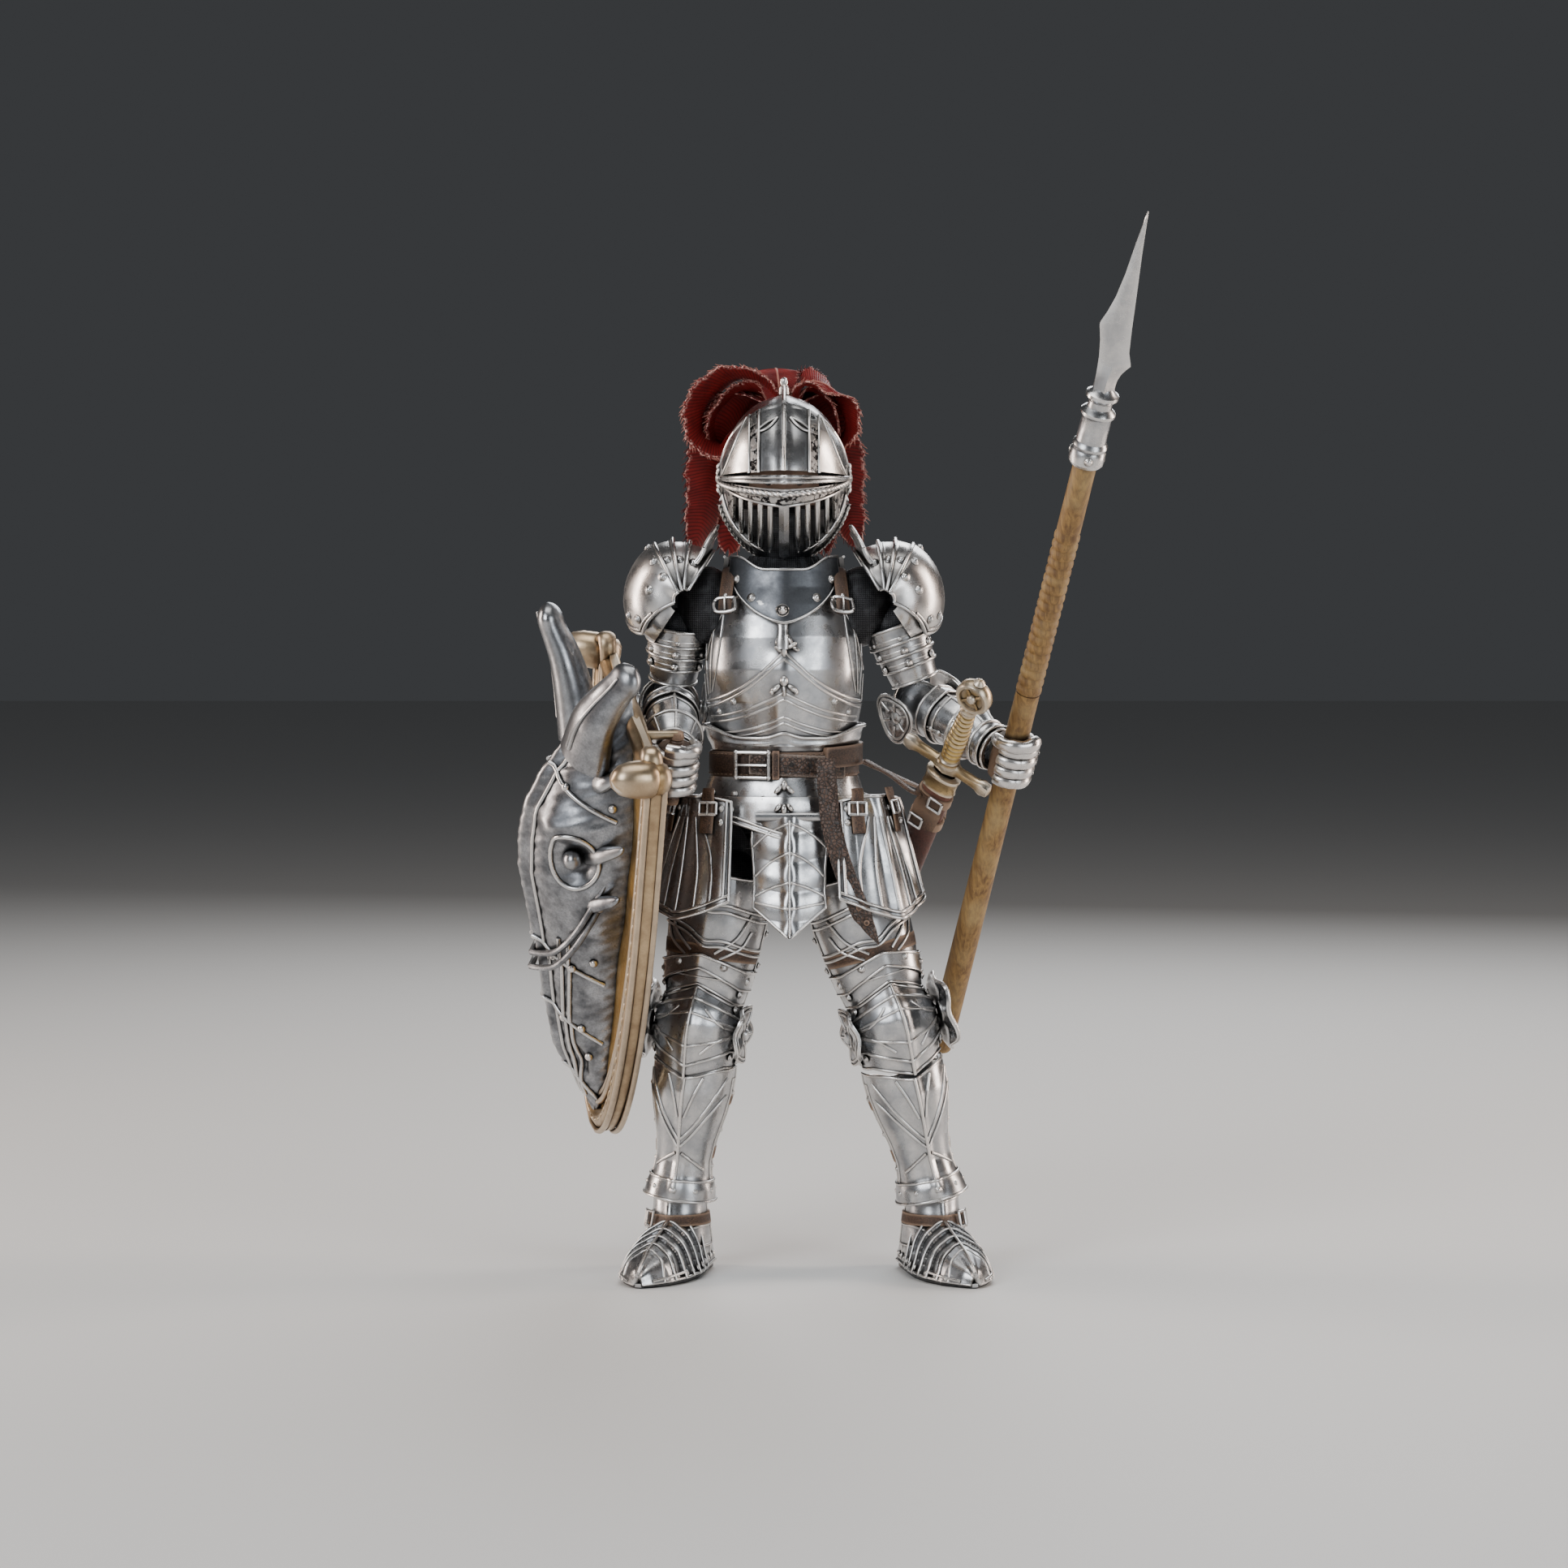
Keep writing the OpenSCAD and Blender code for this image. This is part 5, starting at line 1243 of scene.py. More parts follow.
make("groin_leaf", "groin_plate", steel,
    [sheet(leafSurf, span(-1, 1, 61), span(-22.2, 0, 90), 0.55, None, (0, 20, -10), place=leafSeat),
                                          lathe([(0.85, -6.2), (0.85, 6.2)],
                                          joined(leafSeat, placed((0, 0.5, 0.2), (0, 1, 0), (1, 0, 0))), 16)],
     replaces=["groin_plate"])
lines = []
for k in (-1, 1):
    lines.append(onSurface(leafSurf, [(k, z) for z in span(-22, -0.4, 50)], 0.02, (0, 20, -10), leafSeat))
    for z in (-1.6, -7.0, -12.4, -17.2):
        arc = [(k * t, z + 0.4 - 4.2 * t ** 1.6 * (-0.2 if z < -15 else 1) * (0.55 if z < -10 else 1)
            + (0 if z > -15 else 1.0 * t)) for t in span(0.03, 0.96, 26)]
        lines.append(onSurface(leafSurf, arc, 0.03, (0, 20, -10), leafSeat))
lines.append(onSurface(leafSurf, [(0, z) for z in span(-22, -0.6, 40)], 0.05, (0, 20, -10), leafSeat))
layBeads("groin_leaf_flutes", "groin_plate", lines, 0.25, 0.22)

# tassets: fluted plates hung on straps
tassetLook = {"drop": 21.4, "top": 12.7, "low": 17.6}
for side, name in ((-1, "right"), (1, "left")):
    seat = turned((side * 8, 0, 89.6), z=side * 40)
    out = 1.0 if side < 0 else 1.12

    def cone(a, z, out=out):  # z runs down from the hinge
        t = np.radians(a)
        r = tassetLook["top"] + (tassetLook["low"] - tassetLook["top"]) * (-z / tassetLook["drop"]) ** 1.2 * out
        r = r + 0.9 * bump(a - 2, 4.5) + 0.5 * smooth(-z / 4) * np.abs(np.sin(np.radians(a) * 9)) ** 1.4
        return np.stack([r * np.sin(t), -r * np.cos(t), z], -1)

    def low(a):
        return -tassetLook["drop"] - 1.4 + 3.6 * (np.abs(a - 2) / 34) ** 1.3

    def topEdge(a):
        return -0.7 - 1.2 * (np.abs(a) / 34) ** 2
    plate = patch(cone, (-33, 33), low, topEdge, 0.6, 0.6, seat, 76, 34)
    make(name + "_tasset_plate", name + "_tasset", steel, [plate], replaces=[name + "_tasset"])
    lines = [rim(cone, (-33, 33), low, 0.7, seat), rim(cone, (-33, 33), lambda a: low(a) + 1.1, 0.7, seat),
        rim(cone, (-33, 33), topEdge, 0.7, seat)]
    lines += [upright(cone, a, low(np.array(float(a))), -1.6, 0.7, seat) for a in (-33, 33)]
    lines += [upright(cone, a, low(np.array(float(a))) + 1, -1.6, 0.72, seat) for a in (-30, 30)]
    lines += [upright(cone, lambda z, a=a: a * (0.35 + 0.65 * smooth(-z / 16)), low(np.array(float(a))) + 1.2, -4.5,
        0.62, seat) for a in (-20, -9, 2, 12, 22)]
    layBeads(name + "_tasset_edges", name + "_tasset", lines, 0.3, 0.28)
    dots = [onSurface(cone, [(a, -3.0) for a in (-26, -12, 12, 26)] + [(a, -5.4) for a in (-26, 26)], 0.65,
        (0, 0, -6), seat)]
    layStuds(name + "_tasset_rivets", name + "_tasset", dots, 0.5, 0.4)
    hides, metal = [], []
    for a in (-17, 15):
        way, n = onSurface(cone, [(a, z) for z in span(-7.5, -0.2, 16)], 1.15, (0, 0, -6), seat)
        way = np.concatenate([way, [way[-1] + [0, 0, 0.9] - n[-1] * 0.3]])
        n = np.concatenate([n, n[-1:]])
        hides.append(tube(way, 1.2, 12, 0.3, n))
        hold = placed(way[9] + n[9] * 0.35, np.cross((0, 0, 1), n[9]), n[9])
        metal += buckleWire(hold, 1.6, 1.1, 0.27)
        metal.append(tube(moved([(0, -1.3, 0.3), (0, 1.2, 0.2)], hold), 0.2, 6))
    make(name + "_tasset_straps", name + "_tasset", strapHide, hides, "leather")
    make(name + "_tasset_buckles", name + "_tasset", paleSteel, metal)
print("waist made")


# head in its arming cap, and the mail that closes the neck; the dark cap and the mail over the chin also stand in for
# the shade inside the helmet

headBox = [np.array(c) * 1000 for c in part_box("head")]
middle = (headBox[0] + headBox[1]) / 2
half = (headBox[1] - headBox[0]) / 2
face = {"wide": min(half[0], 8.6), "deep": min(half[1], 9.6), "tall": min(half[2], 12.0)}
headSeat = turned((0, middle[1], middle[2]))


def headSurf(a, e):
    t, p = np.radians(a), np.radians(e)
    z = face["tall"] * np.sin(p)
    jaw = 1 - 0.2 * smooth((-z - 2) / 8) * np.cos(p)
    r = np.abs(np.cos(p)) ** 0.85 * jaw
    x = face["wide"] * r * np.sin(t)
    y = -face["deep"] * r * np.cos(t)
    nose = 1.7 * bump(a, 7) * smooth((2.4 - z) / 5) * smooth((z + 3.6) / 0.9)
    bridge = 0.5 * bump(a, 6) * bump(z - 2, 2)
    brow = 0.45 * bump(np.abs(a) - 20, 14) * bump(z - 3.2, 0.9)
    socket = -0.9 * bump(np.abs(a) - 22, 9) * bump(z - 1.2, 1.3)
    lips = 0.42 * bump(a, 15) * (bump(z + 5.3, 0.45) + bump(z + 6.4, 0.5)) - 0.2 * bump(a, 16) * bump(z + 5.85, 0.2)
    chin = 0.7 * bump(a, 14) * bump(z + 9.0, 1.5)
    cheek = 0.35 * bump(np.abs(a) - 36, 13) * bump(z + 1.6, 2.2)
    out = nose + bridge + brow + socket + lips + chin + cheek
    return np.stack([x + out * np.sin(t), y - out * np.cos(t), z + 0 * x], -1)


skinParts = [sheet(headSurf, around(140), span(-86, 86, 110), 0.5, None, (0, 0, 0), True, headSeat)]
make("face_and_head", "head", skinPaint, skinParts, "skin", ["head"], sharp=60)
eyes = []
for side in (-1, 1):
    at = headSurf(np.array([side * 21.0]), np.array([6.0]))[0]
    eyes.append(blob(at + [0, 0.35, 0], (1.05, 0.7, 0.62), 1, headSeat, 20, 12))
make("eyes", "head", darkPadAndShade, eyes, "skin")
# a quilted cap over the head, dark so that it also stands in for the shade inside the closed helmet: partly a
# garment, partly painted shade
cap = [sheet(lambda a, e: headSurf(a, e) * 1.02, around(100), span(24, 86, 30), 0.4, lambda a,
    e: 0.55 + 0.2 * np.abs(np.sin(np.radians(a) * 9)), (0, 0, 0), True, headSeat),
       sheet(lambda a, e: headSurf(a, e) * 1.02, span(52, 308, 80), span(-70, 26, 40), 0.4, lambda a,
       e: 0.5 + 0.15 * np.abs(np.sin(np.radians(a) * 9)), (0, 0, 0), False, headSeat)]
make("arming_cap", "head", darkPadAndShade, cap, "leather")
# a dark mail sheet over the chin and mouth, which also stands in for the shade inside the closed helmet: partly a
# mail garment, partly painted shade
chinShadeVeil = [sheet(lambda a, e: headSurf(a, e) * 1.03, span(-100, 100, 80), span(-80, -14, 40), 0.3, lambda a,
    e: 1.5 + 0.5 * cosOf(a), (0, 0, 0), False, headSeat)]
make("mail_over_chin", "head", mailCloth, chinShadeVeil, "dark_steel")
collarMail = ringSurf([124, 127, 129.5, 131.5, 133], [10.2, 9.6, 8.4, 7.0, 6.0], [8.4, 8.0, 7.4, 5.6, 4.4])
make("mail_standard", "neck", mailCloth,
    [sheet(collarMail, around(90), span(125.5, 132.6, 20), 0.6, lambda a, z: 0.15 * np.sin(np.radians(a) * 24),
    (0, 0, 130), True)], "dark_steel")
pinSeat = placed(core, (0, 1, 0), (1, 0, 0))
pins = [lathe([(0.02, a), (1.15, a), (1.15, b), (0.02, b)], pinSeat, 24) for a, b in ((-11.4, -9.4), (9.4, 11.4))]
make("visor_pivots", "head", steel, pins, replaces=["visor_pins"])
print("head made")


# legs: cuisses, poleyns, greaves, sabatons

def lamesOf(name, body, base, seat, bands, replaces=(), finish=None, edge=0.26, rows=16, cols=60):
    shells, lines = [], []
    for angles, low, high, lift in bands:
        whole = angles[1] - angles[0] > 359
        if whole:
            bottom, top = level(low), level(high)
            turn = span(angles[0], angles[1], cols + 1)[:-1]
            shells.append(sheet(lambda a, v: base(a, bottom(a) + (top(a) - bottom(a)) * v), turn, span(0, 1, rows),
                0.5,
                                lambda a, v: lift + 0 * a, (0, 0, float(np.mean(bottom(turn) + top(turn)) / 2)),
                                True, seat))
        else:
            shells.append(patch(base, angles, low, high, lift, 0.5, seat, cols, rows))
            lines += [upright(base, a, level(low)(np.array(float(a))), level(high)(np.array(float(a))), lift, seat,
                20) for a in angles]
        for rule in (low, high):
            lines.append(rim(base, angles, rule, lift + 0.03, seat, cols + 20))
    make(name, body, finish or steel, shells, replaces=list(replaces))
    layBeads(name + "_edges", body, lines, edge, edge / 1.1)


def vee(z, depth, wide=50, at=0):
    return lambda a: z - depth * np.clip(1 - np.abs(a - at) / wide, 0, 1)


def peak(z, depth, wide=50, at=0):
    return vee(z, -depth, wide, at)


legs = {"right": {"side": -1, "hip": (-10, 0, 80), "knee": (-15.6, -1, 45.7), "ankle": (-19.4, 1, 13.5)},
        "left": {"side": 1, "hip": (10, 0, 80), "knee": (20.1, -1, 46.1), "ankle": (27.6, 1, 13.5)}}
turnOut, footTurn = 12, 17.5
for name, leg in legs.items():
    s = leg["side"]
    hip, knee, ankle = (np.array(leg[k], float) for k in ("hip", "knee", "ankle"))
    across = (math.cos(math.radians(s * turnOut)), math.sin(math.radians(s * turnOut)), 0)
    # cuisse, measured up from the knee
    seat = placed(knee, across, hip - knee)
    thigh = ringSurf([4, 8, 14, 20, 26, 31], [6.9, 7.6, 8.5, 9.0, 8.9, 8.3], [6.6, 7.3, 8.2, 8.8, 8.9, 8.4], 0.3,
        40, 0, 10)
    lamesOf(name + "_cuisse", name + "_thigh", thigh, seat,
            [((-180, 180), 9.6, 28.5, 0), ((-112, 112), peak(8.2, 3.2, 60), peak(11.6, 2.2, 60), 0.5),
             ((-104, 104), peak(5.4, 3.0, 60), peak(9.4, 3.2, 60), 0.15)], [name + "_thigh"], rows=26, cols=90)
    lines = []
    for z in (23.0, 24.3, 16.6, 17.7):
        lines.append(rim(thigh, (-100, 100), lambda a,
            z=z: z + 2.0 * np.sin(np.radians(s * a * 1.1)) - 1.2 * bump(a, 16), 0.12, seat))
    for k in (-1, 1):
        lines += [traced(thigh, [(k * 7.4, 22), (k * 5.6, 17.5), (k * 2.2, 14.2)], 0.12, seat),
            traced(thigh, [(k * 7.7, 19), (k * 6.4, 15.8), (k * 3.2, 13.3)], 0.12, seat)]
        lines += [upright(thigh, k * a, 11, 28, 0.1, seat) for a in (96, 106)]
    layBeads(name + "_cuisse_flutes", name + "_thigh", lines, 0.3, 0.24)
    dots = [onSurface(thigh, [(k * a, z) for k in (-1, 1)
        for a, z in ((101, 13), (101, 19), (101, 25), (74, 9.9), (66, 7.4), (30, 12.0))], 0.5, (0, 0, 15), seat)]
    layStuds(name + "_cuisse_rivets", name + "_thigh", dots, 0.55, 0.42)
    band = sheet(thigh, around(80), span(13.2, 15.6, 6), 0.4, lambda a,
        z: 0.12 + 0.5 * smooth((np.abs(a) - 108) / 8), (0, 0, 14), True, seat)
    make(name + "_thigh_strap", name + "_thigh", strapHide, [band], "leather")

    make(name + "_breeches", name + "_thigh", mailCloth, [blob((0, 0.4, 27.2), (8.0, 8.0, 6.4), 1, seat, 44, 26)],
        "dark_steel")

    # poleyn: a ridged bowl, fins at the side, and lames above and below
    seat = placed(knee, across, hip - ankle)
    bowl = ringSurf([-9, -6.5, -4, -1, 1.5, 4, 6.2, 8], [6.6, 7.3, 7.75, 8.0, 8.0, 7.6, 6.9, 6.3],
                    [6.9, 7.6, 8.6, 9.6, 9.7, 8.9, 7.5, 6.5], 0.85, 12, -12, 9)
    lamesOf(name + "_poleyn_bowl", name + "_knee", bowl, seat,
            [((-102, 102), lambda a: -3.0 - 3.4 * np.clip(1 - np.abs(a) / 62, 0, 1),
            lambda a: 2.6 + 3.4 * np.clip(1 - np.abs(a) / 70, 0, 1) ** 0.8, 0.35),
             ((-96, 96), lambda a: -6.4 - 2.6 * np.clip(1 - np.abs(a) / 60, 0, 1),
             lambda a: -2.4 - 3.2 * np.clip(1 - np.abs(a) / 62, 0, 1), -0.05),
             ((-96, 96), lambda a: 2.0 + 3.2 * np.clip(1 - np.abs(a) / 70, 0, 1),
             lambda a: 5.2 + 3.0 * np.clip(1 - np.abs(a) / 60, 0, 1), -0.05)],
            [name + "_poleyn"], rows=22, cols=80, edge=0.3)
    lines = [rim(bowl, (-90, 90), lambda a, q=q: 0.4 + q * (0.9 + 2.2 * np.clip(1 - np.abs(a) / 60, 0, 1)), 0.36,
        seat) for q in (-1, 1)]
    lines.append(upright(bowl, 0, -9, 8, 0.4, seat))
    for k in (-1, 1):
        lines += [traced(bowl, [(k * 2.4, 4.2), (k * 4.6, 2.0), (k * 6.9, 0.9)], 0.36, seat),
            traced(bowl, [(k * 2.4, -4.0), (k * 4.6, -1.6), (k * 6.9, -0.3)], 0.36, seat)]
    layBeads(name + "_poleyn_flutes", name + "_knee", lines, 0.28, 0.24)
    wings, wingLines, dots = [], [], []
    for k, reach in ((s, 1.0), (-s, 0.72)):
        def wing(t, r, k=k, reach=reach):
            scallop = 1 + 0.07 * np.cos(np.radians(t) * 5)
            y = -3.5 + 7.6 * reach * r * cosOf(t) * scallop
            z = 0.3 + 7.2 * reach * r * sinOf(t) * scallop
            x = k * (8.6 + 0.9 * reach * np.sin(np.pi * r) + 0.4 * r * np.cos(np.radians(5 * t)) + 0.5 * r * r)
            return np.stack([x, y, z], -1)
        turn = around(72)
        wings.append(sheet(wing, turn, span(0.04, 1, 14), 0.5, None, (0, -3.5, 0.3), True, seat))
        hub = placed((k * 9.3, -3.5, 0.3), (0, 1, 0), (k, 0, 0))
        wings.append(lathe([(0.02, -0.9), (1.9, -0.9), (1.9, 0.1), (1.5, 0.3), (1.2, 0.15), (0.9, 0.6),
            (0.02, 0.8)], joined(seat, hub), 24))
        for r in (0.98, 0.84):
            p, n = onSurface(wing, [(t, r) for t in span(-180, 180, 90)], 0.02, (0, -3.5, 0.3), seat)
            wingLines.append((p, n))
        for t in (-144, -108, -72, -36, 0, 36, 72, 108, 144):
            wingLines.append(onSurface(wing, [(t, r) for r in span(0.3, 0.82, 10)], 0.02, (0, -3.5, 0.3), seat))
    make(name + "_poleyn_wings", name + "_knee", steel, wings)
    layBeads(name + "_wing_edges", name + "_knee", wingLines, 0.27, 0.22)
    dots = [onSurface(bowl, [(k * a, z) for k in (-1, 1)
        for a, z in ((66, -4.2), (66, 4.4), (88, -5.2), (88, 4.2))], 0.3, (0, 0, 0), seat)]
    layStuds(name + "_poleyn_rivets", name + "_knee", dots, 0.52, 0.4)

    make(name + "_knee_mail", name + "_knee", mailCloth, [blob((0, 0.2, 0.3), (6.0, 6.0, 9.6), 1, seat, 44, 28)],
        "dark_steel")

    # greave, measured up from the ankle
    seat = placed(ankle, across, knee - ankle)
    greave = ringSurf([0.5, 3, 5, 8, 12, 17, 21, 25, 29], [6.3, 5.9, 5.2, 4.9, 5.4, 6.6, 7.3, 7.5, 7.1],
                      [6.6, 6.2, 5.4, 5.2, 5.9, 7.2, 7.8, 7.6, 6.9], 0.7, 40, 0, 8)
    top = lambda a: 25.2 - 1.2 * bump(a, 30) + 0.8 * np.clip(np.abs(a) / 90, 0, 1)
    lamesOf(name + "_greave_shell", name + "_shin", greave, seat,
        [((-97, 97), vee(3.2, 0.6, 30), top, 0.12), ((98, 262), 3.2, lambda a: 24.6 - 2.0 * bump(a - 180, 30), 0)],
            [name + "_greave"], rows=50, cols=80)
    lames = [((-180, 180), 0.7, 4.2, 0.45)]
    lamesOf(name + "_greave_cuff", name + "_shin", greave, seat, lames, rows=8, cols=90)
    lines = [upright(greave, 0, 3, 24, 0.2, seat)]
    for k in (-1, 1):
        for q in (0, 1.5):
            lines.append(traced(greave, [(k * 6.9, 24.2 - 2.2 * q), (k * (4.6 - 0.2 * q), 19 - 1.6 * q),
                (k * 2.0, 14.6 - q), (0.15 * k, 12.4 - q)], 0.14, seat))
        lines.append(traced(greave, [(k * 3.2, 24.2), (k * 1.6, 20), (k * 0.5, 16.6)], 0.14, seat))
        lines += [upright(greave, k * a, 4, 24, 0.12, seat) for a in (84, 92, 104)]
        lines.append(traced(greave, [(k * 4.3, 6.5), (k * 2.3, 8.2), (k * 0.4, 9.6)], 0.14, seat))
    layBeads(name + "_greave_flutes", name + "_shin", lines, 0.3, 0.26)
    dots = [onSurface(greave, [(k * 90, z) for k in (-1, 1) for z in (7, 14, 21)]
        + [(a, 2.6) for a in span(-150, 150, 9)], 0.3, (0, 0, 10), seat)]
    layStuds(name + "_greave_rivets", name + "_shin", dots, 0.5, 0.4)
    hides, metal = [], []
    for z in (8.5, 19):
        hides.append(sheet(greave, span(86, 274, 60), span(z, z + 2.1, 6), 0.4, lambda a, v: 0.5 + 0 * a, (0, 0, z),
            False, seat))
        p, n = onSurface(greave, [(s * 118, z + 1.05)], 0.9, (0, 0, z), seat)
        hold = placed(p[0], seat[0][:, 2], n[0])
        metal += buckleWire(hold, 1.5, 1.1, 0.25)
    make(name + "_greave_straps", name + "_shin", strapHide, hides, "leather")
    make(name + "_greave_buckles", name + "_shin", paleSteel, metal)

    # sabaton: lames run across the foot and the toe is drawn to a point
    seat = turned((ankle[0], ankle[1], 0), z=s * footTurn)
    ys = [-23.6, -22, -19, -14, -8, -2, 3, 6, 8.0]
    wide = [0.3, 1.9, 4.1, 5.7, 6.1, 5.4, 4.7, 4.3, 2.2]
    tall = [1.2, 2.6, 4.2, 5.9, 7.9, 10.2, 11.6, 10.6, 8.6]

    def shoe(t, y):
        w, h = np.interp(y, ys, wide), np.interp(y, ys, tall)
        c = cosOf(t)
        x = w * np.sign(c) * np.abs(c) ** 0.72 * (1 + 0.1 * np.exp(-((sinOf(t) / 0.25) ** 2)))
        z = 0.55 + h * np.abs(sinOf(t)) ** 0.92 + 0.55 * bump(t - 90, 9) * smooth((2 - y) / 6)
        return np.stack([x, y + 0 * x, z], -1)

    def steps(t, y):
        run = y + 0.5 * np.abs(cosOf(t)) * 5.2
        lame = (run + 15.4) / 2.9
        toe = smooth((-15.0 - run) / 0.7)
        rise = np.where((run > -15.4) & (run < -0.8), 0.62 * (1 - (lame - np.floor(lame))), 0.25)
        return rise * (1 - toe) + 0.55 * toe
    upper = sheet(shoe, span(2, 178, 90), span(-23.4, 7.9, 150), 0.45, steps, (0, -6, 1), place=seat)
    outline = [(np.interp(y, ys, wide) * 1.02 + 0.25, y) for y in span(-23.6, 8.2, 40)]
    ring = [(x, y) for x, y in outline] + [(-x, y) for x, y in outline[::-1]]
    sole = loft([[(x * q, y * q + (1 - q) * -7, z) for x, y in ring]
        for q, z in ((0.96, 0.0), (1, 0.25), (1, 0.9), (0.97, 1.1))], seat)
    make(name + "_sabaton_plates", name + "_foot", steel, [upper], replaces=[name + "_sabaton"])
    make(name + "_sole", name + "_foot", darkSteel, [sole], "dark_steel")
    lines = [onSurface(shoe, [(90, y) for y in span(-23.3, -1, 50)], 0.6, (0, -6, 1), seat)]
    for k in (4, 176):
        lines.append(onSurface(shoe, [(k, y) for y in span(-23.3, 7.9, 60)], 0.35, (0, -6, 1), seat))
        lines.append(onSurface(shoe, [(k + (8 if k < 90 else -8), y) for y in span(-22.0, -15, 30)], 0.6,
            (0, -6, 1), seat))
    for run in (-15.2, -12.3, -9.4, -6.5, -3.6, -0.7, -17.4):
        lines.append(onSurface(shoe, [(t, run - 0.5 * abs(math.cos(math.radians(t))) * 5.2)
            for t in span(4, 176, 60)], 0.62 if run > -17 else 0.5, (0, -6, 1), seat))
    layBeads(name + "_sabaton_edges", name + "_foot", lines, 0.28, 0.24)
    dots = [onSurface(shoe, [(k, y) for y in span(-19.5, 6.5, 11)], 0.45, (0, -6, 1), seat) for k in (10, 170)]
    layStuds(name + "_sabaton_rivets", name + "_foot", dots, 0.45, 0.36)
    cuff = ringSurf([6, 9, 12, 14.6], [5.3, 5.0, 4.7, 4.6], [7.2, 6.3, 5.5, 5.0], 0.4, 30, 0, 9)
    lamesOf(name + "_ankle_cuff", name + "_foot", cuff, seat,
        [((-112, 112), vee(8.0, 1.6, 60), vee(14.2, 0.7, 50), 0.15), ((112, 248), 0.7, 14.0, 0.05),
                                                             ((-104, 104), vee(5.2, 2.4, 60), vee(8.8, 1.6, 60),
                                                             0.5)], rows=12, cols=50)
    hides = [sheet(cuff, around(80), span(9.0, 11.0, 6), 0.4, lambda a, v: 0.72 + 0 * a, (0, 0, 10), True, seat)]
    make(name + "_ankle_strap", name + "_foot", strapHide, hides, "leather")
    metal = []
    for a in (s * 40, s * 62):
        p, n = onSurface(cuff, [(a, 10)], 1.15, (0, 0, 10), seat)
        hold = placed(p[0], (0, 0, 1), n[0])
        metal += buckleWire(hold, 1.4, 1.1, 0.24)
    make(name + "_ankle_buckles", name + "_foot", paleSteel, metal)
print("legs made")


# arms: pauldrons, upper arm lames, couters, vambraces, gauntlets

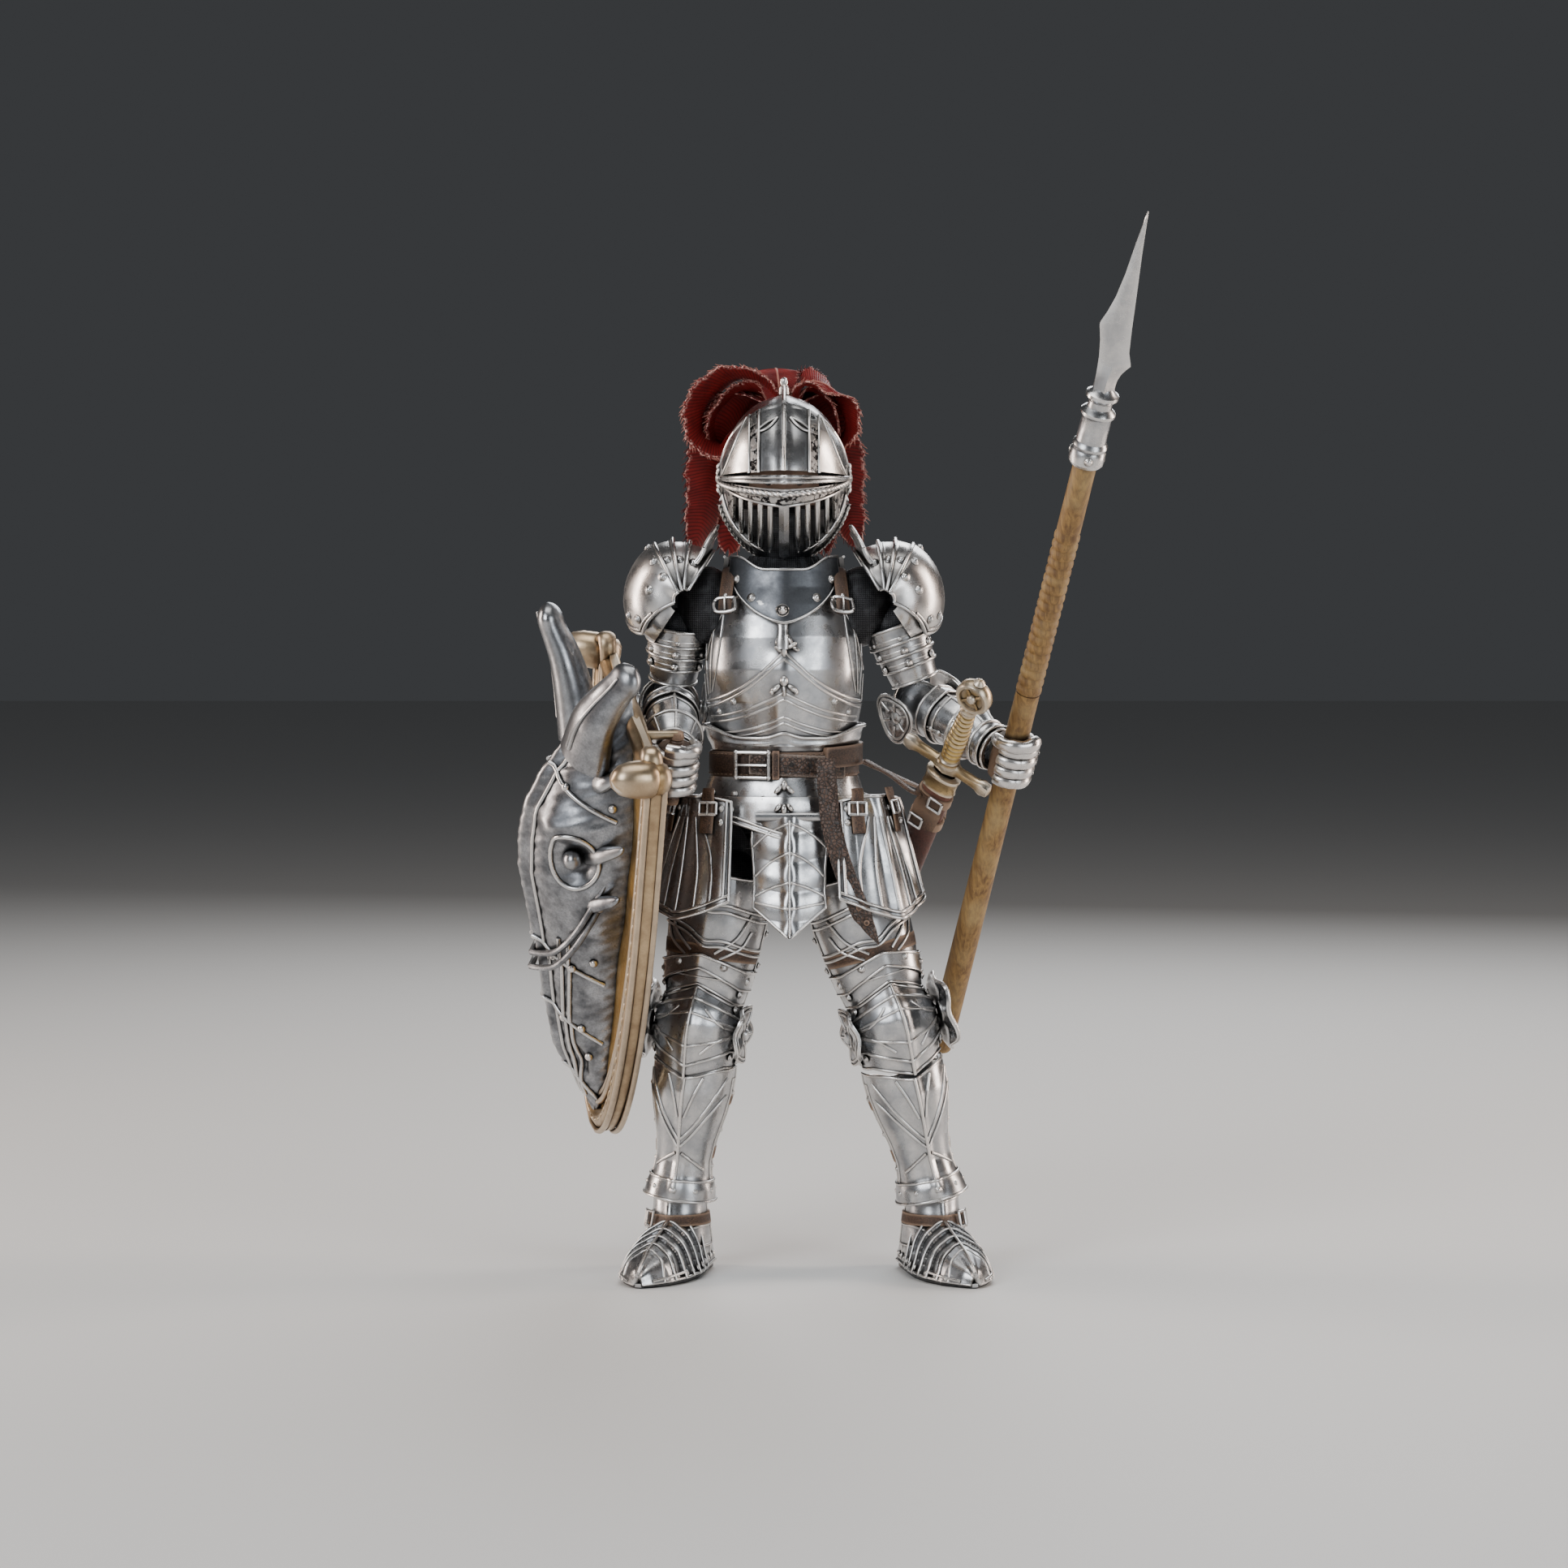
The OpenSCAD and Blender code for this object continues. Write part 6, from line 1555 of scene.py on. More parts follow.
arms = {"right": {"side": -1, "shoulder": (-18.6, 0, 125), "elbow": (-21.2, 5.5, 105.5),
    "fist": (-19.8, -18.5, 94.5), "grip": (0.081, -0.382, 0.92)},
        "left": {"side": 1, "shoulder": (18.6, 0, 125), "elbow": (25.8, 1, 105.5), "fist": (41.3, -15, 96),
        "grip": (0.191, -0.4443, 0.8753)}}
for name, arm in arms.items():
    s = arm["side"]
    shoulder, elbow, fist = (np.array(arm[k], float) for k in ("shoulder", "elbow", "fist"))
    grip = unit(np.array(arm["grip"], float))
    # pauldron: overlapping lames over the shoulder, drawn up into a neck guard
    body = name + "_pauldron"
    seat = placed(shoulder, (s, 0, 0), (0, 0, 1))

    def dome(p, f):  # p runs from back to front, f round from the outside over the top to the neck
        q, t = np.radians(p), np.radians(f)
        r = 10.6 + 0.5 * bump(f - 60, 26)
        x = r * np.cos(q) ** 0.8 * np.cos(t)
        z = r * np.cos(q) ** 0.8 * np.sin(t) - 0.3
        return np.stack([x, -s * r * 0.98 * np.sin(q), z + 0 * x], -1)

    def flap(p, v):
        low = -40 + 26 * np.abs(p - 34) / 60
        return dome(p, low + (63 - low) * v)

    def strip(low, high):
        return lambda p, v: dome(p, low + (high - low) * v)
    rows = [(flap, 0.45, (-85, 85)), (strip(58, 80), 0.15, (-84, 84)), (strip(75, 97), -0.15, (-83, 83)),
        (strip(92, 122), -0.4, (-82, 82))]
    lames = [sheet(rule, span(*reach, 70), span(0, 1, 26), 0.55, lambda p, v,
        lift=lift: lift + 0.35 * smooth((v - 0.8) / 0.2) * (lift < 0.4), (0, 0, 0), place=seat)
             for rule, lift, reach in rows]
    under = sheet(lambda p, v: dome(p, -56 + 50 * v) * 0.92, span(-80, 80, 50), span(0, 1, 10), 0.5, None,
        (0, 0, 0), place=seat)
    make(body + "_lames", body, paleSteel, lames, replaces=[body])
    make(body + "_lower_lame", body, steel, [under])
    lines, dots = [], []
    for rule, lift, reach in rows:
        more = 0.35 if lift < 0.4 else 0
        lines += [onSurface(rule, [(p, v) for p in span(*reach, 90)], lift + (more if v == 1 else 0.02), (0, 0, 0),
            seat) for v in (0, 1)]
        lines += [onSurface(rule, [(p, v) for v in span(0, 1, 24)], lift, (0, 0, 0), seat) for p in reach]
    lines.append(onSurface(flap, [(p, 0.05) for p in span(-62, 62, 70)], 0.48, (0, 0, 0), seat))
    spots = [(40, 0.14), (24, 0.2), (-30, 0.16), (60, 0.5), (44, 0.9), (-44, 0.9), (0, 0.92), (-58, 0.5), (66, 0.86)]
    dots = [onSurface(flap, spots, 0.5, (0, 0, 0), seat)]
    dots += [onSurface(rule, [(k * 50, 0.5) for k in (-1, 1)], lift + 0.05, (0, 0, 0), seat)
        for rule, lift, reach in rows[1:]]
    layBeads(body + "_edges", body, lines, 0.34, 0.32, steel)
    layStuds(body + "_rivets", body, dots, 0.62, 0.5, steel)

    def guard(u, v):  # upright guard beside the neck
        y = 8.8 * sinOf(u)
        x = -5.0 - 2.2 * v + 3.2 * (1 - cosOf(u)) + 0.9 * v * v
        z = 8.2 + 5.0 * v * np.cos(np.radians(u) * 0.9) ** 0.8 - 2.2 * (1 - cosOf(u))
        return np.stack([x, y, z], -1)
    make(body + "_neck_guard", body, paleSteel,
        [sheet(guard, span(-72, 72, 50), span(-0.15, 1, 14), 0.55, None, (6, 0, 4), place=seat)])
    lines = [onSurface(guard, [(u, v) for u in span(-72, 72, 50)], 0.02, (6, 0, 4), seat) for v in (0.99, 0.72)]
    lines += [onSurface(guard, [(u, v) for v in span(-0.1, 1, 12)], 0.02, (6, 0, 4), seat) for u in (-72, 72)]
    layBeads(body + "_guard_edges", body, lines, 0.45, 0.4, steel)
    gusset = [blob((s * 14.2, 0.4, 123.4), (5.6, 6.8, 7.4), 1, None, 40, 26)]
    make(name + "_mail_gusset", "torso", mailCloth, gusset, "dark_steel")

    # upper arm
    up = shoulder - elbow
    tall = np.linalg.norm(up)
    seat = placed(elbow, (1, 0, 0), up)
    sleeve = ringSurf([3, 6, 9, 12, 16], [4.3, 4.8, 5.1, 5.3, 5.4], [4.3, 4.8, 5.1, 5.3, 5.4])
    lamesOf(name + "_rerebrace", name + "_upper_arm", sleeve, seat,
            [((-180, 180), 4.6, 8.6, -0.25), ((-180, 180), 7.6, 11.0, 0.0), ((-180, 180), 10.0, 13.4, 0.25),
            ((-180, 180), 12.4, 15.4, 0.5)],
            [name + "_upper_arm"], rows=6, cols=70, edge=0.3)
    make(name + "_arm_mail", name + "_upper_arm", mailCloth,
        [blob((0, 0, tall - 4.6), (4.7, 4.7, 3.4), 1, seat, 32, 20)], "dark_steel")
    dots = [onSurface(sleeve, [(a, z) for z in (8.4, 10.8, 13.2) for a in (0, 60, -60, 180)], 0.3, (0, 0, 10), seat)]
    layStuds(name + "_rerebrace_rivets", name + "_upper_arm", dots, 0.55, 0.42)

    # couter: a cup on the point of the elbow with a heart shaped wing
    wristWay = unit(fist - elbow)
    point = unit(unit(elbow - shoulder) - wristWay)
    hinge = unit(np.cross(wristWay, unit(shoulder - elbow)))
    body = name + "_forearm"
    cupSeat = placed(elbow, hinge, point)

    def cup(a, e):
        t, p = np.radians(a), np.radians(e)
        r = 5.5 + 0.7 * np.sin(p) ** 6
        return np.stack([r * np.cos(p) * np.cos(t), r * np.cos(p) * np.sin(t), r * np.sin(p)], -1)
    make(name + "_couter_cup", body, steel,
        [sheet(cup, around(64), span(8, 89.5, 18), 0.45, lambda a, e: 0.35 * bump(cosOf(a) * (90 - e) / 40, 0.14),
        (0, 0, 0), True, cupSeat)],
         replaces=[name + "_couter"])
    lines = [onSurface(cup, [(a, e) for a in span(-180, 180, 70)], 0.05, (0, 0, 0), cupSeat) for e in (8.5, 20, 32)]
    wings = []
    for k in (-1, 1):
        def wing(t, r, k=k):
            size = 4.6 * r * (1 + 0.1 * np.cos(np.radians(3 * t)))
            x = k * (5.9 + 0.7 * np.sin(np.pi * r) + 0.7 * r * r)
            return np.stack([x, size * cosOf(t), 1.0 + size * sinOf(t)], -1)
        wings.append(sheet(wing, around(60), span(0.05, 1, 12), 0.45, None, (0, 0, 1), True, cupSeat))
        wings.append(lathe([(0.02, -0.7), (1.3, -0.7), (1.3, 0.1), (0.9, 0.4), (0.02, 0.6)],
            joined(cupSeat, placed((k * 6.4, 0, 1), (0, 1, 0), (k, 0, 0))), 20))
        lines += [onSurface(wing, [(t, r) for t in span(-180, 180, 70)], 0.02, (0, 0, 1), cupSeat)
            for r in (0.98, 0.82)]
        lines += [onSurface(wing, [(t, r) for r in span(0.34, 0.8, 8)], 0.02, (0, 0, 1), cupSeat)
            for t in (-120, -60, 0, 60, 120, 180)]
    make(name + "_couter_wings", body, steel, wings)
    layBeads(name + "_couter_edges", body, lines, 0.3, 0.26)

    # vambrace
    reach = np.linalg.norm(fist - elbow)
    seat = placed(elbow, hinge, wristWay)
    end = reach - 7.2
    fore = ringSurf([3, 6, 10, end - 2, end], [4.5, 4.7, 4.4, 3.7, 3.7], [4.5, 4.7, 4.4, 3.7, 3.7], 0.3, 60, 0, 12)
    lamesOf(name + "_vambrace", body, fore, seat,
        [((-180, 180), 4.6, end - 0.4, 0.1), ((-180, 180), 3.6, 6.2, 0.5)], [name + "_forearm"], rows=24, cols=64)
    lines = [upright(fore, a, 6.4, end - 1, 0.12, seat) for a in (-90, 90, -97, 97, 0, 180)]
    lines += [rim(fore, (-180, 180), z, 0.14, seat) for z in (end - 2.0, end - 2.8, 7.6)]
    layBeads(name + "_vambrace_flutes", body, lines, 0.28, 0.24)
    dots = [onSurface(fore, [(k * 90, z) for k in (-1, 1) for z in span(7.5, end - 3.5, 4)], 0.3, (0, 0, 10), seat)]
    layStuds(name + "_vambrace_rivets", body, dots, 0.45, 0.36)

    # gauntlet: flared cuff, plate over the back of the hand, four jointed fingers and a thumb
    body = name + "_hand"
    wrist = fist - wristWay * 6.6
    seat = placed(wrist, hinge, -wristWay)
    bell = ringSurf([-3, -0.5, 1.5, 4, 6.2], [3.6, 3.4, 3.7, 4.6, 5.4], [3.6, 3.4, 3.7, 4.6, 5.4], 0.3, 30, -10, 12)
    lamesOf(name + "_cuff", body, bell, seat, [((-180, 180), -2.6, 5.6, 0.3), ((-180, 180), -1.6, 0.6, 0.7)],
        [name + "_gauntlet"], rows=12, cols=64, edge=0.34)
    lines = [upright(bell, a, 0.8, 5.4, 0.32, seat) for a in range(0, 360, 45)]
    layBeads(name + "_cuff_flutes", body, lines, 0.26, 0.22)
    back = unit(np.cross(grip, wristWay))
    away = back if np.dot(back, (s, -0.2, 0)) > 0 else -back
    hold = placed(fist, away, grip)
    flip = 1 if np.dot(hold[0][:, 1], wristWay) > 0 else -1  # which way round the grip the fingers close
    plates = []
    for k in range(4):
        z = 3.15 - 2.1 * k
        big = 3.75 - 0.12 * abs(k - 1)
        for j, (a, b) in enumerate(((-8, 58), (52, 112), (106, 176))):
            turn = np.radians(span(a, b, 12)) * flip
            swell = 1.12 + 0.16 * np.sin(np.pi * span(0, 1, 12)) - 0.05 * j
            path = np.stack([big * np.cos(turn), big * np.sin(turn), z + 0 * turn], -1)
            aim = path * (1, 1, 0)
            plates.append(tube(moved(path, hold), swell, 14, 0.78, aimed(aim, hold)))
        knuckle = np.array([big + 0.5, flip * -0.6, z])
        plates.append(blob(knuckle, (0.95, 1.05, 0.95), 1, hold, 14, 10))
    def backPlate(u, v):
        t = np.radians(-10 - 88 * v) * flip
        r = 4.4 + 0.5 * np.sin(np.pi * v) + 0.25 * np.cos(u * 3.6)
        return np.stack([r * np.cos(t), r * np.sin(t) * 1.15, 4.3 * u * (1 - 0.16 * v)], -1)
    plates.append(sheet(backPlate, span(-1, 1, 30), span(0, 1, 20), 0.5, lambda u,
        v: 0.3 * np.abs(np.sin(v * np.pi * 3)) ** 2, (0, 0, 0), place=hold))
    thumbZ = 4.4
    turn = np.radians(span(-120, 40, 20)) * -flip
    path = np.stack([-3.7 * np.cos(turn), 3.7 * np.sin(turn), thumbZ - 1.2 * span(0, 1, 20) + 0.6], -1)
    swell = 1.25 + 0.22 * np.abs(np.sin(span(0, 3 * np.pi, 20))) - 0.3 * span(0, 1, 20) ** 3
    plates.append(tube(moved(path, hold), swell, 14, 0.85, aimed(path * (1, 1, 0), hold)))
    palm = [[(r * math.cos(t), r * math.sin(t), z) for t in np.radians(range(0, 360, 15))]
        for r, z in ((3.0, -3.9), (3.7, -3.4), (3.9, 0), (3.7, 3.6), (3.0, 4.4))]
    make(name + "_gauntlet_plates", body, paleSteel, plates)
    make(name + "_glove_palm", body, strapHide, [loft(palm, hold)], "leather")
    layStuds(name + "_finger_rivets", body,
        [(moved([(5.0 - 0.12 * abs(k - 1), flip * 1.6, 3.15 - 2.1 * k) for k in range(4) ], hold),
        aimed([(1, flip * 0.3, 0)] * 4, hold))], 0.3, 0.22, steel)
print("arms made")


# spear, sword, scabbard

spearWood = woodFinish("spearWood", {"turn": (0.44, 0.03, 0.19), "dark": (0.13, 0.062, 0.018),
    "light": (0.33, 0.19, 0.06), "worn": (0.5, 0.36, 0.16),
                                     "crack": (0.03, 0.014, 0.006), "smooth": 0.42, "rough": 0.66})
sheathHide = hideFinish("sheathLeather",
    {"pebble": 2800.0, "dark": (0.06, 0.016, 0.012), "light": (0.13, 0.038, 0.026), "crack": (0.012, 0.005, 0.004),
                                          "worn": (0.3, 0.13, 0.09), "smooth": 0.34, "rough": 0.58, "bump": 0.4})
spear = {"up": (0.191, -0.4443, 0.8753), "fist": (41.3, -15, 96), "head": 61.5, "coils": (16.0, 47.0), "pitch": 1.74}
seat = placed(spear["fist"], (1, 0, 0), spear["up"])
run = [(0.02, -64.0), (1.5, -64.0), (2.2, -63.5), (2.4, -62.6), (2.36, -40), (2.25, -10)]
z = spear["coils"][0] - 2
run += [(2.2, z)]
while z < spear["coils"][1]:
    run += [(2.06, z + 0.05), (2.3, z + 0.45), (2.34, z + 0.9), (2.3, z + 1.3), (2.06, z + 1.69)]
    z += spear["pitch"]
run += [(2.16, z + 0.3), (2.1, 62.5), (0.02, 62.5)]
make("spear_pole", "spear", spearWood, [lathe(run, seat, 32)], "spear_wood", ["spear_shaft"], sharp=60)
tip = turned((0, 0, spear["head"]))
socket = [(2.15, -0.6), (2.7, -0.8), (3.15, -0.2), (3.25, 0.9), (3.05, 2.0), (2.85, 2.3), (3.1, 2.7), (3.2, 3.1),
    (3.0, 3.6), (2.75, 3.9), (2.68, 5.5),
          (2.6, 8.4), (2.75, 8.7), (3.1, 9.1), (3.12, 9.6), (2.7, 10.1), (2.2, 10.5), (2.15, 11.6), (2.5, 12.0),
          (2.95, 12.5), (2.9, 13.1), (2.3, 13.5),
          (1.7, 14.2), (0.9, 15.2), (0.02, 15.6)]
leftEdge = [(14, -1.9), (17, -2.0), (20, -2.25), (23, -2.75), (25.9, -3.5), (26.4, -3.45), (28.5, -2.7),
    (31.5, -1.9), (36, -1.25), (42, -0.75), (48, -0.16)]
rightEdge = [(14, 1.7), (15.6, 1.8), (17.2, 2.3), (18.4, 3.1), (18.9, 3.6), (19.4, 3.5), (21.5, 2.75), (26, 2.2),
    (32, 1.6), (40, 0.75), (48, 0.04)]
blade = []
for z in span(12.6, 48, 90):
    lo, hi = np.interp(z, *zip(*leftEdge)), np.interp(z, *zip(*rightEdge))
    mid = 0.5 * (lo + hi) - 0.12 * (hi - lo) * smooth((z - 16) / 8)
    thick = 1.75 * (1 - smooth((z - 12) / 8)) + 0.16 + 0.75 * smooth((z - 10) / 8) * ((48.4 - z) / 36) ** 0.7
    edge = 0.1 + 1.0 * (1 - smooth((z - 12.6) / 4))
    blade.append([(lo, -edge, z), (0.5 * (lo + mid), -0.5 * (edge + thick) - 0.05, z), (mid, -thick, z),
        (0.5 * (mid + hi), -0.5 * (edge + thick) - 0.05, z), (hi, -edge, z),
                  (hi, edge, z), (0.5 * (mid + hi), 0.5 * (edge + thick) + 0.05, z), (mid, thick, z),
                  (0.5 * (lo + mid), 0.5 * (edge + thick) + 0.05, z), (lo, edge, z)])
make("spear_point", "spear", steel, [lathe(socket, joined(seat, tip), 40), loft(blade, joined(seat, tip))],
    replaces=["spear_head"], sharp=30)
pins = [(moved([(3.25 * math.cos(t), 3.25 * math.sin(t), 1.0)], joined(seat, tip)),
    aimed([(math.cos(t), math.sin(t), 0)], seat)) for t in (-1.57, 0.5, 2.6)]
layStuds("spear_pins", "spear", pins, 0.6, 0.45)

sword = {"mouth": (29.2, -15, 93.7), "up": (0.222, -0.72, 0.66), "pommel": 21.4, "coils": 12}
seat = placed(sword["mouth"], (1, 0, -1), sword["up"])
parts = []
ribs = []
for x, wide, deep in ((-9.3, 0.5, 0.4), (-9.0, 1.25, 0.95), (-7.6, 1.6, 1.15), (-6.6, 1.15, 0.95), (-5.9, 1.0, 0.9),
        (-2.6, 0.95, 0.9), (-1.9, 1.3, 1.15), (0, 1.75, 1.5),
                      (1.9, 1.3, 1.15), (2.6, 0.95, 0.9), (5.9, 1.0, 0.9), (6.6, 1.15, 0.95), (7.6, 1.6, 1.15),
                      (9.0, 1.25, 0.95), (9.3, 0.5, 0.4)):
    shape = [(1, 0.35), (0.75, 0.85), (0.3, 1), (-0.3, 1), (-0.75, 0.85), (-1, 0.35), (-1, -0.35), (-0.75, -0.85),
        (-0.3, -1), (0.3, -1), (0.75, -0.85), (1, -0.35)]
    ribs.append([(x, deep * b, 1.9 + wide * a) for a, b in shape[::-1]])
parts.append(loft(ribs, seat))
parts.append(lathe([(0.02, 2.4), (2.0, 2.4), (2.15, 2.9), (1.85, 3.4), (1.95, 3.8), (1.6, 4.2), (0.02, 4.2)], seat,
    30))
parts.append(lathe([(0.02, 17.3), (1.6, 17.3), (1.75, 17.8), (1.4, 18.3), (1.2, 18.9), (0.02, 18.9)], seat, 30))
wheel = joined(seat, placed((0, 0, sword["pommel"]), (1, 0, 0), (0, 1, 0)))
parts.append(lathe([(0.02, -0.75), (2.2, -0.75), (2.4, -1.25), (3.0, -1.3), (3.35, -0.8), (3.4, 0), (3.35, 0.8),
    (3.0, 1.3), (2.4, 1.25), (2.2, 0.75), (0.02, 0.75)], wheel, 44))
parts.append(lathe([(0.02, -1.5), (0.7, -1.45), (0.95, -1.1), (0.95, 1.1), (0.7, 1.45), (0.02, 1.5)], wheel, 24))
parts += [tube(moved([(0.6 * math.cos(t), 0.6 * math.sin(t), q), (2.5 * math.cos(t), 2.5 * math.sin(t), q)], wheel),
    0.36, 10) for t in (0.785, 2.356, 3.927, 5.498) for q in (-0.75, 0.75)]
parts.append(lathe([(0.02, 3.2), (0.9, 3.3), (1.1, 3.8), (0.6, 4.4), (0.02, 4.6)],
    joined(seat, placed((0, 0, sword["pommel"]))), 20))
make("sword_fittings", "sword", bronze, parts, "bronze", ["sword_hilt"])
run = [(0.02, 3.9)]
for k in range(sword["coils"]):
    a, b = 4.0 + 13.4 * k / sword["coils"], 4.0 + 13.4 * (k + 1) / sword["coils"]
    r = np.interp(0.5 * (a + b), [4, 9, 17.4], [1.75, 1.95, 1.4])
    run += [(r - 0.16, a + 0.03), (r + 0.06, a + 0.3 * (b - a)), (r + 0.08, a + 0.6 * (b - a)), (r - 0.14, b - 0.03)]
run.append((0.02, 17.5))
make("sword_grip", "sword", gilt, [lathe(run, seat, 30)], "bronze")
edge = [[(x * w, y * w if abs(x) < 1 else 0, z)
    for x, y in ((-1.75, 0), (-0.6, -0.42), (0, -0.25), (0.6, -0.42), (1.75, 0), (0.6, 0.42), (0, 0.25),
    (-0.6, 0.42))]
        for z, w in ((-55.9, 0.03), (-52, 0.9), (-20, 1), (1.5, 1))]
make("sword_steel", "sword", paleSteel, [loft(edge, seat)], replaces=["sword_blade"])


def sheathRing(z, wide, deep):
    return [(wide * math.copysign(abs(math.cos(t)) ** 0.8, math.cos(t)),
        deep * math.copysign(abs(math.sin(t)) ** 0.9, math.sin(t)), z) for t in np.radians(range(0, 360, 15))]


body = [sheathRing(z, w, d) for z, w, d in ((-58.6, 0.9, 0.6), (-57.4, 1.5, 0.9), (-50, 2.35, 1.25),
    (-30, 2.7, 1.4), (-10, 2.95, 1.5), (-1.0, 3.0, 1.55), (-0.9, 2.1, 0.75), (-3.0, 2.1, 0.7))]
make("scabbard_leather", "scabbard", sheathHide, [loft(body, seat)], "leather", ["scabbard"])
throat = [loft([sheathRing(z, w, d) for z, w, d in rows], seat) for rows in
          (((-4.4, 3.05, 1.6), (-4.3, 3.4, 1.95), (-3.7, 3.2, 1.75), (-1.3, 3.25, 1.8), (-0.9, 3.5, 2.05),
          (-0.3, 3.4, 1.95), (-0.2, 2.3, 0.9), (-2, 2.3, 0.8)),
           ((-60.2, 0.1, 0.1), (-59.8, 0.9, 0.7), (-58.2, 1.6, 1.1), (-52, 2.5, 1.5), (-51, 2.8, 1.75),
           (-50.4, 2.5, 1.45), (-50.3, 2.0, 1.0)))]
make("scabbard_mounts", "scabbard", bronze, throat, "bronze")
bands, lines = [], []
for z in (-7.0, -13.5):
    bands.append(loft([sheathRing(z + q, 3.0 + d, 1.55 + d)
        for q, d in ((-1.1, 0.0), (-1.0, 0.4), (1.0, 0.4), (1.1, 0.0))], seat))
hangers = [smoothPath([(15.2, -3.5, 95.0), (19.5, -7.2, 92.6), (24.0, -10.6, 89.6),
    tuple(moved([(-2.6, 1.6, -7.0)], seat)[0])], 26),
           smoothPath([(14.4, 5.5, 94.6), (21.5, 2.4, 91.5), (28.6, -1.0, 88.0),
           tuple(moved([(2.0, 1.9, -13.5)], seat)[0])], 26)]
for way in hangers:
    bands.append(tube(way, 1.1, 10, 0.32, np.tile((0.55, -0.3, 0.75), (len(way), 1))))
flap = [[(x, y, z) for x, y in ((-w, -1.6), (-w * 0.4, -2.15), (w * 0.4, -2.15), (w, -1.6), (w * 0.5, -1.3),
    (-w * 0.5, -1.3))] for z, w in ((-14.4, 2.5), (-10, 2.9), (-6.2, 2.5))]
bands.append(loft(flap, seat))
make("scabbard_straps", "scabbard", strapHide, bands, "leather", ["frog_strap"])
buckle = []
for z, x in ((-7, 1.2), (-13.5, -1.2)):
    hold = joined(seat, placed((x, -2.25, z), (1, 0, 0), (0, -1, 0)))
    buckle += buckleWire(hold, 1.3, 1.3, 0.26)
make("scabbard_buckles", "scabbard", paleSteel, buckle)
lines.append((moved([(0, 1.62 - 0.004 * -z, z) for z in span(-49, -5, 60)], seat), aimed([(0, 1, 0)] * 60, seat)))
grow("stitches", "scabbard_seam", "scabbard", strapHide, lines,
    {"Spacing": 0.0012, "Length": 0.00045, "Width": 0.00012, "Height": 0.0001}, "leather")
print("weapons made")


# shield: board, moulded rim with rolled corners, horned beast relief

panelGold = metalFinish("agedPanelGold",
    {"Bright": (0.6, 0.38, 0.1), "Dull": (0.28, 0.15, 0.035), "Wash": (0.02, 0.012, 0.006),
                                          "Smooth": 0.34, "Rough": 0.56, "Pitting": 0.8})
rimGold = metalFinish("rimGold", {"Bright": (0.56, 0.4, 0.22), "Dull": (0.3, 0.19, 0.09), "Wash": (0.03, 0.017, 0.01),
                                  "Smooth": 0.3, "Rough": 0.46, "Pitting": 0.35})
shield = {"top": (-28.6, -15, 106.3), "x": (0.191, -0.900, -0.391), "z": (0.081, -0.382, 0.92), "half": 29.0,
    "drop": 88.0, "straight": 26.4}
seat = placed(shield["top"], shield["x"], shield["z"])


def halfWidth(z):
    t = np.clip((-z - shield["straight"]) / (shield["drop"] - shield["straight"]), 0, 1)
    return shield["half"] * np.sqrt(np.clip(1 - t ** 2, 0, 1)) + 0.02


def outline(inset, n=70):
    zs = span(-2.0, -(shield["drop"] - inset), n)
    side = [(np.maximum(halfWidth(z * shield["drop"] / (shield["drop"] - inset)) - inset, 0.0), z) for z in zs]
    return [(x, z) for x, z in side] + [(-x, z) for x, z in side[::-1][1:]]


def boardSurf(u, z):
    x = u * (halfWidth(z) - 0.9)
    return np.stack([x, 0.25 + 0.35 * u * u + 0 * z, z + 0 * x], -1)


make("shield_panel", "shield", panelGold,
    [sheet(boardSurf, span(-1, 1, 60), span(-87, -0.6, 90), 1.3, lambda u,
    z: 0.16 * np.sin(z * 0.31 + 3 * u) * np.cos(u * 7), (0, 30, -40), place=seat)],
     "bronze", ["shield_board"])
line = np.array([(x, 1.0, z) for x, z in outline(2.0)])
aims = np.tile((0, -1, 0), (len(line), 1))
solid = [tube(moved(line, seat), 2.15, 20, 1.0, aimed(aims, seat))]
top = smoothPath([(-27, 1.0, -2.4), (-17, 1.0, -3.4), (0, 1.0, -2.2), (17, 1.0, -3.4), (27, 1.0, -2.4)], 50)
solid.append(tube(moved(top, seat), 1.9, 20, 1.0, facingOut(top, seat)))
for side in (-1, 1):  # rolled ends of the top edge
    knob = joined(seat, placed((side * 27.2, 0.4, -2.4), (0, 0, 1), (side * 0.25, -1, 0.1)))
    solid.append(lathe([(0.02, -3.2), (1.6, -3.1), (2.7, -2.3), (3.1, -1.1), (3.0, 0.0), (3.35, 0.4), (3.45, 2.0),
        (3.3, 4.4), (2.7, 6.4), (1.6, 7.7), (0.02, 8.2)], knob, 40))
    curl = [(side * (24.4 + 2.2 * math.cos(t) * (1 - t / 9)), 0.2, -1.0 + 3.1 * math.sin(t) * (1 - t / 9))
        for t in span(-0.4, 4.6, 36)]
    solid.append(tube(moved(curl, seat), np.linspace(1.5, 0.7, 36), 16, 1.5, facingOut(curl, seat)))
make("shield_rim_roll", "shield", rimGold, solid, "bronze", ["shield_rim"])
lines = []
for inset, y in ((4.5, -0.35), (5.6, -0.2), (0.35, -0.6), (0.25, 2.4)):
    p = np.array([(x, y, z) for x, z in outline(inset)])
    lines.append((moved(p, seat), facingOut(p, seat)))
layBeads("shield_rim_beads", "shield", lines, 0.55, 0.6, rimGold, slot="bronze", sides=10)
p = np.array([(x, -1.12, z) for x, z in outline(2.0)])
grow("stitches", "shield_rim_marks", "shield", panelGold, [(moved(p, seat), facingOut(p, seat))],
     {"Spacing": 0.0034, "Length": 0.0012, "Width": 0.00028, "Height": 0.00022}, "bronze")
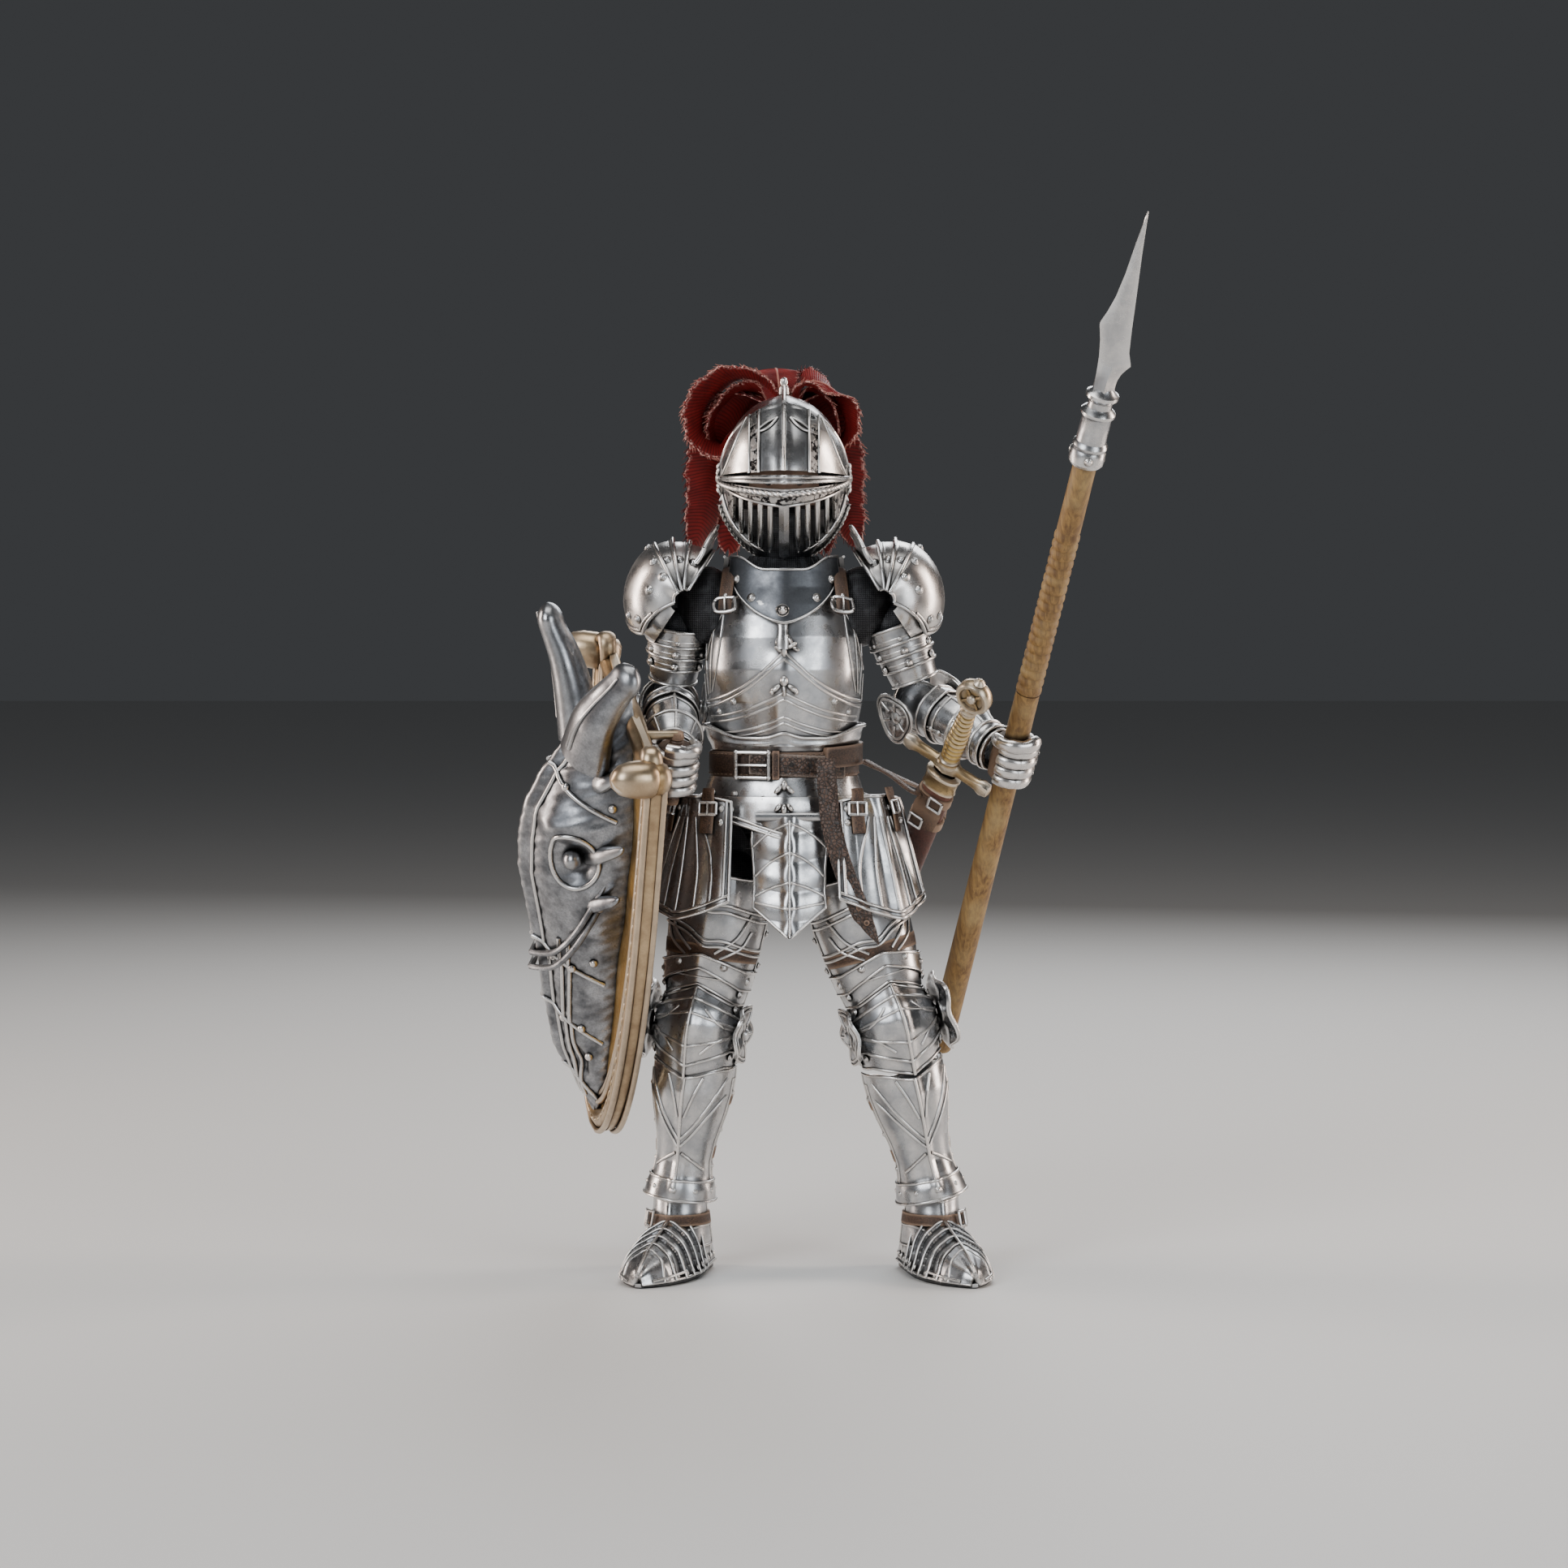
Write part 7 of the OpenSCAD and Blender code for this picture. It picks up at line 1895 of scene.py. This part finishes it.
make("shield_lining", "shield", strapHide,
    [sheet(boardSurf, span(-0.93, 0.93, 40), span(-84, -3, 60), 0.5, lambda u, z: -1.55 + 0 * u, (0, 30, -40),
    place=seat)], "leather")
back = [boardSurf(np.array([u]), np.array([z]))[0] + [0, 1.6, 0]
    for u, z in ((-0.5, -20), (0.5, -20), (-0.5, -34), (0.5, -34), (0, -60))]
layStuds("shield_back_rivets", "shield", [(moved(back, seat), facingOut(back, seat, (0, 1, 0)))], 1.0, 0.7, rimGold,
    slot="bronze")

# beast skull of our own design: long faceted muzzle, brow hoods, sockets, jaw bands, two horns
skull = {"z": [-87, -84, -78, -70, -62, -52, -42, -33, -26, -20, -13, -6, -1, 2],
    "wide": [0.4, 2.6, 5.6, 7.4, 7.6, 8.2, 10.0, 12.2, 13.0, 12.6, 11.0, 8.4, 5.4, 1.0],
         "deep": [0.5, 2.2, 5.2, 8.4, 10.2, 11.8, 14.0, 16.2, 16.6, 15.8, 13.0, 9.0, 5.2, 1.0]}


def skullSurf(t, z):
    w, d = np.interp(z, skull["z"], skull["wide"]), np.interp(z, skull["z"], skull["deep"])
    c, q = cosOf(t), sinOf(t)
    x = w * np.sign(c) * np.abs(c) ** 0.85
    y = 0.6 - d * np.abs(q) ** 1.12
    socket = 4.2 * bump(z + 27.5, 4.6) * (bump(t - 42, 15) + bump(t - 138, 15))
    brow = 2.4 * bump(z + 19.5 + 0.05 * np.abs(t - 90), 3.2) * (bump(t - 48, 22) + bump(t - 132, 22))
    crest = 2.0 * bump(t - 90, 6) * smooth((z + 80) / 10) * smooth((2 - z) / 4)
    cheek = 1.3 * bump(z + 40, 6) * (bump(t - 24, 14) + bump(t - 156, 14))
    nostril = 1.8 * bump(z + 72, 3) * (bump(t - 50, 12) + bump(t - 130, 12))
    step = 0.7 * (smooth((-47 - z - 0.1 * np.abs(t - 90)) / 0.8) + smooth((-60 - z - 0.08 * np.abs(t - 90)) / 0.8)
        - smooth((-12 - z + 0.06 * np.abs(t - 90)) / 0.8))
    swell = brow + crest + cheek - socket - nostril - 0.6 * step
    return np.stack([x + swell * c * 0.7, y - swell * np.abs(q), z + 0 * x], -1)


parts = [sheet(skullSurf, span(1, 179, 120), span(-86.8, 1.8, 170), 0.8, lambda t,
    z: 0.1 * np.sin(z * 2.1 + t * 0.11) * np.sin(t * 0.23 + z * 0.7), (0, 0.5, -40), place=seat)]
hornWays = {-1: [(-5.5, -7, -9), (-7.6, -8.5, -1), (-9.4, -10.2, 5), (-11.4, -12.6, 10.4), (-12.8, -13.6, 14.6)],
    1: [(5.6, -8, -8), (7.8, -7.4, -1), (9.0, -5.8, 3.4), (10.4, -3, 8.4), (11.2, -0.9, 12.2)]}
for side, way in hornWays.items():
    path = smoothPath(way, 44)[:44]
    t = span(0, 1, 44)
    r = (4.6 * (1 - t) ** 0.65 + 1.35 + 0.7 * bump(t - 0.86, 0.1)) * np.where(t > 0.93,
        np.sqrt(np.clip(1 - ((t - 0.93) / 0.072) ** 2, 0.01, 1)), 1)
    parts.append(tube(moved(path, seat), r, 26, 0.66, facingOut(path, seat, (side * 0.5, -1, 0.2))))
    ridge = path + np.array([side * 0.2, -1, 0.1]) * (r * 0.62)[:, None]
    for q in (-0.5, 0.5):
        parts.append(tube(moved(ridge[3:-6] + [q * 2.2 * 0.6, 0, 0], seat), 0.5 * (1 - 0.6 * t[3:-6]), 8))
    for z, reach, out in ((-10, 10, 12.5), (-23.5, 12, 16.2), (-34, 11, 15.5)):  # short side spikes
        spike = smoothPath([(side * (reach - 4), -6, z - 3), (side * (reach + 0.5), -5, z - 1.2),
            (side * out, -2.4, z + 1.4), (side * (out + 0.9), -1.6, z + 2.8)], 16)[:16]
        parts.append(tube(moved(spike, seat), 2.1 * (1 - span(0, 1, 16)) ** 0.7 + 0.25, 14, 0.7,
            facingOut(spike, seat, (0, -1, 0.3))))
    parts.append(blob((side * 8.6, -9.6, -27.6), (2.2, 1.7, 1.9), 1, seat, 24, 16))
    for q in (0, 1):  # plate edges over the jaw and muzzle
        jaw = [(side * (11.5 - 0.5 * q), -3.0, -30 - 3 * q), (side * 11.6, -5.8, -36 - 3 * q),
            (side * 10.4, -8.4, -42 - 3 * q), (side * 7.4, -11.0, -47 - 3 * q), (side * 2.5, -13.1, -50 - 3 * q),
            (0, -14.4, -51 - 3 * q)]
        parts.append(tube(moved(smoothPath(jaw, 30), seat), 0.6, 10))
make("shield_beast", "shield", gunmetal, parts, "dark_steel", ["shield_relief"], sharp=34)
lines = []
for k in (-1, 1):
    for a, b, c in ((90 + k * 9, 90 + k * 12, -10), (90 + k * 22, 90 + k * 34, -45), (90 + k * 30, 90 + k * 44, -45)):
        lines.append(onSurface(skullSurf, [(a + (b - a) * q, -80 + (c + 80) * q) for q in span(0, 1, 60)], 0.12,
            (0, 0.5, -40), seat))
    for z in (-11.5, -60, -47, -74):
        lines.append(onSurface(skullSurf, [(90 + k * t, z - 0.09 * t) for t in span(2, 76, 40)], 0.2, (0, 0.5, -40),
            seat))
    lines.append(onSurface(skullSurf, [(90 + k * (48 + 19 * math.cos(q)), -27.5 + 5.6 * math.sin(q))
        for q in span(0, 2 * math.pi, 60)], 0.15, (0, 0.5, -40), seat))
layBeads("shield_beast_edges", "shield", lines, 0.45, 0.4, steel, slot="dark_steel")
dots = [onSurface(skullSurf, [(90 + k * t, z) for k in (-1, 1)
    for t, z in ((20, -50), (46, -51), (66, -49), (24, -63), (52, -64), (70, -36), (72, -16), (30, -14),
    (58, -70))], 0.3, (0, 0.5, -40), seat)]
layStuds("shield_beast_rivets", "shield", dots, 0.8, 0.6, slot="dark_steel", washer=0.0003)
hold = placed((-19.8, -18.5, 94.5), (1, 0, 0), (0.081, -0.382, 0.92))
bar = [lathe([(0.02, -7.2), (1.1, -7.1), (1.25, -6.5)]
    + [(1.25 + 0.09 * math.sin(q * 3.1), z) for q, z in enumerate(span(-6, 6, 46))]
    + [(1.25, 6.5), (1.1, 7.1), (0.02, 7.2)], hold, 20)]
ends = []
for z in (-6.6, 6.6):
    a = moved([(0, 0, z)], hold)[0]
    local = seat[0].T @ (a - seat[1])
    ends.append(tube([a, 0.5 * (a + moved([(local[0], 1.8, local[2])], seat)[0]),
        moved([(local[0], 1.5, local[2])], seat)[0]], 0.85, 10))
make("shield_handle_wrap", "shield", strapHide, bar, "leather", ["shield_grip"])
make("shield_handle_posts", "shield", bronze, ends, "bronze")
print("shield made")

# CAD parts that stay, and the end

kept = ["pelvis_block", "torso_core", "neck_post"] + [side + "_" + part for side in ("right", "left")
                                                     for part in ("shoulder_joint", "hip_joint", "knee_block",
                                                     "ankle_joint")]
for name in kept:
    slots = frame["nodes"][name].data.materials
    slots.clear()
    slots.append(mailCloth)
plain = {"steel": steel, "dark_steel": darkSteel, "bronze": bronze, "leather": beltHide, "plume_red": plumeDye,
         "joint_grey": mailCloth, "skin": skinPaint, "spear_wood": bronze}
for name, node in frame["nodes"].items():
    if name not in kept and not node.hide_render:
        rows = [s["material_slot"] for s in frame["record"]["subparts"] if s["node"] == name]
        node.data.materials.clear()
        node.data.materials.append(plain[rows[0]])
        print("still plain:", name)
